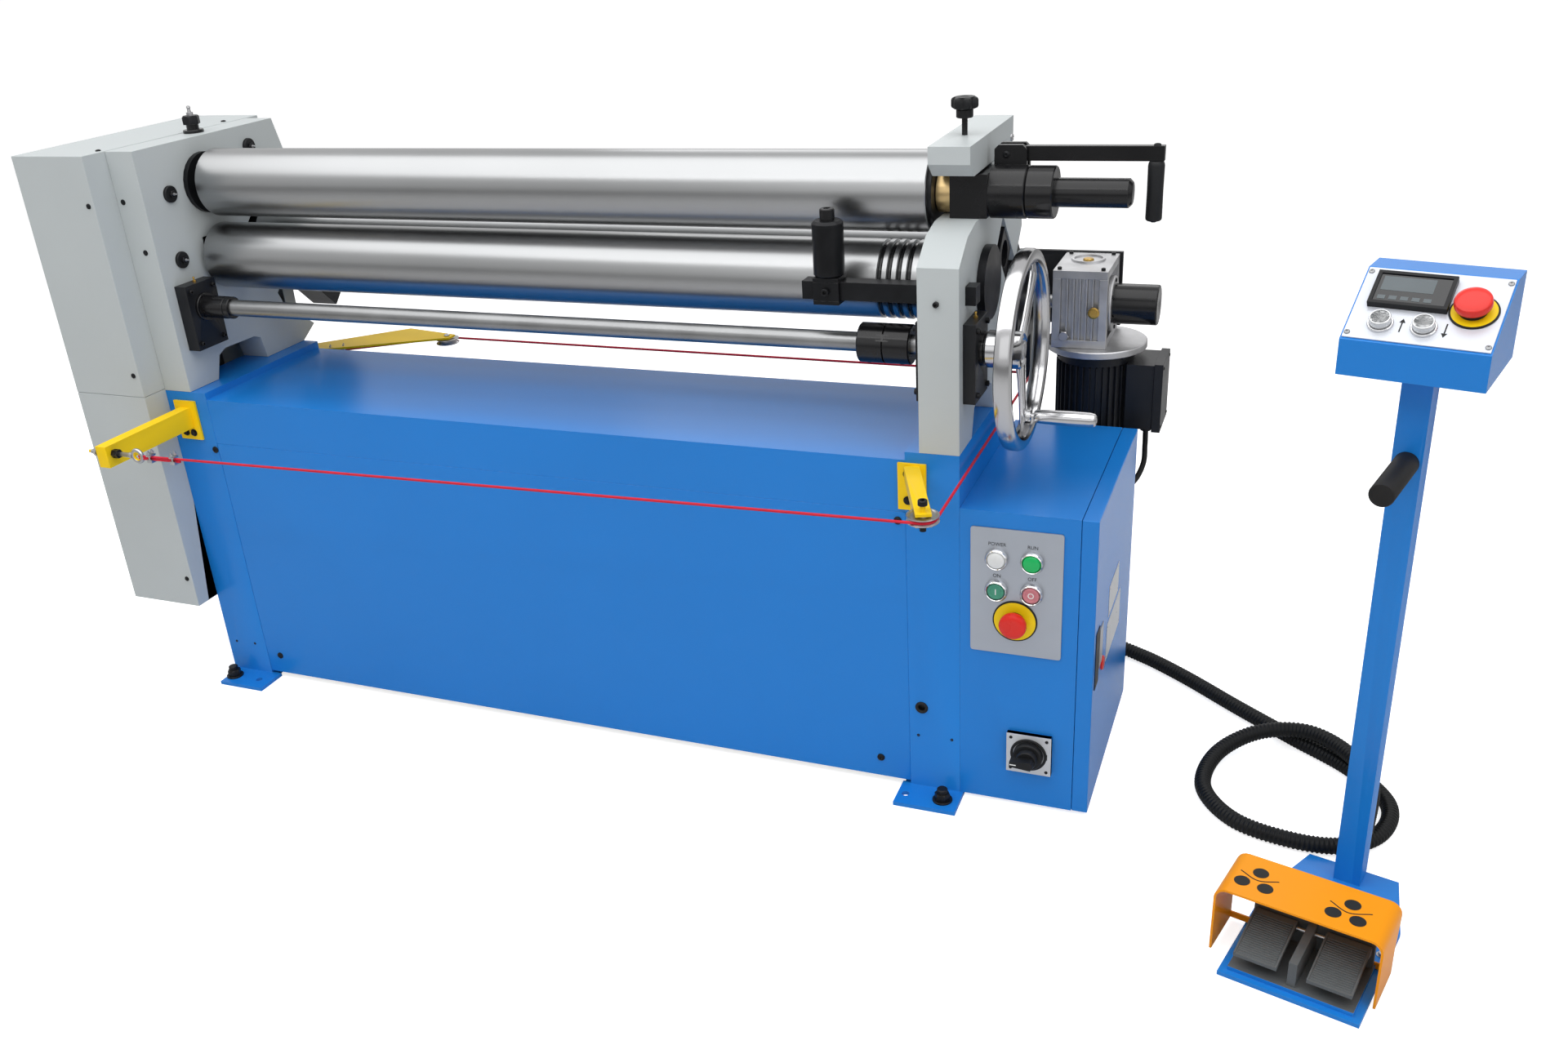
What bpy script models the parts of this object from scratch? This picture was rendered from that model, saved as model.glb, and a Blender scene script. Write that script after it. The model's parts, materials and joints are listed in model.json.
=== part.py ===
"""Electric slip roll machine with a trip wire, an electrical box and a foot pedestal.

Metres, +Z up. X runs along the rolls, Y to the back. The origin is on the floor, under the
middle of the whole machine.
"""

import math

import bmesh
import bpy
from mathutils import Matrix, Vector

# Driving sizes of the rolls
ROLL_RADIUS = 0.057
ROLL_LENGTH = 1.300
ROLL_LEFT_X = -0.903
ROLL_AXIS_Y = 0.048
LOWER_ROLL_Z = 0.783
ROLL_CENTRES = 0.1275
REAR_ROLL_BACK = 0.137
REAR_ROLL_RISE = 0.007
UPPER_ROLL_INSET = 0.0185
JOURNAL_RADIUS = 0.020
STUB_RADIUS = 0.016
STUB_REACH = 0.136
SWELL_RADIUS = 0.0247
ROUND_SIDES = 24
SMALL_SIDES = 12
MERGE_DISTANCE = 0.000001
ROUTE_STEPS = 24

# Fits
GAP = 0.0003
OVERRUN = 0.010
SLIDE_GAP = 0.0005

# Wire grooves of the lower roll
GROOVE_COUNT = 4
GROOVE_FIRST = 0.074
GROOVE_STEP = 0.0145
GROOVE_WIDTH = 0.008
GROOVE_DEPTH = 0.004

# Driven end of the upper roll
SHOULDER_RADIUS = 0.050
SHOULDER_LENGTH = 0.0065
BUSH_LENGTH = 0.0222
BUSH_RADIUS = 0.029
BLOCK_LENGTH = 0.052
BLOCK_HALF_WIDTH = 0.036
BLOCK_HALF_HEIGHT = 0.030
NOSE_LENGTH = 0.050
NOSE_RADIUS = 0.036
NECK_RADIUS = 0.024
COLLAR_LENGTH = 0.037
COLLAR_RADIUS = 0.030
SHAFT_END_RADIUS = 0.0197
SHAFT_END_LENGTH = 0.102
SHAFT_CHAMFER = 0.005

# Side frames
FRAME_THICKNESS = 0.058
LEFT_FRAME_GAP = 0.0115
RIGHT_FRAME_GAP = 0.0124
FRAME_FRONT = 0.147
FRAME_FOOT_Z = 0.5733
FRAME_TOP_Z = 0.988
FRAME_REAR_TOP = 0.198
FRAME_REAR_SHOULDER = (0.2134, 0.9328)
FRAME_REAR_CORNER = (0.249, 0.809)
FRAME_REAR_WAIST = (0.120, 0.680)
FRAME_REAR_KNEE = (0.132, 0.652)
FRAME_REAR_HEEL = (0.203, 0.597)
FRAME_REAR_FOOT = 0.165
FRAME_ARCH = (
    (-0.075, FRAME_FOOT_Z),
    (-0.060, 0.614),
    (-0.0425, 0.622),
    (0.034, 0.6205),
    (0.050, 0.614),
    (0.058, FRAME_FOOT_Z),
)
RIGHT_FRONT_TOP = (-0.147, 0.8385)
RIGHT_FRONT_STEP = (-0.100, 0.870)
RIGHT_SADDLE_FRONT = (-0.0535, 0.880)
RIGHT_SADDLE_BACK = 0.0405
RIGHT_SADDLE_Z = 0.880
RIGHT_SHOULDER_Z = 0.942
RIGHT_REAR_TOP = 0.2105
WINDOW_HALF_WIDTH = 0.036
LIFT_TRAVEL = 0.004
WINDOW_WEB = 0.009

# Bearings and carriages
BEARING_RADIUS = 0.040
BEARING_FLANGE_RADIUS = 0.052
BEARING_FLANGE_LENGTH = 0.009
BEARING_BORE = 0.025
GEAR_BOSS_RADIUS = 0.030
GEAR_BOSS_LENGTH = 0.0605
CARRIAGE_HALF_HEIGHT = 0.034
CARRIAGE_FACE_INSET = 0.002
CAP_DISC_RADIUS = 0.053
CAP_DISC_THICKNESS = 0.012

# Gear train in the cover
GEAR_TEETH = 24
PINION_TEETH = 12
GEAR_WIDTH = 0.030
GEAR_OFFSET = 0.0255
TOOTH_ADDENDUM_SHARE = 0.92
TOOTH_DEDENDUM_SHARE = 1.20
TOOTH_TIP_SHARE = 0.13
TOOTH_ROOT_SHARE = 0.34
PINION_SHAFT_RADIUS = 0.012
PINION_SHAFT_LENGTH = 0.030

# Main gearmotor
GEARBOX_GAP = 0.006
GEARBOX_DEPTH = 0.084
GEARBOX_HALF_WIDTH = 0.055
GEARBOX_BELOW = 0.0554
GEARBOX_ABOVE = 0.0546
MAIN_MOTOR_RADIUS = 0.060
MAIN_MOTOR_LENGTH = 0.272
MOUNT_PLATE_THICKNESS = 0.020
MOUNT_PLATE_HALF_WIDTH = 0.070
MOUNT_PLATE_LOW_Z = 0.400
MOUNT_PLATE_HIGH_Z = 0.550

# Gear cover
COVER_DEPTH = 0.157
COVER_FRONT = 0.196
COVER_BACK = 0.230
COVER_TOP_Z = 0.989
COVER_SPLIT_Z = 0.5755
COVER_LOW_Z = 0.1635
COVER_WALL = 0.0025
COVER_MOUTH_FRONT = 0.144
COVER_MOUTH_BACK = 0.200

# Rear roll slide, at 45 degrees
SLIDE_HALF_WIDTH = 0.028
SLIDE_HALF_LENGTH = 0.030
SLIDE_TRAVEL = 0.030
SLANT_FACE_DISTANCE = 0.0658
SCREW_RADIUS = 0.010
SCREW_REACH = 0.160
JACK_LENGTH = 0.159
JACK_BELOW = 0.025
JACK_ABOVE = 0.060
CROSS_SHAFT_DISTANCE = 0.1973
CROSS_SHAFT_OFFSET = 0.0332
CROSS_SHAFT_RADIUS = 0.011
CROSS_SHAFT_OVERHANG = 0.020

# Top clamp over the driven end
CLAMP_FRONT = 0.086
CLAMP_BACK = 0.1775
CLAMP_HEEL = (0.176, 0.950)
LUG_RADIUS = 0.0115
LUG_THICKNESS = 0.015
LUG_GAP = 0.001
HINGE_PIN_RADIUS = 0.004
CLAMP_TOP_Z = 0.986
CLAMP_LIP_Z = 0.962
CLAMP_LOW_Z = 0.9431
CLAMP_CHAMFER_Y = 0.063
CLAMP_PIVOT = (0.165, 0.956)
KNOB_STEM_Y = 0.006
KNOB_STEM_X = 0.0276
KNOB_STEM_RADIUS = 0.004
KNOB_STEM_DEPTH = 0.026
KNOB_STEM_LENGTH = 0.049
KNOB_SEAT_RADIUS = 0.012
KNOB_SEAT_HEIGHT = 0.012
KNOB_HEIGHT = 0.016
KNOB_RADIUS = 0.019
KNOB_LOBES = 7
KNOB_FLUTE_RADIUS = 0.0045

# Release lever
LEVER_PIVOT_X = 0.0276
LEVER_PIVOT_Z = 0.9596
LEVER_Y = 0.020
LEVER_EAR_THICKNESS = 0.008
LEVER_EAR_TOP_Z = 0.9725
LEVER_EAR_LENGTH = 0.045
LEVER_BAR_HEIGHT = 0.020
LEVER_BAR_THICKNESS = 0.012
LEVER_BAR_END = 0.236
LEVER_BAR_START = 0.0186
GRIP_X = 0.2256
GRIP_RADIUS = 0.011
GRIP_LENGTH = 0.079
GRIP_PIN_RADIUS = 0.004

# Adjusting shaft, its boxes and the handwheel
SHAFT_FORWARD = 0.0903
SHAFT_Z = 0.7137
SHAFT_RADIUS = 0.014
WORM_BOX_FRONT = 0.127
WORM_BOX_BACK = 0.055
WORM_BOX_LOW_Z = 0.643
WORM_BOX_HIGH_Z = 0.757
LEFT_BOX_DEPTH = 0.024
LEFT_BOSS_LENGTH = 0.052
LEFT_BOSS_RADIUS = 0.019
RIGHT_BOX_DEPTH = 0.0174
RIGHT_BOSS_LENGTH = 0.006
RIGHT_BOSS_RADIUS = 0.024
INNER_PLATE_THICKNESS = 0.0086
COUPLING_RADIUS = 0.0285
COUPLING_LENGTH = 0.0765
COUPLING_GAP = 0.0225
COUPLING_NECK_RADIUS = 0.020
COUPLING_SLOT = 0.004
WHEEL_RADIUS = 0.138
WHEEL_RIM_WIDTH = 0.023
WHEEL_RIM_DEPTH = 0.020
WHEEL_RIM_OFFSET = 0.0636
WHEEL_HUB_RADIUS = 0.026
WHEEL_HUB_OFFSET = 0.0265
WHEEL_HUB_LENGTH = 0.034
WHEEL_SPOKE_WIDTH = 0.024
WHEEL_SPOKE_THICKNESS = 0.009
WHEEL_SPOKES = 3
WHEEL_HANDLE_LENGTH = 0.086
WHEEL_HANDLE_RADIUS = 0.011
WHEEL_HANDLE_OFFSET = (0.0303, -0.1057)
WHEEL_PIN_RADIUS = 0.004

# Base cabinet
COLUMN_WIDTH = 0.0892
RIGHT_COLUMN_WIDTH = 0.0796
COLUMN_BACK = 0.165
TABLE_TOP_Z = 0.5604
TABLE_BACK = 0.160
APRON_LOW_Z = 0.4790
PANEL_LOW_Z = 0.012
PANEL_THICKNESS = 0.002
SHEET = 0.004
FOOT_THICKNESS = 0.0065
FOOT_WIDTH = 0.0968
FOOT_INSET = 0.0111
RIGHT_FOOT_INSET = 0.0134
RIGHT_FOOT_WIDTH = 0.0985
FOOT_FRONT = 0.2022
FOOT_BACK = 0.220
BOLT_RADIUS = 0.008
BOLT_HEAD_HEIGHT = 0.014
BOLT_EDGE = 0.0262
FREE_HOLE_RADIUS = 0.006
CABLE_HOLE_RADIUS = 0.006
CABLE_HOLE_Z = 0.151
CABLE_HOLE_INSET = 0.0599

# Electrical box and its controls
BOX_WIDTH = 0.1721
BOX_BACK_Y = 0.223
BOX_LOW = 0.007
BOX_TOP = 0.4933
BOX_SHEET = 0.002
DOOR_GAP = 0.0005
DOOR_THICKNESS = 0.0237
PLATE_LEFT = 0.0164
PLATE_WIDTH = 0.133
PLATE_LOW_Z = 0.268
PLATE_HIGH_Z = 0.469
PLATE_THICKNESS = 0.002
BEZEL_RADIUS = 0.015
BEZEL_DEPTH = 0.008
BUTTON_RADIUS = 0.0115
BUTTON_PROUD = 0.0095
BUTTON_STEM = 0.016
BUTTON_TRAVEL = 0.004
BUTTON_LEFT = 0.055
BUTTON_RIGHT = 0.106
LAMP_Z = 0.422
BUTTON_Z = 0.372
STOP_X = 0.0822
STOP_Z = 0.3241
STOP_DISC_RADIUS = 0.030
STOP_DISC_DEPTH = 0.0015
MUSHROOM_RADIUS = 0.020
MUSHROOM_HEIGHT = 0.012
MUSHROOM_NECK = 0.009
MUSHROOM_NECK_RADIUS = 0.011
SWITCH_X = 0.1074
SWITCH_Z = 0.1016
SWITCH_HALF = 0.0337
SWITCH_PLATE = 0.008
SWITCH_KNOB_RADIUS = 0.0225
SWITCH_KNOB_DEPTH = 0.020
SWITCH_BAR_DEPTH = 0.014
SWITCH_BAR_WIDTH = 0.013
SWITCH_BAR_HALF_LENGTH = 0.021

# Rear drive
REDUCER_X = 0.0518
REDUCER_WIDTH = 0.0855
REDUCER_FRONT = 0.060
REDUCER_BACK = 0.060
REDUCER_LOW_Z = 0.615
REDUCER_HIGH_Z = 0.740
REDUCER_BOSS_RADIUS = 0.032
REDUCER_BOSS_LENGTH = 0.066
REDUCER_NECK_RADIUS = 0.024
REDUCER_NECK_LENGTH = 0.0063
FLANGE_RADIUS = 0.080
FLANGE_THICKNESS = 0.012
LIFT_MOTOR_RADIUS = 0.063
LIFT_MOTOR_LENGTH = 0.235
LIFT_MOTOR_SHIFT = 0.020
TERMINAL_REACH = 0.112
TERMINAL_HALF_WIDTH = 0.045
TERMINAL_LOW_Z = 0.476
TERMINAL_HIGH_Z = 0.590
BRACKET_PLATE = 0.008
BRACKET_LEFT = -0.0264
BRACKET_RIGHT = 0.1421
BRACKET_LOW_Z = 0.620
BRACKET_HIGH_Z = 0.742
BRACKET_FLANGE_FRONT = 0.190
BRACKET_FLANGE_LOW_Z = 0.620
BRACKET_FLANGE_HIGH_Z = 0.735

# Trip wire
WIRE_RADIUS = 0.0015
WIRE_Z = 0.545
PULLEY_RADIUS = 0.0225
PULLEY_GROOVE_RADIUS = 0.0185
PULLEY_HALF_WIDTH = 0.005
PULLEY_BORE = 0.0043
PIN_RADIUS = 0.004
FRONT_PULLEY_X = 0.060
FRONT_PULLEY_Y = -0.300
REAR_PULLEY_X = 0.226
REAR_PULLEY_Y = 0.298
REAR_TURN_Y = 0.312
REAR_TURN_RADIUS = 0.012
ARM_SHEET = 0.004
ARM_HALF_WIDTH = 0.011
ARM_LOW_Z = 0.508
ARM_HIGH_Z = 0.545
LEFT_ARM_X = -0.030
LEFT_ARM_REACH = 0.348
EYE_INSET = 0.013
EYE_Z = 0.530
EYE_X = 0.035
EYE_RING_RADIUS = 0.008
EYE_WIRE_RADIUS = 0.0025
EYE_SHANK_RADIUS = 0.003
EYE_SHANK_LEFT = -0.070
PLATE_A_LEFT = -0.053
PLATE_A_RIGHT = -0.006
PLATE_A_LOW_Z = 0.485
PLATE_A_HIGH_Z = 0.557
PLATE_B_LEFT = -0.019
PLATE_B_RIGHT = 0.023

# Work guide
GUIDE_BAR = 0.026
GUIDE_FORWARD = 0.100
GUIDE_Z = 0.7925
GUIDE_BAR_LEFT = 0.165
GUIDE_BAR_OVERHANG = 0.0145
GUIDE_HOLE_GAP = 0.0005
GUIDE_POST_LEFT = 0.1275
GUIDE_POST_RADIUS = 0.023
GUIDE_POST_TOP_Z = 0.890
GUIDE_SCREW_RADIUS = 0.0105
GUIDE_SCREW_TOP_Z = 0.906
GUIDE_CLAMP = 0.038

# Pedestal, in its own turned frame
PEDESTAL_AWAY = 0.6363
PEDESTAL_Y = -0.1361
PEDESTAL_TURN = math.radians(-14.587)
POST_SIDE = 0.035
POST_WALL = 0.003
POST_TOP_Z = 0.7513
STAND_PLATE = 0.006
STAND_FRONT = -0.279
STAND_BACK = 0.020
STAND_HALF_WIDTH = 0.088
STAND_NARROW_HALF = 0.060
STAND_CHAMFER_Y = -0.086
HANDGRIP_Z = 0.635
HANDGRIP_RADIUS = 0.0135
HANDGRIP_LENGTH = 0.110
CONSOLE_HALF_WIDTH = 0.0805
CONSOLE_FRONT = -0.0704
CONSOLE_BACK = 0.0744
CONSOLE_RISE = 0.0433
CONSOLE_BREAK = 0.0298
CONSOLE_TOP_RISE = 0.1046
CONSOLE_WALL = 0.003
PANEL_MARGIN = 0.003
PANEL_SHEET = 0.0015
PANEL_SIDE_MARGIN = 0.002
DISPLAY_LEFT = -0.0645
DISPLAY_RIGHT = 0.0215
DISPLAY_LOW = 0.052
DISPLAY_HIGH = 0.104
DISPLAY_HEIGHT = 0.010
UP_BUTTON_X = -0.043
DOWN_BUTTON_X = 0.0035
PANEL_BUTTON_T = 0.028
PANEL_STOP_X = 0.047
PANEL_STOP_T = 0.0596
GUARD_LEFT = -0.1115
GUARD_RIGHT = 0.0965
GUARD_FRONT = -0.243
GUARD_BACK = -0.155
GUARD_TOP_Z = 0.107
GUARD_LOW_Z = 0.0065
GUARD_SHEET = 0.003
GUARD_BEND = 0.016
GUARD_SHIN_Z = 0.046
GUARD_SHIN_BACK = -0.168
PEDAL_BASE_HALF = 0.078
PEDAL_BASE_FRONT = -0.270
PEDAL_BASE_BACK = -0.170
PEDAL_BASE_THICKNESS = 0.006
PEDAL_LEFT = (-0.073, -0.018)
PEDAL_RIGHT = (0.0185, 0.0735)
PEDAL_FRONT = -0.268
PEDAL_BACK = -0.197
PEDAL_FRONT_Z = 0.036
PEDAL_BACK_Z = 0.050
PEDAL_THICKNESS = 0.006
PEDAL_HINGE_Y = -0.190
PEDAL_HINGE_Z = 0.043
PEDAL_HINGE_RADIUS = 0.005

# Ribbed control hose, laid on the floor
HOSE_RADIUS = 0.0125
HOSE_VALLEY = 0.0108
HOSE_BORE = 0.0075
HOSE_RIBS = 134
HOSE_EXIT_DEPTH = 0.012
HOSE_EXIT_X = 0.070
HOSE_EXIT_Z = 0.055
HOSE_ROUTE_ORIGIN_X = 0.397

# Places worked out from the sizes
AXIS = ROLL_AXIS_Y
ROLLS_RIGHT_X = ROLL_LEFT_X + ROLL_LENGTH
UPPER_ROLL_Z = LOWER_ROLL_Z + ROLL_CENTRES
LEFT_INNER = ROLL_LEFT_X - LEFT_FRAME_GAP
LEFT_OUTER = LEFT_INNER - FRAME_THICKNESS
RIGHT_INNER = ROLLS_RIGHT_X + RIGHT_FRAME_GAP
RIGHT_OUTER = RIGHT_INNER + FRAME_THICKNESS
FRONT = AXIS - FRAME_FRONT
SHAFT_Y = AXIS - SHAFT_FORWARD
REAR_ROLL_Y = AXIS + REAR_ROLL_BACK
REAR_ROLL_Z = LOWER_ROLL_Z + REAR_ROLL_RISE
SLOPE = math.sqrt(2) / 2
GEAR_PITCH_RADIUS = ROLL_CENTRES / 2
PINION_PITCH_RADIUS = GEAR_PITCH_RADIUS * PINION_TEETH / GEAR_TEETH
PINION_Z = LOWER_ROLL_Z - GEAR_PITCH_RADIUS - PINION_PITCH_RADIUS
GEAR_RIGHT = LEFT_OUTER - GEAR_OFFSET
GEAR_LEFT = GEAR_RIGHT - GEAR_WIDTH
COVER_LEFT = LEFT_OUTER - COVER_DEPTH
COVER_RIGHT = LEFT_OUTER - GAP
BUSH_LEFT = ROLLS_RIGHT_X + SHOULDER_LENGTH + GAP
BLOCK_LEFT = BUSH_LEFT + BUSH_LENGTH
NOSE_LEFT = BLOCK_LEFT + BLOCK_LENGTH
NOSE_RIGHT = NOSE_LEFT + NOSE_LENGTH
BOX_LEFT = RIGHT_OUTER + GAP
BOX_RIGHT = BOX_LEFT + BOX_WIDTH
DOOR_LEFT = BOX_RIGHT + DOOR_GAP
DOOR_RIGHT = DOOR_LEFT + DOOR_THICKNESS
BOX_BACK_FACE = AXIS + BOX_BACK_Y
PEDESTAL = Vector((ROLLS_RIGHT_X + PEDESTAL_AWAY, PEDESTAL_Y, 0))
KNOB_STEM_LOW_Z = CLAMP_TOP_Z - KNOB_STEM_DEPTH
KNOB_LOW_Z = KNOB_STEM_LOW_Z + KNOB_STEM_LENGTH + KNOB_SEAT_HEIGHT
KNOB_TOP_Z = KNOB_LOW_Z + KNOB_HEIGHT

FINISHES = {
    "blue paint": ((0.03, 0.20, 0.62), 0.35, 0.0),
    "grey paint": ((0.62, 0.64, 0.60), 0.45, 0.0),
    "ground steel": ((0.55, 0.54, 0.53), 0.28, 1.0),
    "black steel": ((0.02, 0.02, 0.022), 0.4, 0.6),
    "bronze": ((0.55, 0.36, 0.14), 0.35, 1.0),
    "chrome": ((0.75, 0.75, 0.76), 0.12, 1.0),
    "cast aluminium": ((0.50, 0.50, 0.50), 0.45, 1.0),
    "black plastic": ((0.015, 0.015, 0.016), 0.5, 0.0),
    "yellow paint": ((0.80, 0.58, 0.03), 0.4, 0.0),
    "orange paint": ((0.85, 0.38, 0.02), 0.4, 0.0),
    "red plastic": ((0.70, 0.02, 0.02), 0.4, 0.0),
    "grey plate": ((0.70, 0.71, 0.72), 0.4, 0.3),
    "green plastic": ((0.10, 0.30, 0.22), 0.4, 0.0),
    "rose plastic": ((0.45, 0.22, 0.24), 0.4, 0.0),
    "grey plastic": ((0.22, 0.23, 0.24), 0.55, 0.0),
}


def clear_scene():
    for thing in list(bpy.data.objects):
        bpy.data.objects.remove(thing)


def new_collection(name, hidden):
    group = bpy.data.collections.new(name)
    bpy.context.scene.collection.children.link(group)
    group.hide_render = hidden
    return group


clear_scene()
PARTS = new_collection("slip_roll_machine", False)
TOOLS = new_collection("cutters", True)


def show(name, mesh, tool=False):
    """Puts a mesh in the scene, as a piece or as a tool for one."""
    thing = bpy.data.objects.new(name, mesh)
    (TOOLS if tool else PARTS).objects.link(thing)
    if tool:
        thing.hide_render = True
        thing.display_type = "WIRE"
    return thing


def smooth(mesh):
    mesh.shade_smooth()
    mesh.set_sharp_from_angle(angle=math.radians(35))


def box(name, low, high, tool=False):
    """A block between two corners."""
    low, high = Vector(low), Vector(high)
    shape = bmesh.new()
    bmesh.ops.create_cube(shape, size=1)
    bmesh.ops.scale(shape, vec=high - low, verts=shape.verts)
    mesh = bpy.data.meshes.new(name)
    shape.to_mesh(mesh)
    shape.free()
    thing = show(name, mesh, tool)
    thing.location = (low + high) / 2
    return thing


def rod(name, start, end, radius, sides=ROUND_SIDES, tool=False):
    """A cylinder between two points, with its origin at the first."""
    start, end = Vector(start), Vector(end)
    along = end - start
    shape = bmesh.new()
    bmesh.ops.create_cone(
        shape, cap_ends=True, segments=sides, radius1=radius, radius2=radius, depth=along.length
    )
    bmesh.ops.translate(shape, vec=(0, 0, along.length / 2), verts=shape.verts)
    bmesh.ops.rotate(shape, matrix=along.to_track_quat("Z", "Y").to_matrix(), verts=shape.verts)
    mesh = bpy.data.meshes.new(name)
    shape.to_mesh(mesh)
    shape.free()
    smooth(mesh)
    thing = show(name, mesh, tool)
    thing.location = start
    return thing


def turned(name, place, axis, outer, bore=None, sides=ROUND_SIDES, tool=False):
    """A turned piece: (distance along the axis, radius) pairs, from its low end to its high end."""
    down = list(reversed(outer))
    if bore is None:
        line = [(down[0][0], 0)] + down + [(down[-1][0], 0)]
    else:
        line = down + list(bore)
    shape = bmesh.new()
    points = [shape.verts.new((radius, 0, along)) for along, radius in line]
    for first, second in zip(points, points[1:]):
        shape.edges.new((first, second))
    if bore is not None:
        shape.edges.new((points[-1], points[0]))
    mesh = bpy.data.meshes.new(name)
    shape.to_mesh(mesh)
    shape.free()
    thing = show(name, mesh, tool)
    thing.location = place
    thing.rotation_euler = Vector(axis).to_track_quat("Z", "Y").to_euler()
    screw = thing.modifiers.new("turn", "SCREW")
    screw.steps = sides
    screw.render_steps = sides
    screw.use_merge_vertices = True
    screw.merge_threshold = MERGE_DISTANCE
    return thing


def made_mesh(name, curve, tool):
    """Turns a curve into a welded mesh object."""
    source = bpy.data.objects.new(name, curve)
    PARTS.objects.link(source)
    bpy.context.view_layer.update()
    graph = bpy.context.evaluated_depsgraph_get()
    mesh = bpy.data.meshes.new_from_object(source.evaluated_get(graph))
    placed = source.matrix_world.copy()
    bpy.data.objects.remove(source)
    shape = bmesh.new()
    shape.from_mesh(mesh)
    bmesh.ops.remove_doubles(shape, verts=shape.verts, dist=MERGE_DISTANCE)
    bmesh.ops.recalc_face_normals(shape, faces=shape.faces)
    shape.to_mesh(mesh)
    shape.free()
    thing = show(name, mesh, tool)
    thing.matrix_world = placed
    return thing


UPRIGHT = {
    "X": Matrix(((0, 0, 1), (1, 0, 0), (0, 1, 0))),
    "Y": Matrix(((1, 0, 0), (0, 0, -1), (0, 1, 0))),
    "Z": Matrix.Identity(3),
}


def outline(name, points, axis, low, high, tool=False):
    """A flat outline with thickness: points are the two coordinates left when the axis is taken out."""
    curve = bpy.data.curves.new(name, "CURVE")
    curve.dimensions = "2D"
    curve.fill_mode = "BOTH"
    curve.extrude = abs(high - low) / 2
    line = curve.splines.new("POLY")
    line.points.add(len(points) - 1)
    for point, (across, up) in zip(line.points, points):
        point.co = (across, up, 0, 1)
    line.use_cyclic_u = True
    thing = made_mesh(name, curve, tool)
    thing.data.transform(UPRIGHT[axis].to_4x4())
    thing.location["XYZ".index(axis)] = (low + high) / 2
    return thing


def wire(name, route, radius):
    """A round bar along a route of points."""
    curve = bpy.data.curves.new(name, "CURVE")
    curve.dimensions = "3D"
    curve.bevel_depth = radius
    curve.bevel_resolution = 0
    curve.use_fill_caps = True
    line = curve.splines.new("POLY")
    line.points.add(len(route) - 1)
    for point, place in zip(line.points, route):
        point.co = (*place, 1)
    return made_mesh(name, curve, False)


def combine(thing, tool, operation):
    step = thing.modifiers.new(tool.name, "BOOLEAN")
    step.operation = operation
    step.solver = "EXACT"
    step.object = tool


def cut(thing, *tools):
    for tool in tools:
        combine(thing, tool, "DIFFERENCE")
    return thing


def join(thing, *tools):
    for tool in tools:
        combine(thing, tool, "UNION")
    return thing


def pivot(thing, place):
    """Moves an object's origin to a point of its parent's frame, and leaves its shape where it is."""
    place = Vector(place)
    local = thing.matrix_basis.inverted() @ place
    thing.data.transform(Matrix.Translation(-local))
    thing.location = place
    return thing


def carry(parent, thing):
    """Hangs a piece and its tools on a parent frame."""
    thing.parent = parent
    for step in thing.modifiers:
        if step.type == "BOOLEAN":
            carry(parent, step.object)
    return thing


def finish(thing, name):
    colour, roughness, metallic = FINISHES[name]
    material = bpy.data.materials.new(f"{thing.name} {name}")
    material.use_nodes = True
    shader = material.node_tree.nodes["Principled BSDF"]
    shader.inputs["Base Color"].default_value = (*colour, 1)
    shader.inputs["Roughness"].default_value = roughness
    shader.inputs["Metallic"].default_value = metallic
    thing.data.materials.append(material)
    return thing


def along_slide(distance, offset):
    """Y and Z of a point on the rear roll's slide: distance down and back from the roll at rest."""
    return (
        REAR_ROLL_Y + (distance + offset) * SLOPE,
        REAR_ROLL_Z + (offset - distance) * SLOPE,
    )


def slide_block(name, near, far, below, above, low_x, high_x, tool=False):
    corners = [
        along_slide(near, below),
        along_slide(far, below),
        along_slide(far, above),
        along_slide(near, above),
    ]
    return outline(name, corners, "X", low_x, high_x, tool)


def arc(middle, radius, start, end, count):
    """Points on a round stretch, angles in degrees."""
    angles = [math.radians(start + (end - start) * step / (count - 1)) for step in range(count)]
    return [(middle[0] + radius * math.cos(a), middle[1] + radius * math.sin(a)) for a in angles]


def behind(points):
    """Moves outline points given from the roll axes' plane to the part's own Y."""
    return [(AXIS + y, z) for y, z in points]


def journal_bore(name, y, z, low_x, high_x, radius=JOURNAL_RADIUS + GAP):
    return rod(name, (low_x, y, z), (high_x, y, z), radius, tool=True)


def slide_slot(name, low_x, high_x):
    near = -SLIDE_HALF_LENGTH - SLIDE_TRAVEL - SLIDE_GAP
    far = SLANT_FACE_DISTANCE + OVERRUN
    half = SLIDE_HALF_WIDTH + GAP
    return slide_block(name, near, far, -half, half, low_x, high_x, tool=True)


def frame_feet():
    foot = [(-FRAME_FRONT, FRAME_FOOT_Z), *FRAME_ARCH, (FRAME_REAR_FOOT, FRAME_FOOT_Z)]
    return foot + [FRAME_REAR_HEEL, FRAME_REAR_KNEE, FRAME_REAR_WAIST, FRAME_REAR_CORNER]


def lift_window(name, low_x, high_x):
    half = CARRIAGE_HALF_HEIGHT + LIFT_TRAVEL + SLIDE_GAP
    low = (low_x, AXIS - WINDOW_HALF_WIDTH - GAP, LOWER_ROLL_Z - half)
    high = (high_x, AXIS + WINDOW_HALF_WIDTH + GAP, LOWER_ROLL_Z + half)
    return box(name, low, high, tool=True)


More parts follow.
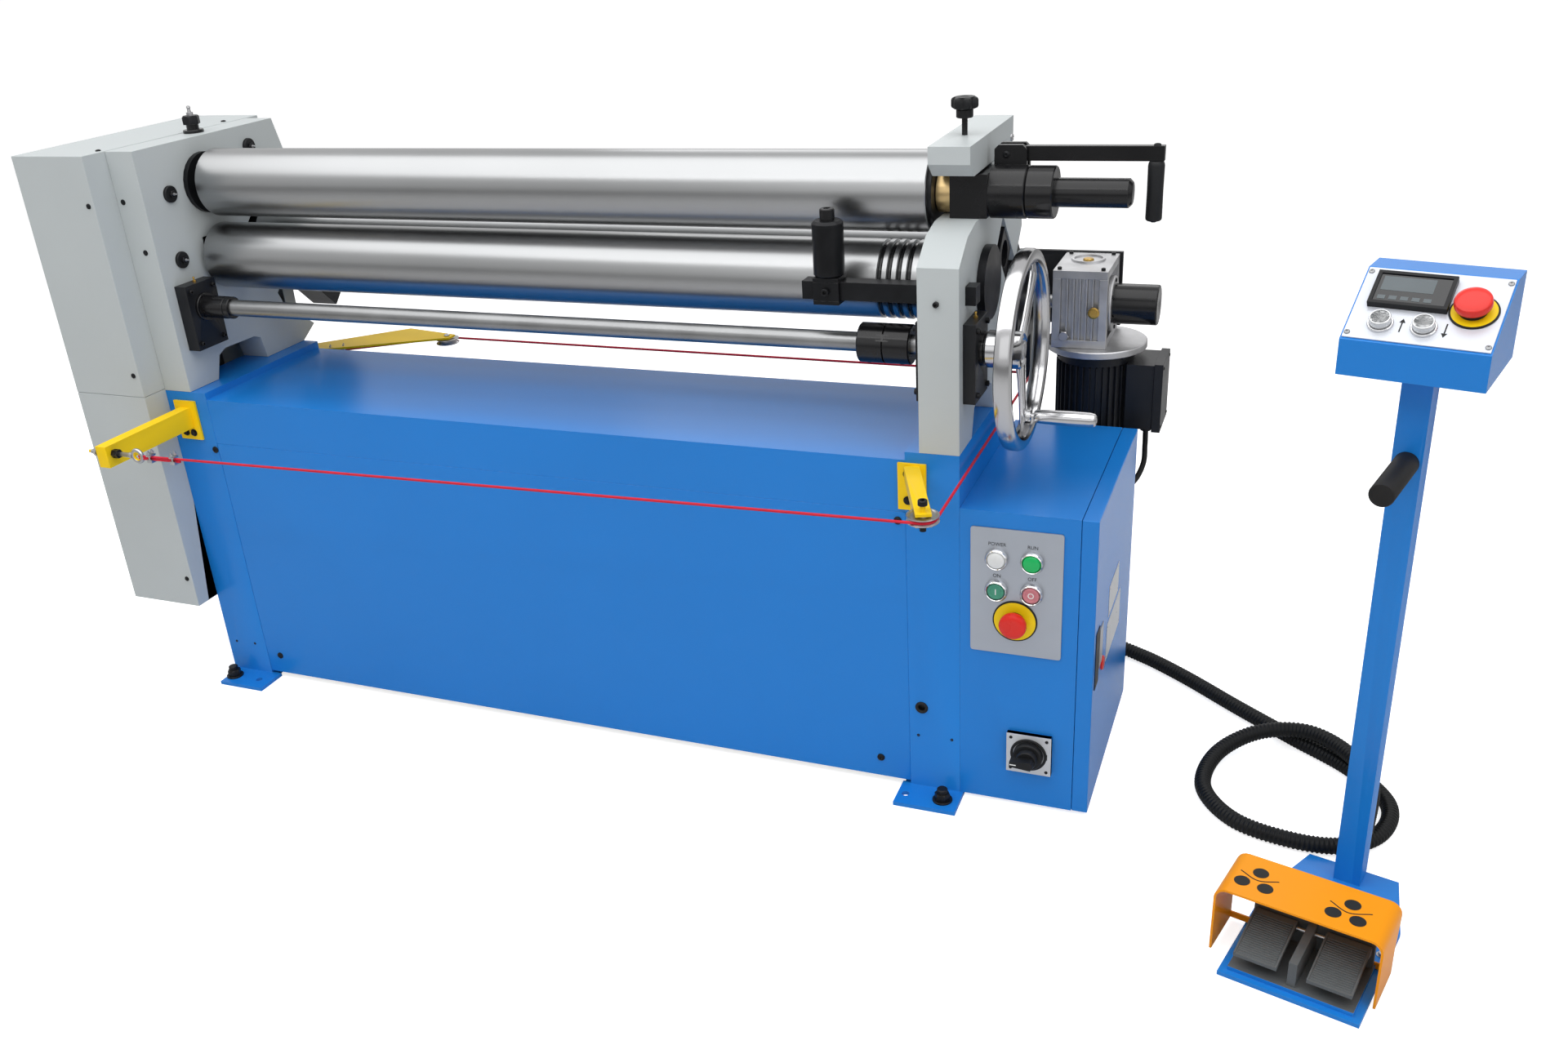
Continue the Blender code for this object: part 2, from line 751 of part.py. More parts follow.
def left_frame():
    top = [FRAME_REAR_SHOULDER, (FRAME_REAR_TOP, FRAME_TOP_Z), (-FRAME_FRONT, FRAME_TOP_Z)]
    plate = outline("left_frame", behind(frame_feet() + top), "X", LEFT_OUTER, LEFT_INNER)
    boss_end = LEFT_OUTER - GEAR_BOSS_LENGTH
    boss_start = LEFT_OUTER + WINDOW_WEB / 2
    boss = rod(
        "lower gear boss",
        (boss_end, AXIS, LOWER_ROLL_Z),
        (boss_start, AXIS, LOWER_ROLL_Z),
        GEAR_BOSS_RADIUS,
        tool=True,
    )
    join(plate, boss)
    low_x, high_x = LEFT_OUTER - OVERRUN, LEFT_INNER + OVERRUN
    return finish(
        cut(
            plate,
            lift_window("left window", LEFT_OUTER + WINDOW_WEB, high_x),
            journal_bore(
                "left lower bore",
                AXIS,
                LOWER_ROLL_Z,
                boss_end - OVERRUN,
                high_x,
                BEARING_BORE - SLIDE_GAP,
            ),
            journal_bore("left upper bore", AXIS, UPPER_ROLL_Z, low_x, high_x, BEARING_RADIUS + GAP),
            slide_slot("left slide slot", low_x, high_x),
        ),
        "grey paint",
    )


def right_frame():
    top = [
        (RIGHT_REAR_TOP, RIGHT_SHOULDER_Z),
        (RIGHT_SADDLE_BACK, RIGHT_SHOULDER_Z),
        (RIGHT_SADDLE_BACK, RIGHT_SADDLE_Z),
        RIGHT_SADDLE_FRONT,
        RIGHT_FRONT_STEP,
        RIGHT_FRONT_TOP,
    ]
    plate = outline("right_frame", behind(frame_feet() + top), "X", RIGHT_INNER, RIGHT_OUTER)
    middle = (RIGHT_INNER + RIGHT_OUTER) / 2
    pivot_y, pivot_z = AXIS + CLAMP_PIVOT[0], CLAMP_PIVOT[1]
    lug_low = middle - LUG_THICKNESS / 2
    lug_high = middle + LUG_THICKNESS / 2
    lug_top = rod(
        "lug round",
        (lug_low, pivot_y, pivot_z),
        (lug_high, pivot_y, pivot_z),
        LUG_RADIUS,
        tool=True,
    )
    lug_foot = box(
        "lug foot",
        (lug_low, pivot_y - LUG_RADIUS, RIGHT_SHOULDER_Z - OVERRUN),
        (lug_high, pivot_y + LUG_RADIUS, pivot_z),
        tool=True,
    )
    join(plate, lug_foot, lug_top)
    low_x, high_x = RIGHT_INNER - OVERRUN, RIGHT_OUTER + OVERRUN
    half = GUIDE_BAR / 2 + GUIDE_HOLE_GAP
    guide_y = AXIS - GUIDE_FORWARD
    return finish(
        cut(
            plate,
            lift_window("right window", low_x, high_x),
            slide_slot("right slide slot", low_x, high_x),
            journal_bore(
                "shaft sleeve bore",
                SHAFT_Y,
                SHAFT_Z,
                low_x,
                high_x,
                COUPLING_NECK_RADIUS + GAP,
            ),
            journal_bore("lug bore", pivot_y, pivot_z, low_x, high_x, HINGE_PIN_RADIUS + GAP),
            box(
                "guide hole",
                (low_x, guide_y - half, GUIDE_Z - half),
                (high_x, guide_y + half, GUIDE_Z + half),
                tool=True,
            ),
        ),
        "grey paint",
    )


def ring_arc(radius, middle_along, middle_radius, start, end, count=5):
    """Profile points of a round stretch of a turned piece: (along, radius) pairs."""
    return [
        (along, across) for across, along in arc(
            (middle_radius, middle_along),
            radius,
            start,
            end,
            count,
        )
    ]


def upper_roll():
    pivot_x = (LEFT_OUTER + LEFT_INNER) / 2
    start = -STUB_REACH - (pivot_x - ROLL_LEFT_X)
    touch = math.degrees(math.acos(STUB_RADIUS / SWELL_RADIUS))
    leave = math.degrees(math.acos(JOURNAL_RADIUS / SWELL_RADIUS))
    swell = ring_arc(SWELL_RADIUS, 0, 0, -touch, leave)
    face = ROLL_LEFT_X + UPPER_ROLL_INSET - pivot_x
    roll_end = ROLLS_RIGHT_X - pivot_x
    neck = roll_end + SHOULDER_LENGTH
    collar = NOSE_RIGHT + GAP - pivot_x
    shaft = collar + COLLAR_LENGTH
    tip = shaft + SHAFT_END_LENGTH
    profile = [
        (start, STUB_RADIUS),
        *swell,
        (face, JOURNAL_RADIUS),
        (face, ROLL_RADIUS),
        (roll_end, ROLL_RADIUS),
        (roll_end, SHOULDER_RADIUS),
        (neck, SHOULDER_RADIUS),
        (neck, NECK_RADIUS),
        (collar, NECK_RADIUS),
        (collar, COLLAR_RADIUS),
        (shaft, COLLAR_RADIUS),
        (shaft, SHAFT_END_RADIUS),
        (tip - SHAFT_CHAMFER, SHAFT_END_RADIUS),
        (tip, SHAFT_END_RADIUS - SHAFT_CHAMFER),
    ]
    return finish(
        turned("upper_roll", (pivot_x, AXIS, UPPER_ROLL_Z), (1, 0, 0), profile),
        "ground steel",
    )


def lower_roll():
    left_end = LEFT_OUTER - GEAR_BOSS_LENGTH - ROLL_LEFT_X
    right_end = RIGHT_OUTER - CARRIAGE_FACE_INSET - ROLL_LEFT_X
    profile = [(left_end, JOURNAL_RADIUS), (0, JOURNAL_RADIUS), (0, ROLL_RADIUS)]
    for groove in range(GROOVE_COUNT):
        start = ROLL_LENGTH - GROOVE_FIRST + groove * GROOVE_STEP
        floor = ROLL_RADIUS - GROOVE_DEPTH
        shoulder = GROOVE_WIDTH / 4
        profile += [
            (start, ROLL_RADIUS),
            (start + shoulder, floor),
            (start + GROOVE_WIDTH - shoulder, floor),
            (start + GROOVE_WIDTH, ROLL_RADIUS),
        ]
    profile += [(ROLL_LENGTH, ROLL_RADIUS), (ROLL_LENGTH, JOURNAL_RADIUS), (right_end, JOURNAL_RADIUS)]
    return finish(
        turned("lower_roll", (ROLL_LEFT_X, AXIS, LOWER_ROLL_Z), (1, 0, 0), profile),
        "ground steel",
    )


def rear_roll():
    reach = FRAME_THICKNESS * 3 / 4
    profile = [
        (-LEFT_FRAME_GAP - reach, JOURNAL_RADIUS),
        (0, JOURNAL_RADIUS),
        (0, ROLL_RADIUS),
        (ROLL_LENGTH, ROLL_RADIUS),
        (ROLL_LENGTH, JOURNAL_RADIUS),
        (ROLL_LENGTH + RIGHT_FRAME_GAP + reach, JOURNAL_RADIUS),
    ]
    place = (ROLL_LEFT_X, REAR_ROLL_Y, REAR_ROLL_Z)
    return finish(turned("rear_roll", place, (1, 0, 0), profile), "ground steel")


def upper_left_bearing():
    inner = FRAME_THICKNESS
    outer = [
        (-GEAR_BOSS_LENGTH, GEAR_BOSS_RADIUS),
        (0, GEAR_BOSS_RADIUS),
        (0, BEARING_RADIUS),
        (inner + GAP, BEARING_RADIUS),
        (inner + GAP, BEARING_FLANGE_RADIUS),
        (inner + GAP + BEARING_FLANGE_LENGTH, BEARING_FLANGE_RADIUS),
    ]
    bore = [(-GEAR_BOSS_LENGTH, BEARING_BORE), (outer[-1][0], BEARING_BORE)]
    place = (LEFT_OUTER, AXIS, UPPER_ROLL_Z)
    return finish(turned("upper_left_bearing", place, (1, 0, 0), outer, bore), "black steel")


def bronze_bush():
    bore = NECK_RADIUS + GAP
    place = (BUSH_LEFT, AXIS, UPPER_ROLL_Z)
    length = BUSH_LENGTH - GAP
    ring = turned(
        "bronze_bush",
        place,
        (1, 0, 0),
        [(0, BUSH_RADIUS), (length, BUSH_RADIUS)],
        [(0, bore), (length, bore)],
    )
    return finish(ring, "bronze")


def upper_roll_block():
    low = (BLOCK_LEFT, AXIS - BLOCK_HALF_WIDTH, UPPER_ROLL_Z - BLOCK_HALF_HEIGHT)
    high = (NOSE_LEFT, AXIS + BLOCK_HALF_WIDTH, UPPER_ROLL_Z + BLOCK_HALF_HEIGHT)
    block = box("upper_roll_block", low, high)
    nose_start = (NOSE_LEFT - BLOCK_LENGTH / 2, AXIS, UPPER_ROLL_Z)
    nose = rod("nose", nose_start, (NOSE_RIGHT, AXIS, UPPER_ROLL_Z), NOSE_RADIUS, tool=True)
    trim = box(
        "nose trim",
        (nose_start[0] - OVERRUN, AXIS - NOSE_RADIUS - OVERRUN, UPPER_ROLL_Z - NOSE_RADIUS - OVERRUN),
        (NOSE_LEFT, AXIS + NOSE_RADIUS + OVERRUN, UPPER_ROLL_Z + NOSE_RADIUS + OVERRUN),
        tool=True,
    )
    cut(nose, trim)
    join(block, nose)
    y = AXIS + LEVER_Y
    inner = LEVER_BAR_THICKNESS / 2 + GAP
    for side in (-1, 1):
        near, far = sorted((y + side * inner, y + side * (inner + LEVER_EAR_THICKNESS)))
        ear = box(
            f"lever ear {side}",
            (NOSE_LEFT + GAP, near, UPPER_ROLL_Z),
            (NOSE_LEFT + LEVER_EAR_LENGTH, far, LEVER_EAR_TOP_Z),
            tool=True,
        )
        join(block, ear)
    pin_x = RIGHT_OUTER + LEVER_PIVOT_X
    reach = inner + LEVER_EAR_THICKNESS / 2
    pin_ends = ((pin_x, y - reach, LEVER_PIVOT_Z), (pin_x, y + reach, LEVER_PIVOT_Z))
    join(block, rod("lever pin", *pin_ends, GRIP_PIN_RADIUS, SMALL_SIDES, tool=True))
    bore = journal_bore(
        "block bore",
        AXIS,
        UPPER_ROLL_Z,
        BLOCK_LEFT - OVERRUN,
        NOSE_RIGHT + OVERRUN,
        NECK_RADIUS + GAP,
    )
    return finish(cut(block, bore), "black steel")


def top_clamp():
    pivot_y, pivot_z = CLAMP_PIVOT
    points = [
        (-CLAMP_FRONT, CLAMP_LIP_Z),
        (-CLAMP_CHAMFER_Y, CLAMP_LOW_Z),
        (pivot_y, CLAMP_LOW_Z),
        CLAMP_HEEL,
        (CLAMP_BACK, CLAMP_TOP_Z),
        (-CLAMP_FRONT, CLAMP_TOP_Z),
    ]
    body = outline("top_clamp", behind(points), "X", RIGHT_INNER, RIGHT_OUTER)
    middle = (RIGHT_INNER + RIGHT_OUTER) / 2
    half = LUG_THICKNESS / 2 + LUG_GAP
    reach = LUG_RADIUS + LUG_GAP
    slot = box(
        "lug slot",
        (middle - half, AXIS + pivot_y - reach, CLAMP_LOW_Z - OVERRUN),
        (middle + half, AXIS + CLAMP_BACK + OVERRUN, pivot_z + reach),
        tool=True,
    )
    pin_low, pin_high = RIGHT_INNER + SLIDE_GAP, RIGHT_OUTER - SLIDE_GAP
    pin = rod(
        "clamp pin",
        (pin_low, AXIS + pivot_y, pivot_z),
        (pin_high, AXIS + pivot_y, pivot_z),
        HINGE_PIN_RADIUS,
        SMALL_SIDES,
        tool=True,
    )
    stem_x, stem_y = RIGHT_INNER + KNOB_STEM_X, AXIS + KNOB_STEM_Y
    hole = rod(
        "knob hole",
        (stem_x, stem_y, KNOB_STEM_LOW_Z - GAP),
        (stem_x, stem_y, CLAMP_TOP_Z + OVERRUN),
        KNOB_STEM_RADIUS + GAP,
        SMALL_SIDES,
        tool=True,
    )
    join(cut(body, slot, hole), pin)
    return finish(pivot(body, (middle, AXIS + pivot_y, pivot_z)), "grey paint")


def clamp_knob():
    place = (RIGHT_INNER + KNOB_STEM_X, AXIS + KNOB_STEM_Y, KNOB_STEM_LOW_Z)
    heights = [KNOB_STEM_LENGTH, KNOB_LOW_Z - KNOB_STEM_LOW_Z, KNOB_TOP_Z - KNOB_STEM_LOW_Z]
    edge = KNOB_FLUTE_RADIUS / 2
    profile = [
        (0, KNOB_STEM_RADIUS),
        (heights[0], KNOB_STEM_RADIUS),
        (heights[0], KNOB_SEAT_RADIUS),
        (heights[1], KNOB_SEAT_RADIUS),
        (heights[1], KNOB_RADIUS - edge),
        (heights[1] + edge, KNOB_RADIUS),
        (heights[2] - edge, KNOB_RADIUS),
        (heights[2], KNOB_RADIUS - edge),
    ]
    knob = turned("clamp_knob", place, (0, 0, 1), profile, sides=KNOB_LOBES * 2)
    for lobe in range(KNOB_LOBES):
        angle = math.tau * (lobe + 1 / 2) / KNOB_LOBES
        x = place[0] + KNOB_RADIUS * math.cos(angle)
        y = place[1] + KNOB_RADIUS * math.sin(angle)
        flute = rod(
            f"knob flute {lobe}",
            (x, y, KNOB_LOW_Z - OVERRUN / 4),
            (x, y, KNOB_TOP_Z + OVERRUN),
            KNOB_FLUTE_RADIUS,
            SMALL_SIDES // 2,
            tool=True,
        )
        cut(knob, flute)
    return finish(knob, "black plastic")


def release_lever():
    y = AXIS + LEVER_Y
    half = LEVER_BAR_HEIGHT / 2
    thick = LEVER_BAR_THICKNESS / 2
    bar = box(
        "release_lever",
        (RIGHT_OUTER + LEVER_BAR_START, y - thick, LEVER_PIVOT_Z - half),
        (RIGHT_OUTER + LEVER_BAR_END, y + thick, LEVER_PIVOT_Z + half),
    )
    pin_x = RIGHT_OUTER + LEVER_PIVOT_X
    hole = rod(
        "lever hole",
        (pin_x, y - thick - OVERRUN, LEVER_PIVOT_Z),
        (pin_x, y + thick + OVERRUN, LEVER_PIVOT_Z),
        GRIP_PIN_RADIUS + GAP,
        SMALL_SIDES,
        tool=True,
    )
    grip_x = RIGHT_OUTER + GRIP_X
    pin = rod(
        "grip pin",
        (grip_x, y, LEVER_PIVOT_Z),
        (grip_x, y, LEVER_PIVOT_Z - half - GRIP_LENGTH),
        GRIP_PIN_RADIUS,
        SMALL_SIDES,
        tool=True,
    )
    join(cut(bar, hole), pin)
    return finish(pivot(bar, (pin_x, y, LEVER_PIVOT_Z)), "black steel")


def lever_grip():
    top = LEVER_PIVOT_Z - LEVER_BAR_HEIGHT / 2 - GAP
    bore = GRIP_PIN_RADIUS + GAP
    edge = GRIP_RADIUS / 5
    outer = [
        (-GRIP_LENGTH, GRIP_RADIUS - edge),
        (-GRIP_LENGTH + edge, GRIP_RADIUS),
        (-edge, GRIP_RADIUS),
        (0, GRIP_RADIUS - edge),
    ]
    place = (RIGHT_OUTER + GRIP_X, AXIS + LEVER_Y, top)
    inner = [(-GRIP_LENGTH, bore), (0, bore)]
    return finish(turned("lever_grip", place, (0, 0, 1), outer, inner, SMALL_SIDES), "black plastic")


def lower_left_carriage():
    low_x, high_x = LEFT_OUTER + WINDOW_WEB + GAP, LEFT_INNER - CARRIAGE_FACE_INSET
    low = (low_x, AXIS - WINDOW_HALF_WIDTH, LOWER_ROLL_Z - CARRIAGE_HALF_HEIGHT)
    high = (high_x, AXIS + WINDOW_HALF_WIDTH, LOWER_ROLL_Z + CARRIAGE_HALF_HEIGHT)
    block = box("lower_left_carriage", low, high)
    bore = journal_bore("left carriage bore", AXIS, LOWER_ROLL_Z, low_x - OVERRUN, high_x + OVERRUN)
    return finish(cut(block, bore), "black steel")


def lower_right_carriage():
    low_x, high_x = RIGHT_INNER + CARRIAGE_FACE_INSET, RIGHT_OUTER + CAP_DISC_THICKNESS / 2
    low = (low_x, AXIS - WINDOW_HALF_WIDTH, LOWER_ROLL_Z - CARRIAGE_HALF_HEIGHT)
    high = (high_x, AXIS + WINDOW_HALF_WIDTH, LOWER_ROLL_Z + CARRIAGE_HALF_HEIGHT)
    block = box("lower_right_carriage", low, high)
    disc = rod(
        "cap disc",
        (RIGHT_OUTER + GAP, AXIS, LOWER_ROLL_Z),
        (RIGHT_OUTER + CAP_DISC_THICKNESS, AXIS, LOWER_ROLL_Z),
        CAP_DISC_RADIUS,
        tool=True,
    )
    bore = journal_bore("right carriage bore", AXIS, LOWER_ROLL_Z, low_x - OVERRUN, RIGHT_OUTER)
    return finish(cut(join(block, disc), bore), "black steel")


def left_worm_box():
    low_x = LEFT_INNER + GAP
    block = box(
        "left_worm_box",
        (low_x, AXIS - WORM_BOX_FRONT, WORM_BOX_LOW_Z),
        (low_x + LEFT_BOX_DEPTH, AXIS - WORM_BOX_BACK, WORM_BOX_HIGH_Z),
    )
    boss = rod(
        "left boss",
        (low_x + LEFT_BOX_DEPTH / 2, SHAFT_Y, SHAFT_Z),
        (low_x + LEFT_BOX_DEPTH + LEFT_BOSS_LENGTH, SHAFT_Y, SHAFT_Z),
        LEFT_BOSS_RADIUS,
        tool=True,
    )
    bore = journal_bore(
        "left box bore",
        SHAFT_Y,
        SHAFT_Z,
        low_x - OVERRUN,
        low_x + LEFT_BOX_DEPTH + LEFT_BOSS_LENGTH + OVERRUN,
        SHAFT_RADIUS + GAP,
    )
    return finish(cut(join(block, boss), bore), "black steel")


def right_worm_box():
    low_x = RIGHT_OUTER + GAP
    high_x = low_x + RIGHT_BOX_DEPTH
    block = box(
        "right_worm_box",
        (low_x, AXIS - WORM_BOX_FRONT, WORM_BOX_LOW_Z),
        (high_x, AXIS - WORM_BOX_BACK, WORM_BOX_HIGH_Z),
    )
    boss = rod(
        "right boss",
        (low_x + RIGHT_BOX_DEPTH / 2, SHAFT_Y, SHAFT_Z),
        (high_x + RIGHT_BOSS_LENGTH, SHAFT_Y, SHAFT_Z),
        RIGHT_BOSS_RADIUS,
        tool=True,
    )
    plate_high = RIGHT_INNER - GAP
    plate_low = plate_high - INNER_PLATE_THICKNESS
    plate = box(
        "inner plate",
        (plate_low, AXIS - WORM_BOX_FRONT, WORM_BOX_LOW_Z),
        (plate_high, AXIS - WORM_BOX_BACK, WORM_BOX_HIGH_Z),
        tool=True,
    )
    sleeve = rod(
        "box sleeve",
        (plate_low + INNER_PLATE_THICKNESS / 2, SHAFT_Y, SHAFT_Z),
        (low_x + RIGHT_BOX_DEPTH / 2, SHAFT_Y, SHAFT_Z),
        COUPLING_NECK_RADIUS,
        tool=True,
    )
    bore = journal_bore(
        "right box bore",
        SHAFT_Y,
        SHAFT_Z,
        plate_low - OVERRUN,
        high_x + RIGHT_BOSS_LENGTH + OVERRUN,
        SHAFT_RADIUS + GAP,
    )
    return finish(cut(join(block, boss, sleeve, plate), bore), "black steel")


def adjusting_shaft():
    start = LEFT_INNER + GAP
    coupling_end = RIGHT_INNER - COUPLING_GAP - start
    neck = coupling_end - COUPLING_LENGTH
    collar = LEFT_BOX_DEPTH + LEFT_BOSS_LENGTH + GAP * 2
    end = RIGHT_OUTER + WHEEL_HUB_OFFSET + WHEEL_HUB_LENGTH / 2 - start
    split = neck + COUPLING_LENGTH / 2
    waist = COUPLING_RADIUS - COUPLING_SLOT
    profile = [
        (0, SHAFT_RADIUS),
        (collar, SHAFT_RADIUS),
        (collar, LEFT_BOSS_RADIUS),
        (collar + OVERRUN, LEFT_BOSS_RADIUS),
        (collar + OVERRUN, SHAFT_RADIUS),
        (neck, SHAFT_RADIUS),
        (neck, COUPLING_RADIUS),
        (split - COUPLING_SLOT / 2, COUPLING_RADIUS),
        (split - COUPLING_SLOT / 2, waist),
        (split + COUPLING_SLOT / 2, waist),
        (split + COUPLING_SLOT / 2, COUPLING_RADIUS),
        (coupling_end, COUPLING_RADIUS),
        (coupling_end, SHAFT_RADIUS),
        (end, SHAFT_RADIUS),
    ]
    return finish(
        turned("adjusting_shaft", (start, SHAFT_Y, SHAFT_Z), (1, 0, 0), profile),
        "ground steel",
    )


def handwheel():
    hub = RIGHT_OUTER + WHEEL_HUB_OFFSET
    rim = RIGHT_OUTER + WHEEL_RIM_OFFSET - hub
    inner = WHEEL_RADIUS - WHEEL_RIM_DEPTH
    edge = WHEEL_RIM_WIDTH / 4
    outer = [
        (rim, WHEEL_RADIUS - edge),
        (rim + edge, WHEEL_RADIUS),
        (rim + WHEEL_RIM_WIDTH - edge, WHEEL_RADIUS),
        (rim + WHEEL_RIM_WIDTH, WHEEL_RADIUS - edge),
    ]
    bore = [
        (rim, inner + edge),
        (rim + edge, inner),
        (rim + WHEEL_RIM_WIDTH - edge, inner),
        (rim + WHEEL_RIM_WIDTH, inner + edge),
    ]
    wheel = turned("handwheel", (hub, SHAFT_Y, SHAFT_Z), (1, 0, 0), outer, bore)
    middle = (hub, SHAFT_Y, SHAFT_Z)
    hub_end = hub + rim + WHEEL_RIM_WIDTH / 2
    core = rod("wheel hub", middle, (hub_end, SHAFT_Y, SHAFT_Z), WHEEL_HUB_RADIUS, tool=True)
    first = math.atan2(WHEEL_HANDLE_OFFSET[1], WHEEL_HANDLE_OFFSET[0])
    spoke_low = rim + edge / 2
    for spoke in range(WHEEL_SPOKES):
        bar = box(
            f"spoke {spoke}",
            (spoke_low, 0, -WHEEL_SPOKE_WIDTH / 2),
            (
                spoke_low + WHEEL_SPOKE_THICKNESS,
                WHEEL_RADIUS - WHEEL_RIM_DEPTH / 2,
                WHEEL_SPOKE_WIDTH / 2,
            ),
            tool=True,
        )
        pivot(bar, (0, 0, 0))
        bar.location = middle
        bar.rotation_euler = (first + math.tau * spoke / WHEEL_SPOKES, 0, 0)
        join(core, bar)
    join(wheel, core)
    shaft_end = hub + WHEEL_HUB_LENGTH / 2
    bore_tool = journal_bore(
        "wheel bore",
        SHAFT_Y,
        SHAFT_Z,
        hub - OVERRUN,
        shaft_end + GAP,
        SHAFT_RADIUS + GAP,
    )
    pin_y, pin_z = SHAFT_Y + WHEEL_HANDLE_OFFSET[0], SHAFT_Z + WHEEL_HANDLE_OFFSET[1]
    pin_start = hub + spoke_low + WHEEL_SPOKE_THICKNESS / 2
    pin = rod(
        "handle pin",
        (pin_start, pin_y, pin_z),
        (hub + rim + WHEEL_HANDLE_LENGTH, pin_y, pin_z),
        WHEEL_PIN_RADIUS,
        SMALL_SIDES,
        tool=True,
    )
    return finish(join(cut(wheel, bore_tool), pin), "chrome")


def wheel_handle():
    start = RIGHT_OUTER + WHEEL_RIM_OFFSET + WHEEL_RIM_WIDTH + GAP
    bore = WHEEL_PIN_RADIUS + GAP
    edge = WHEEL_HANDLE_RADIUS / 4
    length = WHEEL_HANDLE_LENGTH
    outer = [
        (0, WHEEL_HANDLE_RADIUS - edge),
        (edge, WHEEL_HANDLE_RADIUS),
        (length - edge, WHEEL_HANDLE_RADIUS),
        (length, WHEEL_HANDLE_RADIUS - edge),
    ]
    place = (start, SHAFT_Y + WHEEL_HANDLE_OFFSET[0], SHAFT_Z + WHEEL_HANDLE_OFFSET[1])
    return finish(
        turned("wheel_handle", place, (1, 0, 0), outer, [(0, bore), (length, bore)], SMALL_SIDES),
        "chrome",
    )


def gear_points(pitch_radius, teeth, turn):
    """The outline of a gear: four points a tooth, with the first tooth at the angle of turn, in teeth."""
    module = 2 * pitch_radius / teeth
    tip = pitch_radius + TOOTH_ADDENDUM_SHARE * module
    root = pitch_radius - TOOTH_DEDENDUM_SHARE * module
    points = []
    for tooth in range(teeth):
        for radius, share in (
            (root, -TOOTH_ROOT_SHARE),
            (tip, -TOOTH_TIP_SHARE),
            (tip, TOOTH_TIP_SHARE),
            (root, TOOTH_ROOT_SHARE),
        ):
            angle = math.tau * (tooth + turn + share) / teeth + math.pi / 2
            points.append((radius * math.cos(angle), radius * math.sin(angle)))
    return points


def gear(name, z, pitch_radius, teeth, turn):
    points = [(AXIS + y, z + up) for y, up in gear_points(pitch_radius, teeth, turn)]
    wheel = outline(name, points, "X", GEAR_LEFT, GEAR_RIGHT)
    return pivot(wheel, ((GEAR_LEFT + GEAR_RIGHT) / 2, AXIS, z))


def boss_gear(name, z, turn):
    wheel = gear(name, z, GEAR_PITCH_RADIUS, GEAR_TEETH, turn)
    bore = journal_bore(
        f"{name} bore",
        AXIS,
        z,
        GEAR_LEFT - OVERRUN,
        GEAR_RIGHT + OVERRUN,
        GEAR_BOSS_RADIUS + GAP,
    )
    return finish(cut(wheel, bore), "ground steel")


def drive_pinion():
    wheel = gear("drive_pinion", PINION_Z, PINION_PITCH_RADIUS, PINION_TEETH, 1 / 2)
    shaft = rod(
        "pinion shaft",
        (GEAR_RIGHT - GEAR_WIDTH / 2, AXIS, PINION_Z),
        (GEAR_LEFT - PINION_SHAFT_LENGTH, AXIS, PINION_Z),
        PINION_SHAFT_RADIUS,
        tool=True,
    )
    return finish(join(wheel, shaft), "ground steel")


def main_gearmotor():
    right = GEAR_LEFT - GEARBOX_GAP
    left = right - GEARBOX_DEPTH
    case = box(
        "main_gearmotor",
        (left, AXIS - GEARBOX_HALF_WIDTH, PINION_Z - GEARBOX_BELOW),
        (right, AXIS + GEARBOX_HALF_WIDTH, PINION_Z + GEARBOX_ABOVE),
    )
    motor_x = LEFT_OUTER - COVER_DEPTH / 2
    top = PINION_Z - GEARBOX_BELOW / 2
    motor = rod(
        "main motor",
        (motor_x, AXIS, top),
        (motor_x, AXIS, top - MAIN_MOTOR_LENGTH),
        MAIN_MOTOR_RADIUS,
        tool=True,
    )
    trim = box(
        "motor trim",
        (
            motor_x - MAIN_MOTOR_RADIUS - OVERRUN,
            AXIS - MAIN_MOTOR_RADIUS - OVERRUN,
            PINION_Z - GEARBOX_BELOW,
        ),
        (
            motor_x + MAIN_MOTOR_RADIUS + OVERRUN,
            AXIS + MAIN_MOTOR_RADIUS + OVERRUN,
            PINION_Z + GEARBOX_ABOVE,
        ),
        tool=True,
    )
    plate = box(
        "motor mount",
        (LEFT_OUTER - GAP - MOUNT_PLATE_THICKNESS, AXIS - MOUNT_PLATE_HALF_WIDTH, MOUNT_PLATE_LOW_Z),
        (LEFT_OUTER - GAP, AXIS + MOUNT_PLATE_HALF_WIDTH, MOUNT_PLATE_HIGH_Z),
        tool=True,
    )
    collar = rod(
        "motor collar",
        (motor_x, AXIS, PINION_Z),
        (motor_x, AXIS, top - MAIN_MOTOR_RADIUS),
        GEARBOX_DEPTH / 5,
        tool=True,
    )
    bore = journal_bore(
        "pinion bore",
        AXIS,
        PINION_Z,
        GEAR_LEFT - PINION_SHAFT_LENGTH - GAP,
        GEAR_LEFT,
        PINION_SHAFT_RADIUS + GAP,
    )
    return finish(cut(join(case, collar, cut(motor, trim), plate), bore), "black steel")


def cover(name, low_z, high_z, closed):
    """A sheet box that is open to the frame; closed is the side of Z that has a wall."""
    wall = COVER_WALL
    low = (COVER_LEFT, AXIS - COVER_FRONT, low_z)
    high = (COVER_RIGHT, AXIS + COVER_BACK, high_z)
    shell = box(name, low, high)
    inner_low = low_z + wall if closed == "low" else low_z - OVERRUN
    inner_high = high_z - wall if closed == "high" else high_z + OVERRUN
    room = box(
        f"{name} room",
        (low[0] + wall, low[1] + wall, inner_low),
        (high[0] - wall, high[1] - wall, inner_high),
        tool=True,
    )
    mouth = box(
        f"{name} mouth",
        (high[0] - wall * 2, AXIS - COVER_MOUTH_FRONT, inner_low),
        (high[0] + OVERRUN, AXIS + COVER_MOUTH_BACK, inner_high),
        tool=True,
    )
    return finish(cut(shell, room, mouth), "grey paint")


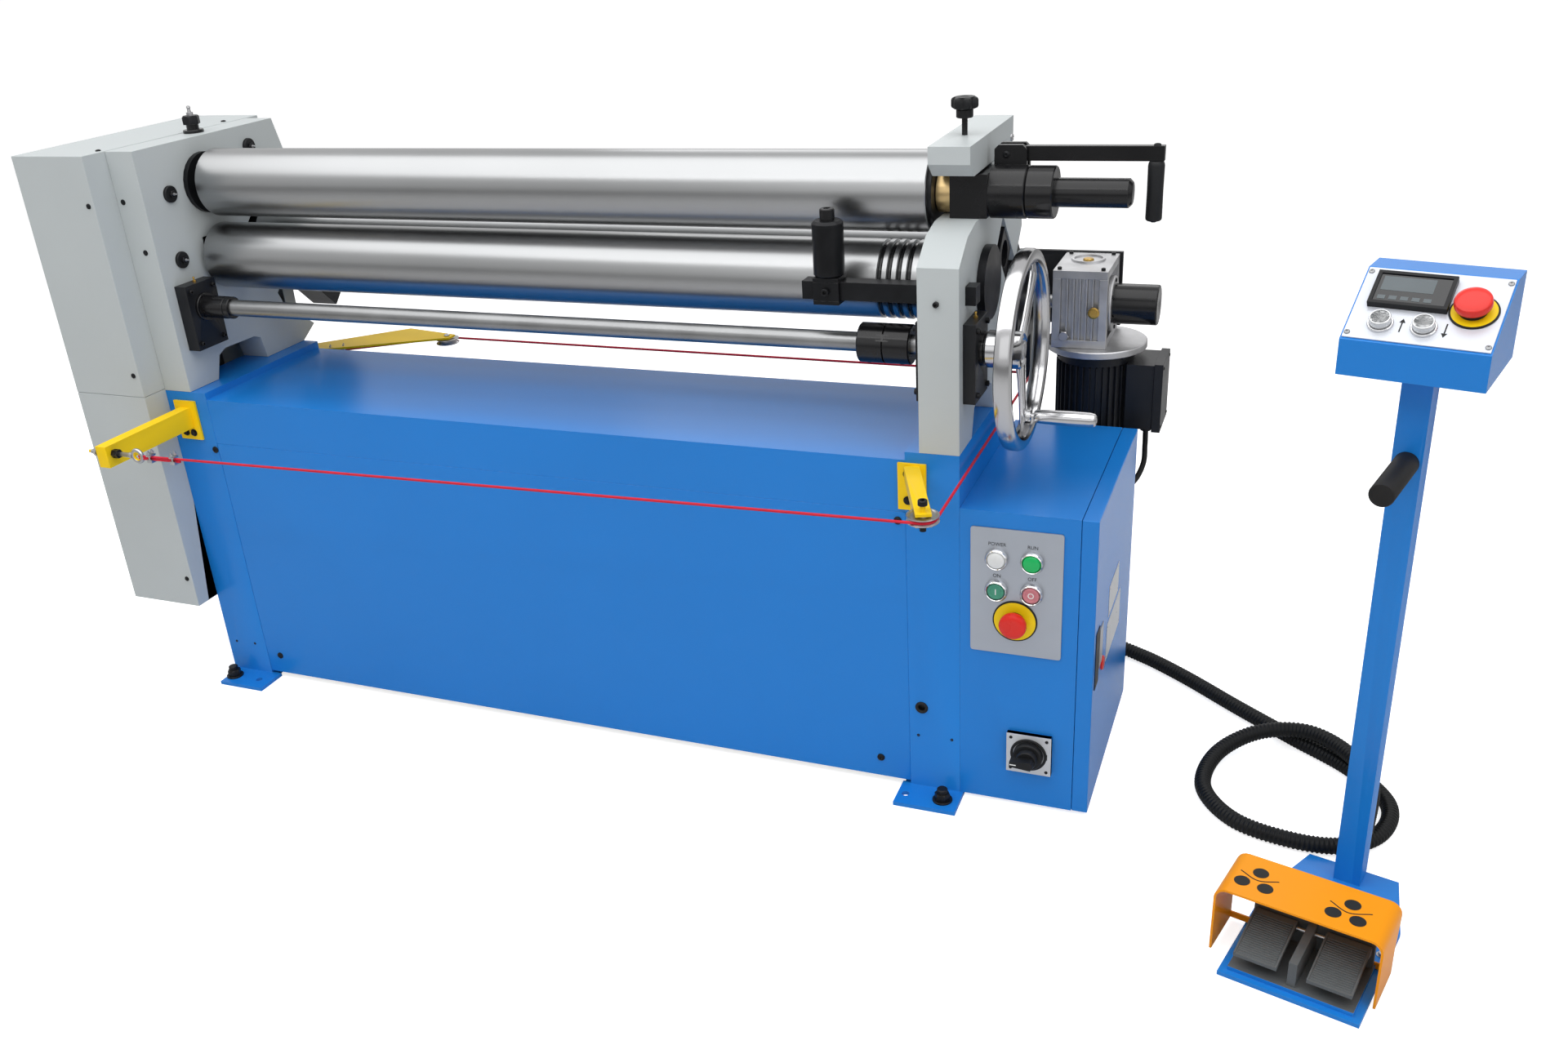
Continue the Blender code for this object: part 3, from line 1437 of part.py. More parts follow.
def rear_carriage(name, low_x, high_x):
    half = SLIDE_HALF_WIDTH
    inset = CARRIAGE_FACE_INSET
    block = slide_block(
        name,
        -SLIDE_HALF_LENGTH,
        SLIDE_HALF_LENGTH,
        -half,
        half,
        low_x + inset,
        high_x - inset,
    )
    middle = (low_x + high_x) / 2
    start = (middle, *along_slide(SLIDE_HALF_LENGTH * 3 / 4, 0))
    end = (middle, *along_slide(SCREW_REACH, 0))
    join(block, rod(f"{name} screw", start, end, SCREW_RADIUS, SMALL_SIDES, tool=True))
    bore = journal_bore(f"{name} bore", REAR_ROLL_Y, REAR_ROLL_Z, low_x, high_x)
    return finish(pivot(cut(block, bore), (middle, REAR_ROLL_Y, REAR_ROLL_Z)), "black steel")


def jack(name, low_x, high_x):
    near = SLANT_FACE_DISTANCE + GAP
    case = slide_block(name, near, near + JACK_LENGTH, -JACK_BELOW, JACK_ABOVE, low_x, high_x)
    middle = (low_x + high_x) / 2
    screw_bore = rod(
        f"{name} screw bore",
        (middle, *along_slide(near - OVERRUN, 0)),
        (middle, *along_slide(near + JACK_LENGTH + OVERRUN, 0)),
        SCREW_RADIUS + GAP,
        SMALL_SIDES,
        tool=True,
    )
    shaft_bore = journal_bore(
        f"{name} shaft bore",
        *along_slide(CROSS_SHAFT_DISTANCE, CROSS_SHAFT_OFFSET),
        low_x - OVERRUN,
        high_x + OVERRUN,
        CROSS_SHAFT_RADIUS + GAP,
    )
    return finish(cut(case, screw_bore, shaft_bore), "black steel")


CROSS_Y, CROSS_Z = along_slide(CROSS_SHAFT_DISTANCE, CROSS_SHAFT_OFFSET)
REDUCER_LEFT = RIGHT_OUTER + REDUCER_X
REDUCER_RIGHT = REDUCER_LEFT + REDUCER_WIDTH
MOTOR_X = (REDUCER_LEFT + REDUCER_RIGHT) / 2 + LIFT_MOTOR_SHIFT
TURN_X = ROLLS_RIGHT_X + FRONT_PULLEY_X + PULLEY_GROOVE_RADIUS


def rear_cross_shaft():
    start = (LEFT_OUTER - CROSS_SHAFT_OVERHANG, CROSS_Y, CROSS_Z)
    end = (REDUCER_LEFT + REDUCER_WIDTH / 2, CROSS_Y, CROSS_Z)
    return finish(rod("rear_cross_shaft", start, end, CROSS_SHAFT_RADIUS, SMALL_SIDES), "ground steel")


def gear_reducer():
    case = box(
        "gear_reducer",
        (REDUCER_LEFT, CROSS_Y - REDUCER_FRONT, REDUCER_LOW_Z),
        (REDUCER_RIGHT, CROSS_Y + REDUCER_BACK, REDUCER_HIGH_Z),
    )
    neck_end = REDUCER_RIGHT + REDUCER_NECK_LENGTH
    neck = rod(
        "reducer neck",
        (REDUCER_RIGHT - OVERRUN, CROSS_Y, CROSS_Z),
        (neck_end + OVERRUN, CROSS_Y, CROSS_Z),
        REDUCER_NECK_RADIUS,
        tool=True,
    )
    boss = rod(
        "reducer boss",
        (neck_end, CROSS_Y, CROSS_Z),
        (neck_end + REDUCER_BOSS_LENGTH, CROSS_Y, CROSS_Z),
        REDUCER_BOSS_RADIUS,
        tool=True,
    )
    bore = journal_bore(
        "reducer bore",
        CROSS_Y,
        CROSS_Z,
        REDUCER_LEFT - OVERRUN,
        REDUCER_LEFT + REDUCER_WIDTH / 2 + GAP,
        CROSS_SHAFT_RADIUS + GAP,
    )
    middle = (REDUCER_LEFT + REDUCER_RIGHT) / 2
    recess = rod(
        "reducer recess",
        (middle, CROSS_Y, REDUCER_HIGH_Z - OVERRUN / 2),
        (middle, CROSS_Y, REDUCER_HIGH_Z + OVERRUN),
        REDUCER_WIDTH / 3,
        tool=True,
    )
    return finish(cut(join(case, neck, boss), bore, recess), "cast aluminium")


def lift_motor():
    top = REDUCER_LOW_Z - GAP
    under = top - FLANGE_THICKNESS
    bottom = under - LIFT_MOTOR_LENGTH
    edge = LIFT_MOTOR_RADIUS / 8
    profile = [
        (bottom, LIFT_MOTOR_RADIUS - edge),
        (bottom + edge, LIFT_MOTOR_RADIUS),
        (under, LIFT_MOTOR_RADIUS),
        (under, FLANGE_RADIUS),
        (top, FLANGE_RADIUS),
    ]
    motor = turned("lift_motor", (MOTOR_X, CROSS_Y, 0), (0, 0, 1), profile)
    terminal = box(
        "terminal box",
        (MOTOR_X, CROSS_Y - TERMINAL_HALF_WIDTH, TERMINAL_LOW_Z),
        (MOTOR_X + TERMINAL_REACH, CROSS_Y + TERMINAL_HALF_WIDTH, TERMINAL_HIGH_Z),
        tool=True,
    )
    return finish(join(motor, terminal), "black steel")


def reducer_bracket():
    face = CROSS_Y + REDUCER_BACK + GAP
    back = face + BRACKET_PLATE
    left = RIGHT_OUTER + GAP
    plate = box(
        "reducer_bracket",
        (RIGHT_OUTER + BRACKET_LEFT, face, BRACKET_LOW_Z),
        (RIGHT_OUTER + BRACKET_RIGHT, back, BRACKET_HIGH_Z),
    )
    flange = box(
        "bracket flange",
        (left, AXIS + BRACKET_FLANGE_FRONT, BRACKET_FLANGE_LOW_Z),
        (left + BRACKET_PLATE, back - SLIDE_GAP, BRACKET_FLANGE_HIGH_Z),
        tool=True,
    )
    turn_y = AXIS + REAR_TURN_Y
    post_y = turn_y - REAR_TURN_RADIUS / 2
    post_x = TURN_X - REAR_TURN_RADIUS / 2
    tab_low = WIRE_Z + PULLEY_HALF_WIDTH * 2
    tab = box(
        "wire tab",
        (post_x - PIN_RADIUS, post_y - OVERRUN, tab_low),
        (left + BRACKET_PLATE - SLIDE_GAP, post_y + OVERRUN, BRACKET_FLANGE_LOW_Z + OVERRUN),
        tool=True,
    )
    post = rod(
        "wire post",
        (post_x, post_y, WIRE_Z - PULLEY_HALF_WIDTH * 2),
        (post_x, post_y, tab_low + OVERRUN / 2),
        PIN_RADIUS - GAP,
        SMALL_SIDES,
        tool=True,
    )
    hole = journal_bore(
        "bracket hole",
        CROSS_Y,
        CROSS_Z,
        left - OVERRUN,
        left + BRACKET_PLATE + OVERRUN,
        CROSS_SHAFT_RADIUS + OVERRUN / 4,
    )
    return finish(cut(join(plate, flange, tab, post), hole), "black steel")


def foot_plate(name, left, width):
    plate = box(
        name,
        (left, AXIS - FOOT_FRONT, 0),
        (left + width, AXIS + FOOT_BACK, FOOT_THICKNESS),
        tool=True,
    )
    return plate


def base_cabinet():
    left_column = (LEFT_OUTER, LEFT_OUTER + COLUMN_WIDTH)
    right_column = (RIGHT_OUTER - RIGHT_COLUMN_WIDTH, RIGHT_OUTER)
    low_z, high_z = FOOT_THICKNESS / 2, FRAME_FOOT_Z - GAP
    body = box(
        "base_cabinet",
        (left_column[0], FRONT, low_z),
        (left_column[1], AXIS + COLUMN_BACK, high_z),
    )
    join(
        body,
        box(
            "right column",
            (right_column[0], FRONT, low_z),
            (right_column[1], AXIS + COLUMN_BACK, high_z),
            tool=True,
        ),
    )
    join(
        body,
        box(
            "table",
            (left_column[1] - OVERRUN, FRONT + SLIDE_GAP, APRON_LOW_Z),
            (right_column[0] + OVERRUN, AXIS + TABLE_BACK, TABLE_TOP_Z),
            tool=True,
        ),
        box(
            "back wall",
            (left_column[1] - OVERRUN, AXIS + TABLE_BACK - SHEET, PANEL_LOW_Z),
            (right_column[0] + OVERRUN, AXIS + TABLE_BACK - SLIDE_GAP, APRON_LOW_Z + OVERRUN),
            tool=True,
        ),
        foot_plate("left foot", left_column[0] + FOOT_INSET, FOOT_WIDTH),
        foot_plate("right foot", right_column[0] - RIGHT_FOOT_INSET, RIGHT_FOOT_WIDTH),
    )
    rooms = [
        ("left room", (left_column[0] + SHEET, left_column[1] - SHEET), high_z),
        ("right room", (right_column[0] + SHEET, right_column[1] - SHEET), high_z),
        ("table room", (left_column[1] + OVERRUN, right_column[0] - OVERRUN), TABLE_TOP_Z),
    ]
    for name, (low_x, high_x), top in rooms:
        room = box(
            name,
            (low_x, FRONT + SHEET, -OVERRUN),
            (high_x, AXIS + TABLE_BACK - SHEET * 2, top - SHEET),
            tool=True,
        )
        cut(body, room)
    hole_x = RIGHT_OUTER - CABLE_HOLE_INSET
    cut(
        body,
        rod(
            "cable hole",
            (hole_x, FRONT - OVERRUN, CABLE_HOLE_Z),
            (hole_x, FRONT + SHEET * 2, CABLE_HOLE_Z),
            CABLE_HOLE_RADIUS,
            SMALL_SIDES,
            tool=True,
        ),
    )
    feet = [
        (left_column[0] + FOOT_INSET, FOOT_WIDTH, 1),
        (right_column[0] - RIGHT_FOOT_INSET, RIGHT_FOOT_WIDTH, -1),
    ]
    for number, (left, width, side) in enumerate(feet):
        bolt_x = left + BOLT_EDGE / 2 if side > 0 else left + width - BOLT_EDGE
        hole_x = left + width - BOLT_EDGE if side > 0 else left + BOLT_EDGE / 2
        for end, y in enumerate((AXIS - FOOT_FRONT + BOLT_EDGE, AXIS + FOOT_BACK - BOLT_EDGE)):
            join(
                body,
                rod(
                    f"foot bolt {number} {end}",
                    (bolt_x, y, FOOT_THICKNESS / 2),
                    (bolt_x, y, FOOT_THICKNESS + BOLT_HEAD_HEIGHT),
                    BOLT_RADIUS,
                    SMALL_SIDES // 2,
                    tool=True,
                ),
            )
            cut(
                body,
                rod(
                    f"foot hole {number} {end}",
                    (hole_x, y, -OVERRUN),
                    (hole_x, y, OVERRUN),
                    FREE_HOLE_RADIUS,
                    SMALL_SIDES,
                    tool=True,
                ),
            )
    return finish(body, "blue paint")


def front_panel():
    left = LEFT_OUTER + COLUMN_WIDTH + GAP
    right = RIGHT_OUTER - RIGHT_COLUMN_WIDTH - GAP
    low = (left, FRONT, PANEL_LOW_Z)
    high = (right, FRONT + PANEL_THICKNESS, APRON_LOW_Z - GAP)
    return finish(box("front_panel", low, high), "blue paint")


def control_bore(name, x, z, radius, depth=OVERRUN * 2):
    """A hole along Y through the plate and the front of the box."""
    y = FRONT - PLATE_THICKNESS - BEZEL_DEPTH - OVERRUN
    return rod(name, (x, y, z), (x, FRONT + depth, z), radius, SMALL_SIDES, tool=True)


BUTTON_PLACES = {
    "start_button": (BOX_LEFT + BUTTON_LEFT, BUTTON_Z),
    "stop_button": (BOX_LEFT + BUTTON_RIGHT, BUTTON_Z),
}
LAMP_PLACES = ((BOX_LEFT + BUTTON_LEFT, LAMP_Z), (BOX_LEFT + BUTTON_RIGHT, LAMP_Z))
STOP_PLACE = (BOX_LEFT + STOP_X, STOP_Z)
SWITCH_PLACE = (BOX_LEFT + SWITCH_X, SWITCH_Z)


def electrical_box():
    low = (BOX_LEFT, FRONT, BOX_LOW)
    high = (BOX_RIGHT, BOX_BACK_FACE, BOX_TOP)
    shell = box("electrical_box", low, high)
    room = box(
        "box room",
        (low[0] + BOX_SHEET, low[1] + BOX_SHEET, low[2] + BOX_SHEET),
        (high[0] + OVERRUN, high[1] - BOX_SHEET, high[2] - BOX_SHEET),
        tool=True,
    )
    cut(shell, room)
    for name, (x, z) in BUTTON_PLACES.items():
        cut(shell, control_bore(f"box hole {name}", x, z, BUTTON_RADIUS + SLIDE_GAP))
    cut(shell, control_bore("box hole stop", *STOP_PLACE, MUSHROOM_NECK_RADIUS + SLIDE_GAP))
    x, z = SWITCH_PLACE
    plate_low = (x - SWITCH_HALF, FRONT - GAP - SWITCH_PLATE, z - SWITCH_HALF)
    plate_high = (x + SWITCH_HALF, FRONT + BOX_SHEET / 2, z + SWITCH_HALF)
    join(shell, box("switch plate", plate_low, plate_high, tool=True))
    cut(shell, control_bore("box hole switch", *SWITCH_PLACE, MUSHROOM_NECK_RADIUS / 2 + GAP))
    gland_x = RIGHT_OUTER + HOSE_EXIT_X
    gland_start = BOX_BACK_FACE - BOX_SHEET / 2
    gland = rod(
        "gland",
        (gland_x, gland_start, HOSE_EXIT_Z),
        (gland_x, BOX_BACK_FACE + HOSE_EXIT_DEPTH, HOSE_EXIT_Z),
        HOSE_RADIUS * 5 / 4,
        SMALL_SIDES,
        tool=True,
    )
    gland_bore = rod(
        "gland bore",
        (gland_x, gland_start - OVERRUN, HOSE_EXIT_Z),
        (gland_x, BOX_BACK_FACE + HOSE_EXIT_DEPTH * 2, HOSE_EXIT_Z),
        HOSE_BORE,
        SMALL_SIDES,
        tool=True,
    )
    return finish(cut(join(shell, gland), gland_bore), "blue paint")


def box_door():
    low = (DOOR_LEFT, FRONT, BOX_LOW)
    high = (DOOR_RIGHT, BOX_BACK_FACE, BOX_TOP)
    door = box("box_door", low, high)
    inner = BOX_SHEET * 2
    room = box(
        "door room",
        (low[0] - OVERRUN, low[1] + inner, low[2] + inner),
        (high[0] - inner, high[1] - inner, high[2] - inner),
        tool=True,
    )
    return finish(pivot(cut(door, room), (DOOR_RIGHT, BOX_BACK_FACE, BOX_LOW)), "blue paint")


def control_plate():
    face = FRONT - GAP
    plate = box(
        "control_plate",
        (BOX_LEFT + PLATE_LEFT, face - PLATE_THICKNESS, PLATE_LOW_Z),
        (BOX_LEFT + PLATE_LEFT + PLATE_WIDTH, face, PLATE_HIGH_Z),
    )
    front = face - PLATE_THICKNESS
    inside = face - PLATE_THICKNESS / 2
    for number, (x, z) in enumerate((*LAMP_PLACES, *BUTTON_PLACES.values())):
        join(
            plate,
            rod(
                f"bezel {number}",
                (x, inside, z),
                (x, front - BEZEL_DEPTH, z),
                BEZEL_RADIUS,
                SMALL_SIDES,
                tool=True,
            ),
        )
    x, z = STOP_PLACE
    join(
        plate,
        rod("stop disc", (x, inside, z), (x, front - STOP_DISC_DEPTH, z), STOP_DISC_RADIUS, tool=True),
    )
    for name, (x, z) in BUTTON_PLACES.items():
        cut(plate, control_bore(f"plate hole {name}", x, z, BUTTON_RADIUS + GAP))
    cut(plate, control_bore("plate hole stop", *STOP_PLACE, MUSHROOM_NECK_RADIUS + GAP))
    for number, (x, z) in enumerate(LAMP_PLACES):
        lens_low = front - BEZEL_DEPTH / 2
        join(
            plate,
            rod(
                f"lamp {number}",
                (x, lens_low, z),
                (x, front - BEZEL_DEPTH - BUTTON_TRAVEL / 2, z),
                BUTTON_RADIUS,
                SMALL_SIDES,
                tool=True,
            ),
        )
    return finish(plate, "grey plate")


def push_button(name, finish_name):
    x, z = BUTTON_PLACES[name]
    front = FRONT - GAP - PLATE_THICKNESS - BUTTON_PROUD
    back = FRONT + BUTTON_STEM / 2
    return finish(rod(name, (x, front, z), (x, back, z), BUTTON_RADIUS, SMALL_SIDES), finish_name)


def mushroom(name, place, axis):
    """A mushroom button along an axis that points out of its plate; place is on the plate's face."""
    rise = MUSHROOM_NECK + STOP_DISC_DEPTH
    edge = MUSHROOM_HEIGHT / 3
    profile = [
        (-BUTTON_STEM / 2, MUSHROOM_NECK_RADIUS),
        (rise, MUSHROOM_NECK_RADIUS),
        (rise, MUSHROOM_RADIUS),
        (rise + MUSHROOM_HEIGHT - edge, MUSHROOM_RADIUS),
        (rise + MUSHROOM_HEIGHT, MUSHROOM_RADIUS - edge * 2),
    ]
    return finish(turned(name, place, axis, profile, sides=SMALL_SIDES), "red plastic")


def main_switch():
    x, z = SWITCH_PLACE
    front = FRONT - GAP - SWITCH_PLATE
    knob = rod(
        "main_switch",
        (x, front - GAP, z),
        (x, front - SWITCH_KNOB_DEPTH, z),
        SWITCH_KNOB_RADIUS,
    )
    low = (
        x - SWITCH_BAR_HALF_LENGTH,
        front - SWITCH_KNOB_DEPTH - SWITCH_BAR_DEPTH,
        z - SWITCH_BAR_WIDTH / 2,
    )
    high = (x + SWITCH_BAR_HALF_LENGTH, front - SWITCH_KNOB_DEPTH / 2, z + SWITCH_BAR_WIDTH / 2)
    bar = box("switch bar", low, high, tool=True)
    stem = rod(
        "switch stem",
        (x, front - OVERRUN, z),
        (x, FRONT + BOX_SHEET * 3, z),
        MUSHROOM_NECK_RADIUS / 2,
        SMALL_SIDES,
        tool=True,
    )
    return finish(join(knob, bar, stem), "black plastic")


def fork(thing, name, centre, width):
    """Cuts a pulley's slot in an arm and puts its pin in; centre is the pulley's."""
    x, y, z = centre
    reach = PULLEY_RADIUS + PULLEY_HALF_WIDTH
    half = PULLEY_HALF_WIDTH + SLIDE_GAP
    slot = rod(f"{name} slot", (x, y, z - half), (x, y, z + half), reach, SMALL_SIDES, tool=True)
    height = half + ARM_SHEET
    pin = rod(
        f"{name} pin",
        (x, y, z - height * 2),
        (x, y, z + height * 2),
        PIN_RADIUS,
        SMALL_SIDES,
        tool=True,
    )
    return join(cut(thing, slot), pin)


FRONT_PULLEY = (ROLLS_RIGHT_X + FRONT_PULLEY_X, AXIS + FRONT_PULLEY_Y, WIRE_Z)
REAR_PULLEY = (ROLL_LEFT_X + REAR_PULLEY_X, AXIS + REAR_PULLEY_Y, WIRE_Z)


def pulley(name, place):
    half, groove = PULLEY_HALF_WIDTH, PULLEY_GROOVE_RADIUS
    lip = half * 3 / 4
    lift = WIRE_RADIUS + GAP
    floor = groove - lift
    outer = [(-half, PULLEY_RADIUS), (-lip, PULLEY_RADIUS), (-lift, floor)]
    outer += [(lift, floor), (lip, PULLEY_RADIUS), (half, PULLEY_RADIUS)]
    bore = [(-half, PULLEY_BORE), (half, PULLEY_BORE)]
    return finish(turned(name, place, (0, 0, 1), outer, bore, SMALL_SIDES), "chrome")


def left_wire_bracket():
    left = ROLL_LEFT_X
    face = FRONT - GAP
    plate = box(
        "left_wire_bracket",
        (left + PLATE_A_LEFT, face - ARM_SHEET, PLATE_A_LOW_Z),
        (left + PLATE_A_RIGHT, face, PLATE_A_HIGH_Z),
    )
    x = left + LEFT_ARM_X
    arm = box(
        "left arm",
        (x - ARM_HALF_WIDTH, AXIS - LEFT_ARM_REACH, ARM_LOW_Z),
        (x + ARM_HALF_WIDTH, face - ARM_SHEET / 2, ARM_HIGH_Z),
        tool=True,
    )
    room = box(
        "left arm room",
        (x - ARM_HALF_WIDTH + ARM_SHEET, AXIS - LEFT_ARM_REACH + ARM_SHEET, ARM_LOW_Z - OVERRUN),
        (x + ARM_HALF_WIDTH - ARM_SHEET, face - ARM_SHEET, ARM_HIGH_Z - ARM_SHEET),
        tool=True,
    )
    y = AXIS - LEFT_ARM_REACH + EYE_INSET
    shank = rod(
        "eye shank",
        (left + EYE_SHANK_LEFT, y, EYE_Z),
        (left + EYE_X - EYE_RING_RADIUS, y, EYE_Z),
        EYE_SHANK_RADIUS,
        SMALL_SIDES // 2,
        tool=True,
    )
    thick = EYE_WIRE_RADIUS
    outer = ring_arc(thick, 0, EYE_RING_RADIUS, -90, 90, 5)
    inner = ring_arc(thick, 0, EYE_RING_RADIUS, 270, 90, 5)[1:-1]
    ring = turned("eye ring", (left + EYE_X, y, EYE_Z), (0, 1, 0), outer, inner, SMALL_SIDES, tool=True)
    return finish(join(cut(join(plate, arm), room), shank, ring), "yellow paint")


def arm_corners(start, end, half):
    """The four corners of a straight arm between two points, in X and Y."""
    start, end = Vector(start), Vector(end)
    side = (end - start).normalized().orthogonal() * half
    tip = (end - start).normalized() * half
    return [tuple(start - side), tuple(end + tip - side), tuple(end + tip + side), tuple(start + side)]


def right_wire_bracket():
    face = FRONT - GAP
    left = ROLLS_RIGHT_X
    plate = box(
        "right_wire_bracket",
        (left + PLATE_B_LEFT, face - ARM_SHEET, PLATE_A_LOW_Z),
        (left + PLATE_B_RIGHT, face, PLATE_A_HIGH_Z),
    )
    half = PULLEY_HALF_WIDTH + SLIDE_GAP + ARM_SHEET
    x, y, z = FRONT_PULLEY
    start_x = left + (PLATE_B_LEFT + PLATE_B_RIGHT) / 2
    arm = outline(
        "right arm",
        arm_corners((start_x, face - ARM_SHEET), (x, y), ARM_HALF_WIDTH),
        "Z",
        z - half,
        z + half,
        tool=True,
    )
    fork(arm, "front pulley", FRONT_PULLEY, ARM_HALF_WIDTH)
    return finish(join(plate, arm), "yellow paint")


def rear_wire_bracket():
    face = AXIS + COLUMN_BACK + GAP
    left = LEFT_OUTER + OVERRUN
    right = LEFT_OUTER + COLUMN_WIDTH - OVERRUN
    x, y, z = REAR_PULLEY
    top_low = z + PULLEY_HALF_WIDTH + SLIDE_GAP
    top_high = top_low + ARM_SHEET
    plate = box("rear_wire_bracket", (left, face, PLATE_A_LOW_Z), (right, face + ARM_SHEET, top_high))
    reach = PULLEY_RADIUS / 2
    top = outline(
        "rear arm",
        [
            (left + SLIDE_GAP, face + ARM_SHEET / 2),
            (right - SLIDE_GAP, face + ARM_SHEET / 2),
            (x + reach, y - reach),
            (x + reach, y + reach),
            ((x + right) / 2, y + PULLEY_RADIUS * 3 / 2),
        ],
        "Z",
        top_low,
        top_high - SLIDE_GAP / 2,
        tool=True,
    )
    pin = rod(
        "rear pin",
        (x, y, z - PULLEY_HALF_WIDTH * 2),
        (x, y, top_low + ARM_SHEET / 2),
        PIN_RADIUS,
        SMALL_SIDES,
        tool=True,
    )
    anchor = box(
        "wire anchor",
        (right - OVERRUN * 2, face + ARM_SHEET / 2, z - PULLEY_HALF_WIDTH),
        (right - SLIDE_GAP, face + ARM_SHEET + OVERRUN * 2, top_low + ARM_SHEET / 2),
        tool=True,
    )
    return finish(join(plate, top, pin, anchor), "yellow paint")


def trip_wire():
    """The wire from the eye, round the front pulley, the rear post and the rear pulley to its anchor."""
    eye_y = AXIS - LEFT_ARM_REACH + EYE_INSET
    start = (ROLL_LEFT_X + EYE_X + EYE_RING_RADIUS + EYE_WIRE_RADIUS * 2, eye_y, EYE_Z)
    turn = REAR_TURN_RADIUS / 2
    corner = (TURN_X - turn, AXIS + REAR_TURN_Y - turn)
    route = [start]
    route += [(x, y, WIRE_Z) for x, y in arc(FRONT_PULLEY[:2], PULLEY_GROOVE_RADIUS, -90, 0, 9)]
    route += [(x, y, WIRE_Z) for x, y in arc(corner, turn, 0, 90, 5)]
    route += [(x, y, WIRE_Z) for x, y in arc(REAR_PULLEY[:2], PULLEY_GROOVE_RADIUS, 90, 112, 4)]
    anchor_x = LEFT_OUTER + COLUMN_WIDTH - OVERRUN + SLIDE_GAP
    route.append((anchor_x, AXIS + COLUMN_BACK + ARM_SHEET + OVERRUN, WIRE_Z))
    return finish(wire("trip_wire", route, WIRE_RADIUS), "red plastic")


def work_guide_bar():
    y = AXIS - GUIDE_FORWARD
    half = GUIDE_BAR / 2
    left = ROLLS_RIGHT_X - GUIDE_BAR_LEFT
    right = RIGHT_OUTER + GUIDE_BAR_OVERHANG
    return finish(
        box("work_guide_bar", (left, y - half, GUIDE_Z - half), (right, y + half, GUIDE_Z + half)),
        "black steel",
    )


def work_guide():
    x, y = ROLLS_RIGHT_X - GUIDE_POST_LEFT, AXIS - GUIDE_FORWARD
    half = GUIDE_CLAMP / 2
    middle = GUIDE_Z - GUIDE_BAR / 2 + half
    clamp_low = (x - half, y - half, GUIDE_Z - half)
    clamp = box("work_guide", clamp_low, (x + half, y + half, GUIDE_Z + half))
    post_start = (x, y, GUIDE_Z + half - SLIDE_GAP)
    post = rod(
        "guide post",
        post_start,
        (x, y, GUIDE_POST_TOP_Z),
        GUIDE_POST_RADIUS,
        SMALL_SIDES,
        tool=True,
    )
    screw = rod(
        "guide screw",
        (x, y, middle),
        (x, y, GUIDE_SCREW_TOP_Z),
        GUIDE_SCREW_RADIUS,
        SMALL_SIDES,
        tool=True,
    )
    join(clamp, post, screw)
    inner = GUIDE_BAR / 2 + GAP
    slot = box(
        "guide slot",
        (x - half - OVERRUN, y - inner, GUIDE_Z - inner),
        (x + half + OVERRUN, y + inner, GUIDE_Z + inner),
        tool=True,
    )
    return finish(cut(clamp, slot), "black steel")


def standing_frame(name, place, turn, parent=None):
    empty = bpy.data.objects.new(name, None)
    PARTS.objects.link(empty)
    empty.location = place
    empty.rotation_euler = turn
    empty.parent = parent
    return empty


def pedestal_stand():
    half = POST_SIDE / 2
    post = box("pedestal_stand", (-half, -half, 0), (half, half, POST_TOP_Z - GAP))
    wide, narrow = STAND_HALF_WIDTH, STAND_NARROW_HALF
    corners = [
        (-wide, STAND_FRONT),
        (wide, STAND_FRONT),
        (wide, STAND_CHAMFER_Y),
        (narrow, STAND_BACK),
        (-narrow, STAND_BACK),
        (-wide, STAND_CHAMFER_Y),
    ]
    plate = outline("stand plate", corners, "Z", 0, STAND_PLATE, tool=True)
    inner = half - POST_WALL
    room = box("post room", (-inner, -inner, -OVERRUN), (inner, inner, POST_TOP_Z + OVERRUN), tool=True)
    grip = rod(
        "hand grip",
        (0, -inner - POST_WALL / 2, HANDGRIP_Z),
        (0, -half - HANDGRIP_LENGTH, HANDGRIP_Z),
        HANDGRIP_RADIUS,
        SMALL_SIDES,
        tool=True,
    )
    base_low = STAND_PLATE - SLIDE_GAP
    base_high = STAND_PLATE + PEDAL_BASE_THICKNESS
    base = box(
        "pedal base",
        (-PEDAL_BASE_HALF, PEDAL_BASE_FRONT, base_low),
        (PEDAL_BASE_HALF, PEDAL_BASE_BACK, base_high),
        tool=True,
    )
    wall_half = (PEDAL_RIGHT[0] - PEDAL_LEFT[1]) / 8
    middle = (PEDAL_RIGHT[0] + PEDAL_LEFT[1]) / 2
    divider = box(
        "pedal divider",
        (middle - wall_half, PEDAL_BASE_FRONT + OVERRUN, base_low),
        (middle + wall_half, PEDAL_BASE_BACK - SLIDE_GAP, PEDAL_HINGE_Z + PEDAL_HINGE_RADIUS),
        tool=True,
    )
    join(post, plate)
    cut(post, room)
    join(post, grip, base, divider)
    hinge_reach = PEDAL_RIGHT[1]
    pin = rod(
        "pedal pin",
        (-hinge_reach, PEDAL_HINGE_Y, PEDAL_HINGE_Z),
        (hinge_reach, PEDAL_HINGE_Y, PEDAL_HINGE_Z),
        PEDAL_HINGE_RADIUS / 2,
        SMALL_SIDES // 2,
        tool=True,
    )
    return finish(join(post, pin), "blue paint")


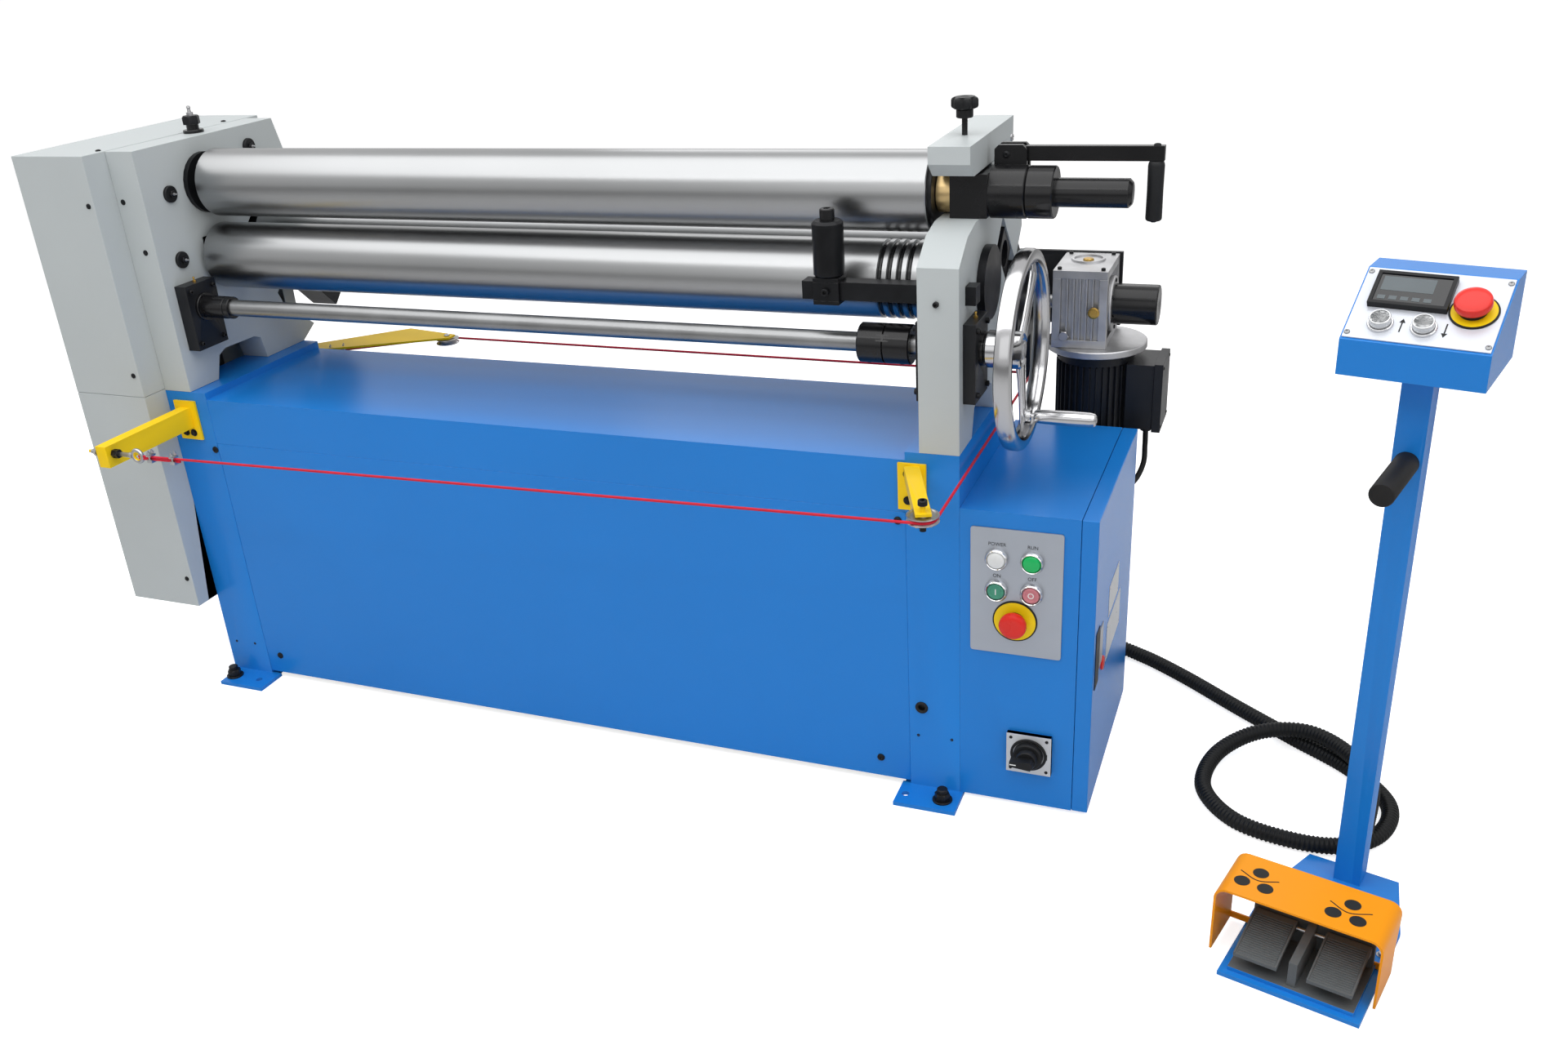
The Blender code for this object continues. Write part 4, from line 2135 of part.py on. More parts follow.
def pedal(name, sides):
    """A tread on its pin at the back, with a heel that holds the pin."""
    low_x, high_x = sides
    thick = PEDAL_THICKNESS
    lean = (PEDAL_BACK_Z - PEDAL_FRONT_Z) / (PEDAL_BACK - PEDAL_FRONT)
    heel_z = PEDAL_BACK_Z + lean * (PEDAL_HINGE_Y - PEDAL_BACK)
    side = [
        (PEDAL_FRONT, PEDAL_FRONT_Z - thick),
        (PEDAL_BACK, PEDAL_BACK_Z - thick),
        (PEDAL_HINGE_Y - PEDAL_HINGE_RADIUS, PEDAL_HINGE_Z - PEDAL_HINGE_RADIUS),
        (PEDAL_HINGE_Y + PEDAL_HINGE_RADIUS, PEDAL_HINGE_Z - PEDAL_HINGE_RADIUS),
        (PEDAL_HINGE_Y + PEDAL_HINGE_RADIUS, heel_z),
        (PEDAL_FRONT, PEDAL_FRONT_Z),
    ]
    tread = outline(name, side, "X", low_x, high_x)
    hole = rod(
        f"{name} hole",
        (low_x - OVERRUN, PEDAL_HINGE_Y, PEDAL_HINGE_Z),
        (high_x + OVERRUN, PEDAL_HINGE_Y, PEDAL_HINGE_Z),
        PEDAL_HINGE_RADIUS / 2 + GAP,
        SMALL_SIDES // 2,
        tool=True,
    )
    return finish(
        pivot(cut(tread, hole), ((low_x + high_x) / 2, PEDAL_HINGE_Y, PEDAL_HINGE_Z)),
        "grey plastic",
    )


def pedal_guard():
    """A bent sheet over the pedals: two legs and a roof with round corners."""
    bend, sheet = GUARD_BEND, GUARD_SHEET
    outer = [(GUARD_LEFT, GUARD_LOW_Z)]
    outer += arc((GUARD_LEFT + bend, GUARD_TOP_Z - bend), bend, 180, 90, 6)
    outer += arc((GUARD_RIGHT - bend, GUARD_TOP_Z - bend), bend, 90, 0, 6)
    outer += [(GUARD_RIGHT, GUARD_LOW_Z), (GUARD_RIGHT - sheet, GUARD_LOW_Z)]
    inner = arc((GUARD_RIGHT - bend, GUARD_TOP_Z - bend), bend - sheet, 0, 90, 6)
    inner += arc((GUARD_LEFT + bend, GUARD_TOP_Z - bend), bend - sheet, 90, 180, 6)
    inner += [(GUARD_LEFT + sheet, GUARD_LOW_Z)]
    arch = outline("pedal_guard", outer + inner, "Y", GUARD_FRONT, GUARD_BACK)
    wedge_points = [
        (GUARD_SHIN_BACK, GUARD_LOW_Z - OVERRUN),
        (GUARD_BACK + OVERRUN, GUARD_LOW_Z - OVERRUN),
        (GUARD_BACK + OVERRUN, GUARD_TOP_Z - bend),
        (GUARD_BACK, GUARD_TOP_Z - bend),
        (GUARD_SHIN_BACK, GUARD_SHIN_Z),
    ]
    wedge = outline(
        "guard wedge",
        wedge_points,
        "X",
        GUARD_LEFT - OVERRUN,
        GUARD_RIGHT + OVERRUN,
        tool=True,
    )
    bar_low = STAND_PLATE + GAP
    bar = box(
        "guard bar",
        (GUARD_LEFT + sheet / 2, PEDAL_BASE_BACK + GAP, bar_low),
        (GUARD_RIGHT - sheet / 2, GUARD_SHIN_BACK + SLIDE_GAP * 2, bar_low + sheet * 3),
        tool=True,
    )
    return finish(join(cut(arch, wedge), bar), "orange paint")


def console():
    bottom = POST_TOP_Z
    points = [
        (CONSOLE_FRONT, bottom),
        (CONSOLE_BACK, bottom),
        (CONSOLE_BACK, bottom + CONSOLE_TOP_RISE),
        (CONSOLE_BREAK, bottom + CONSOLE_TOP_RISE),
        (CONSOLE_FRONT, bottom + CONSOLE_RISE),
    ]
    body = outline("console", points, "X", -CONSOLE_HALF_WIDTH, CONSOLE_HALF_WIDTH)
    wall = CONSOLE_WALL
    lean = wall * 3 / 2
    room_points = [
        (CONSOLE_FRONT + wall, bottom + wall),
        (CONSOLE_BACK - wall, bottom + wall),
        (CONSOLE_BACK - wall, bottom + CONSOLE_TOP_RISE - wall),
        (CONSOLE_BREAK + lean / 2, bottom + CONSOLE_TOP_RISE - wall),
        (CONSOLE_FRONT + wall, bottom + CONSOLE_RISE - lean / 2),
    ]
    reach = CONSOLE_HALF_WIDTH - wall
    room = outline("console room", room_points, "X", -reach, reach, tool=True)
    duct = rod(
        "console duct",
        (0, 0, bottom - OVERRUN),
        (0, 0, bottom + wall * 2),
        POST_SIDE / 4,
        SMALL_SIDES,
        tool=True,
    )
    return finish(cut(body, room, duct), "blue paint")


PANEL_LEAN = math.atan2(CONSOLE_TOP_RISE - CONSOLE_RISE, CONSOLE_BREAK - CONSOLE_FRONT)
PANEL_LENGTH = math.hypot(CONSOLE_TOP_RISE - CONSOLE_RISE, CONSOLE_BREAK - CONSOLE_FRONT)
PANEL_BUTTONS = {
    "up_button": (UP_BUTTON_X, PANEL_BUTTON_T),
    "down_button": (DOWN_BUTTON_X, PANEL_BUTTON_T),
}


def panel_holes(prefix, gap):
    """Holes for the buttons, in the panel's own frame: Z stands out of the slope."""
    holes = []
    for name, (x, t) in PANEL_BUTTONS.items():
        holes.append((f"{prefix} {name}", x, t, BUTTON_RADIUS + gap))
    holes.append((f"{prefix} stop", PANEL_STOP_X, PANEL_STOP_T, MUSHROOM_NECK_RADIUS + gap))
    deep = BUTTON_STEM
    return [
        rod(
            name,
            (x, t, -deep),
            (x, t, BUTTON_STEM),
            radius,
            SMALL_SIDES,
            tool=True,
        ) for name, x, t, radius in holes
    ]


def console_panel():
    margin = PANEL_MARGIN
    reach = CONSOLE_HALF_WIDTH - PANEL_SIDE_MARGIN
    sheet = box(
        "console_panel",
        (-reach, margin, GAP),
        (reach, PANEL_LENGTH - margin, GAP + PANEL_SHEET),
    )
    inside = GAP + PANEL_SHEET / 2
    display = box(
        "display",
        (DISPLAY_LEFT, DISPLAY_LOW, inside),
        (DISPLAY_RIGHT, DISPLAY_HIGH, DISPLAY_HEIGHT),
        tool=True,
    )
    join(sheet, display)
    for name, (x, t) in PANEL_BUTTONS.items():
        join(
            sheet,
            rod(
                f"{name} bezel",
                (x, t, inside),
                (x, t, PANEL_SHEET + BEZEL_DEPTH / 2),
                BEZEL_RADIUS,
                SMALL_SIDES,
                tool=True,
            ),
        )
    disc = rod(
        "panel stop disc",
        (PANEL_STOP_X, PANEL_STOP_T, inside),
        (PANEL_STOP_X, PANEL_STOP_T, PANEL_SHEET + GAP + STOP_DISC_DEPTH),
        STOP_DISC_RADIUS - PANEL_SHEET,
        tool=True,
    )
    join(sheet, disc)
    cut(sheet, *panel_holes("panel hole", GAP))
    return finish(sheet, "grey plate")


def panel_button(name):
    x, t = PANEL_BUTTONS[name]
    front = GAP + PANEL_SHEET + BUTTON_PROUD / 2
    return finish(
        rod(name, (x, t, front), (x, t, -BUTTON_STEM / 2), BUTTON_RADIUS, SMALL_SIDES),
        "grey plate",
    )


def make_pedestal():
    stand = standing_frame("pedestal frame", PEDESTAL, (0, 0, PEDESTAL_TURN))
    slope_start = Vector((0, CONSOLE_FRONT, POST_TOP_Z + CONSOLE_RISE))
    slope = standing_frame("panel frame", slope_start, (PANEL_LEAN, 0, 0), stand)
    carry(stand, pedestal_stand())
    carry(stand, pedal_guard())
    carry(stand, pedal("left_pedal", PEDAL_LEFT))
    carry(stand, pedal("right_pedal", PEDAL_RIGHT))
    box_body = carry(stand, console())
    for hole in panel_holes("console hole", SLIDE_GAP):
        hole.parent = slope
        cut(box_body, hole)
    carry(slope, console_panel())
    for name in PANEL_BUTTONS:
        carry(slope, panel_button(name))
    stop_place = (PANEL_STOP_X, PANEL_STOP_T, PANEL_SHEET)
    carry(slope, mushroom("console_emergency_button", stop_place, (0, 0, 1)))


HOSE_START = Vector((RIGHT_OUTER + HOSE_EXIT_X, BOX_BACK_FACE + HOSE_EXIT_DEPTH + GAP, HOSE_EXIT_Z))
HOSE_BACK = Vector((-math.sin(PEDESTAL_TURN), math.cos(PEDESTAL_TURN), 0))
HOSE_END = PEDESTAL + HOSE_BACK * (POST_SIDE / 2 + GAP) + Vector((0, 0, HOSE_EXIT_Z))
HOSE_ROUTE = (
    (0.5450, 0.3560, 0.0490),
    (0.5760, 0.3930, 0.0340),
    (0.6250, 0.4070, 0.0190),
    (0.6800, 0.3900, 0.0125),
    (0.7600, 0.3350, 0.0125),
    (0.8550, 0.2570, 0.0125),
    (0.9450, 0.1870, 0.0125),
    (1.0300, 0.1220, 0.0125),
    (1.0830, 0.0440, 0.0125),
    (1.0740, -0.0310, 0.0125),
    (1.0250, -0.0780, 0.0125),
    (0.9550, -0.0860, 0.0125),
    (0.8720, -0.0600, 0.0125),
    (0.8220, 0.0120, 0.0125),
    (0.8330, 0.0990, 0.0190),
    (0.8880, 0.1560, 0.0330),
    (0.9600, 0.1700, 0.0400),
    (1.0200, 0.1290, 0.0400),
    (1.0560, 0.0540, 0.0400),
)


def smooth_route(points, count):
    """Places at even steps along a curve through the route's points."""
    ends = [points[0] * 2 - points[1], *points, points[-1] * 2 - points[-2]]
    fine = []
    for before, first, second, after in zip(ends, ends[1:], ends[2:], ends[3:]):
        for step in range(ROUTE_STEPS):
            t = step / ROUTE_STEPS
            fine.append(
                (
                    first * 2
                    + (second - before) * t
                    + (before * 2 - first * 5 + second * 4 - after) * t**2
                    + (first * 3 - before - second * 3 + after) * t**3
                )
                / 2
            )
    fine.append(points[-1])
    reach = [0.0]
    for first, second in zip(fine, fine[1:]):
        reach.append(reach[-1] + (second - first).length)
    places, index = [], 0
    for step in range(count):
        wanted = reach[-1] * step / (count - 1)
        while index < len(fine) - 2 and reach[index + 1] < wanted:
            index += 1
        share = (wanted - reach[index]) / (reach[index + 1] - reach[index])
        places.append(fine[index].lerp(fine[index + 1], share))
    return places, reach[-1]


def ribbed(name, places, radii, tool=False, extra=2):
    curve = bpy.data.curves.new(name, "CURVE")
    curve.dimensions = "3D"
    curve.bevel_depth = 1
    curve.bevel_resolution = extra
    curve.use_fill_caps = True
    line = curve.splines.new("POLY")
    line.points.add(len(places) - 1)
    for point, place, radius in zip(line.points, places, radii):
        point.co = (*place, 1)
        point.radius = radius
    return made_mesh(name, curve, tool)


def report_hose(places, length):
    """Prints the hose's least gap to itself, measured between points that lie a loop apart."""
    step = length / (len(places) - 1)
    apart = int(HOSE_RADIUS * 8 / step)
    least = min(
        (first - second).length
        for index, first in enumerate(places)
        for second in places[index + apart :]
    )
    lowest = min(place.z for place in places) - HOSE_RADIUS
    print(
        f"hose {length:.3f} m, least gap {1000 * (least - HOSE_RADIUS * 2):.2f} mm"
        f", lowest {1000 * lowest:.2f} mm",
    )


def control_hose():
    away = Vector((0, 1, 0))
    straight = [HOSE_RADIUS * 2 * share for share in (0, 1 / 2, 1, 3 / 2)]
    route = [HOSE_START + away * reach for reach in straight]
    moved = Vector((ROLLS_RIGHT_X - HOSE_ROUTE_ORIGIN_X, 0, 0))
    route += [Vector(place) + moved for place in HOSE_ROUTE]
    route += [HOSE_END + HOSE_BACK * reach for reach in reversed(straight)]
    places, length = smooth_route(route, HOSE_RIBS * 2)
    for place in places:
        place.z = max(place.z, HOSE_RADIUS + GAP)
    radii = [HOSE_RADIUS if index % 2 else HOSE_VALLEY for index in range(len(places))]
    report_hose(places, length)
    hose = ribbed("control_hose", places, radii)
    coarse, _ = smooth_route(
        [HOSE_START - away * OVERRUN, *route[1:-1], HOSE_END - HOSE_BACK * OVERRUN],
        HOSE_RIBS // 2,
    )
    bore = ribbed("hose bore", coarse, [HOSE_BORE] * len(coarse), tool=True, extra=1)
    return finish(cut(hose, bore), "black plastic")


def main():
    base_cabinet()
    front_panel()
    left_frame()
    right_frame()
    cover("upper_gear_cover", COVER_SPLIT_Z, COVER_TOP_Z, "high")
    cover("lower_gear_cover", COVER_LOW_Z, COVER_SPLIT_Z - GAP, "low")
    upper_roll()
    lower_roll()
    rear_roll()
    upper_left_bearing()
    upper_roll_block()
    bronze_bush()
    top_clamp()
    clamp_knob()
    release_lever()
    lever_grip()
    lower_left_carriage()
    lower_right_carriage()
    left_worm_box()
    right_worm_box()
    adjusting_shaft()
    handwheel()
    wheel_handle()
    rear_carriage("rear_left_carriage", LEFT_OUTER, LEFT_INNER)
    rear_carriage("rear_right_carriage", RIGHT_INNER, RIGHT_OUTER)
    jack("left_jack", LEFT_OUTER, LEFT_INNER)
    jack("right_jack", RIGHT_INNER, RIGHT_OUTER)
    rear_cross_shaft()
    gear_reducer()
    lift_motor()
    reducer_bracket()
    boss_gear("upper_gear", UPPER_ROLL_Z, 1 / 2)
    boss_gear("lower_gear", LOWER_ROLL_Z, 0)
    drive_pinion()
    main_gearmotor()
    electrical_box()
    box_door()
    control_plate()
    push_button("start_button", "green plastic")
    push_button("stop_button", "rose plastic")
    stop_x, stop_z = STOP_PLACE
    mushroom("emergency_button", (stop_x, FRONT - GAP - PLATE_THICKNESS, stop_z), (0, -1, 0))
    main_switch()
    left_wire_bracket()
    right_wire_bracket()
    rear_wire_bracket()
    pulley("front_pulley", FRONT_PULLEY)
    pulley("rear_left_pulley", REAR_PULLEY)
    trip_wire()
    work_guide_bar()
    work_guide()
    make_pedestal()
    control_hose()


main()
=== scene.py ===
"""The finished look of an electric slip roll machine: paint, metal, small fittings, hose and studio.

Metres, in the same frame as the solids: X along the rolls, Y to the back, Z up from the floor.
"""

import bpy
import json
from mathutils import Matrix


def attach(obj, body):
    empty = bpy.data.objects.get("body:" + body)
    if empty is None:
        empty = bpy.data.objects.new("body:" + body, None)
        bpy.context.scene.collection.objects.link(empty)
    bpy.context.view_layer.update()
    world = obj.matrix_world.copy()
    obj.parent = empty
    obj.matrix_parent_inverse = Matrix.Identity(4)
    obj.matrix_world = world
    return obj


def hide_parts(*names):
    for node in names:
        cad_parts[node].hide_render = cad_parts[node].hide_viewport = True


bl_info = {
    "name": "Slip Roll Machine",
    "version": (1, 0, 0),
    "blender": (4, 5, 0),
    "location": "3D Viewport > Sidebar > Slip Roll",
    "description": "Dresses the solid slip roll machine with its finishes and small fittings",
    "category": "Object",
}

import json
import math
from itertools import product

import bmesh
import bpy
from mathutils import Matrix, Vector

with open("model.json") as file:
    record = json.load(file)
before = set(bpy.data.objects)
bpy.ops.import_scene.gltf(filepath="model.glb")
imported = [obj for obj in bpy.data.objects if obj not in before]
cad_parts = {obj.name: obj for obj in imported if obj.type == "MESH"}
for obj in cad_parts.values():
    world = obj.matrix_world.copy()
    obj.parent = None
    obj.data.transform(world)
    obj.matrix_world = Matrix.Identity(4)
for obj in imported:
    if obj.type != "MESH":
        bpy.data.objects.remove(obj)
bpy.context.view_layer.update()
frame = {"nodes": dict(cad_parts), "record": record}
BODY_OF = {node: body for body, nodes in frame["record"]["behaviour"]["bodies"].items() for node in nodes}

# Places of the solids that the fittings sit on
AXIS_Y = 0.048
UPPER_Z = 0.9105
LOWER_Z = 0.783
REAR_Y, REAR_Z = 0.185, 0.79
ROLL_LEFT, ROLL_RIGHT = -0.903, 0.397
LEFT_INNER, LEFT_OUTER = -0.9145, -0.9725
RIGHT_INNER, RIGHT_OUTER = 0.4094, 0.4674
FRAME_TOP = 0.988
FRONT = -0.099
SHAFT_Y, SHAFT_Z = -0.0423, 0.7137
CROSS_Y, CROSS_Z = 0.34799, 0.67396
DOOR_RIGHT = 0.664
BOX_BACK = 0.271
PEDESTAL = Vector((1.0333, -0.1361, 0))
PEDESTAL_TURN = math.radians(-14.587)
PANEL_LEAN = math.atan2(0.0613, 0.1002)
PANEL_FOOT = (0, -0.0704, 0.7946)
X, Y, Z = Vector((1, 0, 0)), Vector((0, 1, 0)), Vector((0, 0, 1))

# Names of the finishes that come often
BLACKENED = "blackened steel"
PLASTIC = "black plastic"
LACQUER = "black lacquer"
CAST = "cast aluminium"
CHROME = "polished chrome"
TURNED = "turned steel"
PAINTED = "black paint"

# The hose, the motor's cable and the marks on the pedals' guard
GUARD_MARKS = (
    (0.9181, -0.2991), (0.8963, -0.321), (0.925, -0.3292), (1.0288, -0.3294), (1.0061, -0.3506),
    (1.0348, -0.3594),
)
GUARD_ARCS = (
    ((0.8936, -0.2995), (0.915, -0.3153), (0.9409, -0.3108)),
    ((1.0026, -0.329), (1.0238, -0.3462), (1.0516, -0.3411)),
)

MOTOR_CABLE = (
    (0.667, 0.348, 0.468), (0.668, 0.344, 0.438), (0.668, 0.332, 0.408), (0.656, 0.306, 0.385),
    (0.63, 0.288, 0.376), (0.608, 0.278, 0.374), (0.6, 0.27, 0.374),
)
HOSE_RADIUS, HOSE_VALLEY = 0.0125, 0.0109
HOSE_CLEARANCE = 0.0003
ROUTE_PARTS = 24
HOSE_START = Vector((0.5374, 0.2833, 0.055))
HOSE_BACK = Vector((-math.sin(PEDESTAL_TURN), math.cos(PEDESTAL_TURN), 0))
HOSE_END = PEDESTAL + HOSE_BACK * 0.0178 + Vector((0, 0, 0.055))
HOSE_ROUTE = (
    (0.545, 0.356, 0.049), (0.576, 0.393, 0.034), (0.625, 0.407, 0.019), (0.68, 0.39, 0.0125),
    (0.76, 0.335, 0.0125), (0.855, 0.257, 0.0125), (0.945, 0.187, 0.0125), (1.03, 0.122, 0.0125),
    (1.083, 0.044, 0.0125), (1.074, -0.031, 0.0125), (1.025, -0.078, 0.0125), (0.955, -0.086, 0.0125),
    (0.872, -0.06, 0.0125), (0.822, 0.012, 0.0125), (0.833, 0.099, 0.019), (0.888, 0.156, 0.033),
    (0.96, 0.17, 0.04), (1.02, 0.129, 0.04), (1.056, 0.054, 0.04),
)


def screen(red, green, blue):
    """A colour as a screen shows it, 0 to 255, turned into scene values."""
    shares = (red / 255, green / 255, blue / 255)
    return tuple(s / 12.92 if s <= 0.04045 else ((s + 0.055) / 1.055) ** 2.4 for s in shares)


def colour_setting(name, description, value):
    return bpy.props.FloatVectorProperty(
        name=name, description=description, subtype="COLOR", size=3, min=0, max=1, default=value,
    )


def length_setting(name, description, value):
    return bpy.props.FloatProperty(
        name=name, description=description, subtype="DISTANCE", unit="LENGTH", min=0, default=value,
    )


class SlipRollColours(bpy.types.PropertyGroup):
    """Colours of the machine's paints and plastics."""

    blue: colour_setting("Blue paint", "Base, electrical box and pedestal", screen(30, 128, 214))
    grey: colour_setting("Grey paint", "Side frames, gear cover and top clamp", screen(190, 196, 197))
    yellow: colour_setting("Yellow paint", "Brackets of the trip wire", screen(250, 208, 22))
    orange: colour_setting("Orange paint", "Guard over the pedals", screen(255, 158, 12))
    black: colour_setting("Black paint", "Motors, boxes and bearings", screen(30, 31, 34))
    steel: colour_setting("Ground steel", "Rolls and shafts", (0.35, 0.355, 0.36))
    bronze: colour_setting("Bronze", "Bush of the upper roll", screen(190, 158, 104))
    aluminium: colour_setting("Cast aluminium", "Gear reducer", (0.5, 0.5, 0.51))
    plate: colour_setting("Face plate", "Plate under the push buttons", (0.42, 0.45, 0.5))
    red: colour_setting("Red plastic", "Emergency buttons", screen(226, 38, 28))
    wire: colour_setting("Red wire", "Coating of the trip wire", screen(206, 26, 52))
    pedal: colour_setting("Grey plastic", "Foot pedals", screen(92, 96, 98))


class SlipRollSizes(bpy.types.PropertyGroup):
    """Small sizes of the machine's edges and fittings."""

    sheet_edge: length_setting("Sheet edge", "Rounding along folded sheet", 0.0016)
    cast_edge: length_setting("Plate edge", "Rounding along thick plates and castings", 0.0022)
    fine_edge: length_setting("Fine edge", "Rounding along small machined pieces", 0.0006)
    hose_rib: length_setting("Hose rib", "Distance from one rib of the hose to the next", 0.0062)
    knurl: length_setting("Tread rib", "Distance from one rib of a pedal's tread to the next", 0.0036)


def colours():
    return bpy.context.scene.slip_roll_colours


def sizes():
    return bpy.context.scene.slip_roll_sizes


# Shader nodes

COAT_ROUGHNESS = 0.12


def add(tree, kind, values=None, **settings):
    """A shader node; values are its inputs by name or number, each a plain value or a socket."""
    node = tree.nodes.new("ShaderNode" + kind)
    for key, value in settings.items():
        setattr(node, key, value)
    for key, value in (values or {}).items():
        if isinstance(value, bpy.types.NodeSocket):
            tree.links.new(value, node.inputs[key])
        else:
            node.inputs[key].default_value = value
    return node


def node_result(tree, operation, *values):
    """The result of one Math node."""
    return add(tree, "Math", dict(enumerate(values)), operation=operation).outputs[0]


def shared_group(name, inputs, outputs):
    """An empty node group with named sockets, and its two end nodes."""
    tree = bpy.data.node_groups.new(name, "ShaderNodeTree")
    for label, kind, value in inputs:
        tree.interface.new_socket(label, in_out="INPUT", socket_type=kind).default_value = value
    for label, kind in outputs:
        tree.interface.new_socket(label, in_out="OUTPUT", socket_type=kind)
    return tree, tree.nodes.new("NodeGroupInput"), tree.nodes.new("NodeGroupOutput")


def placed(tree, name, values):
    """A shared group put in a material."""
    return add(tree, "Group", values, node_tree=bpy.data.node_groups[name])


def make_grain_group():
    """Noise stretched along chosen axes."""
    tree, start, end = shared_group(
        "stretched grain",
        (
            ("Scale", "NodeSocketFloat", 100.0), ("Stretch", "NodeSocketVector", (1.0, 1.0, 1.0)),
            ("Detail", "NodeSocketFloat", 3.0),
        ),
        (("Value", "NodeSocketFloat"),),
    )
    place = add(tree, "TexCoord")
    factors = {0: place.outputs["Object"], 1: start.outputs["Stretch"]}
    spread = add(tree, "VectorMath", factors, operation="MULTIPLY")
    values = {"Vector": spread.outputs[0], **{key: start.outputs[key] for key in ("Scale", "Detail")}}
    noise = add(tree, "TexNoise", values)
    tree.links.new(noise.outputs[0], end.inputs["Value"])


def make_worn_edge_group():
    """A mask along edges, broken up by noise, where paint or blacking rubs thin."""
    tree, start, end = shared_group(
        "worn edges", (("Width", "NodeSocketFloat", 0.001), ("Amount", "NodeSocketFloat", 1.0)),
        (("Mask", "NodeSocketFloat"),),
    )
    rounded = add(tree, "Bevel", {"Radius": start.outputs["Width"]}, samples=4)
    normals = {0: rounded.outputs[0], 1: add(tree, "NewGeometry").outputs["Normal"]}
    along = add(tree, "VectorMath", normals, operation="DOT_PRODUCT")
    drop = node_result(tree, "SUBTRACT", 1.0, along.outputs["Value"])
    broken = placed(tree, "stretched grain", {"Scale": 90.0, "Detail": 4.0})
    rubbed = add(tree, "MapRange", {0: broken.outputs["Value"], 1: 0.42, 2: 0.62})
    both = node_result(tree, "MULTIPLY", drop, rubbed.outputs[0])
    factors = {0: both, 1: start.outputs["Amount"]}
    strong = add(tree, "Math", factors, operation="MULTIPLY", use_clamp=True)
    tree.links.new(strong.outputs[0], end.inputs["Mask"])


def make_patch_group():
    """Slow changes of tone and of gloss over a surface, from handling, oil and dust."""
    tree, start, end = shared_group(
        "broad patches",
        (
            ("Scale", "NodeSocketFloat", 5.0), ("Roughness", "NodeSocketFloat", 0.4),
            ("Spread", "NodeSocketFloat", 0.08),
        ),
        (("Tone", "NodeSocketFloat"), ("Roughness", "NodeSocketFloat")),
    )
    slow = placed(tree, "stretched grain", {"Scale": start.outputs["Scale"], "Detail": 5.0})
    tone = add(tree, "MapRange", {0: slow.outputs["Value"], 1: 0.3, 2: 0.7})
    middle = node_result(tree, "SUBTRACT", tone.outputs[0], 0.5)
    change = node_result(tree, "MULTIPLY", middle, start.outputs["Spread"])
    rough = node_result(tree, "ADD", change, start.outputs["Roughness"])
    tree.links.new(tone.outputs[0], end.inputs["Tone"])
    tree.links.new(rough, end.inputs["Roughness"])


def shade(colour, share):
    """A colour made darker or lighter, as a shader takes it."""
    return (*[min(1, part * share) for part in colour], 1)


def surface(
    name, colour, roughness, metallic=0.0, grain=(400.0, (1, 1, 1), 0.00002), tone=0.06, patch=5.0,
    spread=0.1, worn=None, coat=0.0, glow=0.0, gloss=0.25,
):
    """A finish with patches of tone and gloss, a grain in its relief, and rubbed edges."""
    material = bpy.data.materials.new(name)
    material.use_nodes = True
    tree = material.node_tree
    shader = tree.nodes["Principled BSDF"]
    plain = {"Metallic": metallic, "Coat Weight": coat, "Specular IOR Level": gloss}
    for key, value in (*plain.items(), ("Coat Roughness", COAT_ROUGHNESS)):
        shader.inputs[key].default_value = value
    patches = placed(tree, "broad patches", {"Scale": patch, "Roughness": roughness, "Spread": spread})
    shades = {0: patches.outputs["Tone"], 6: shade(colour, 1 - tone), 7: shade(colour, 1 + tone)}
    base = add(tree, "Mix", shades, data_type="RGBA").outputs[2]
    if worn:
        width, amount, under = worn
        edges = placed(tree, "worn edges", {"Width": width, "Amount": amount})
        shades = {0: edges.outputs["Mask"], 6: base, 7: (*under, 1)}
        base = add(tree, "Mix", shades, data_type="RGBA").outputs[2]
    tree.links.new(base, shader.inputs["Base Color"])
    tree.links.new(patches.outputs["Roughness"], shader.inputs["Roughness"])
    scale, stretch, height = grain
    fine = placed(tree, "stretched grain", {"Scale": scale, "Stretch": stretch})
    bump = add(tree, "Bump", {"Height": fine.outputs["Value"], "Distance": height, "Strength": 1.0})
    tree.links.new(bump.outputs[0], shader.inputs["Normal"])
    if glow:
        tree.links.new(base, shader.inputs["Emission Color"])
        shader.inputs["Emission Strength"].default_value = glow
    return material


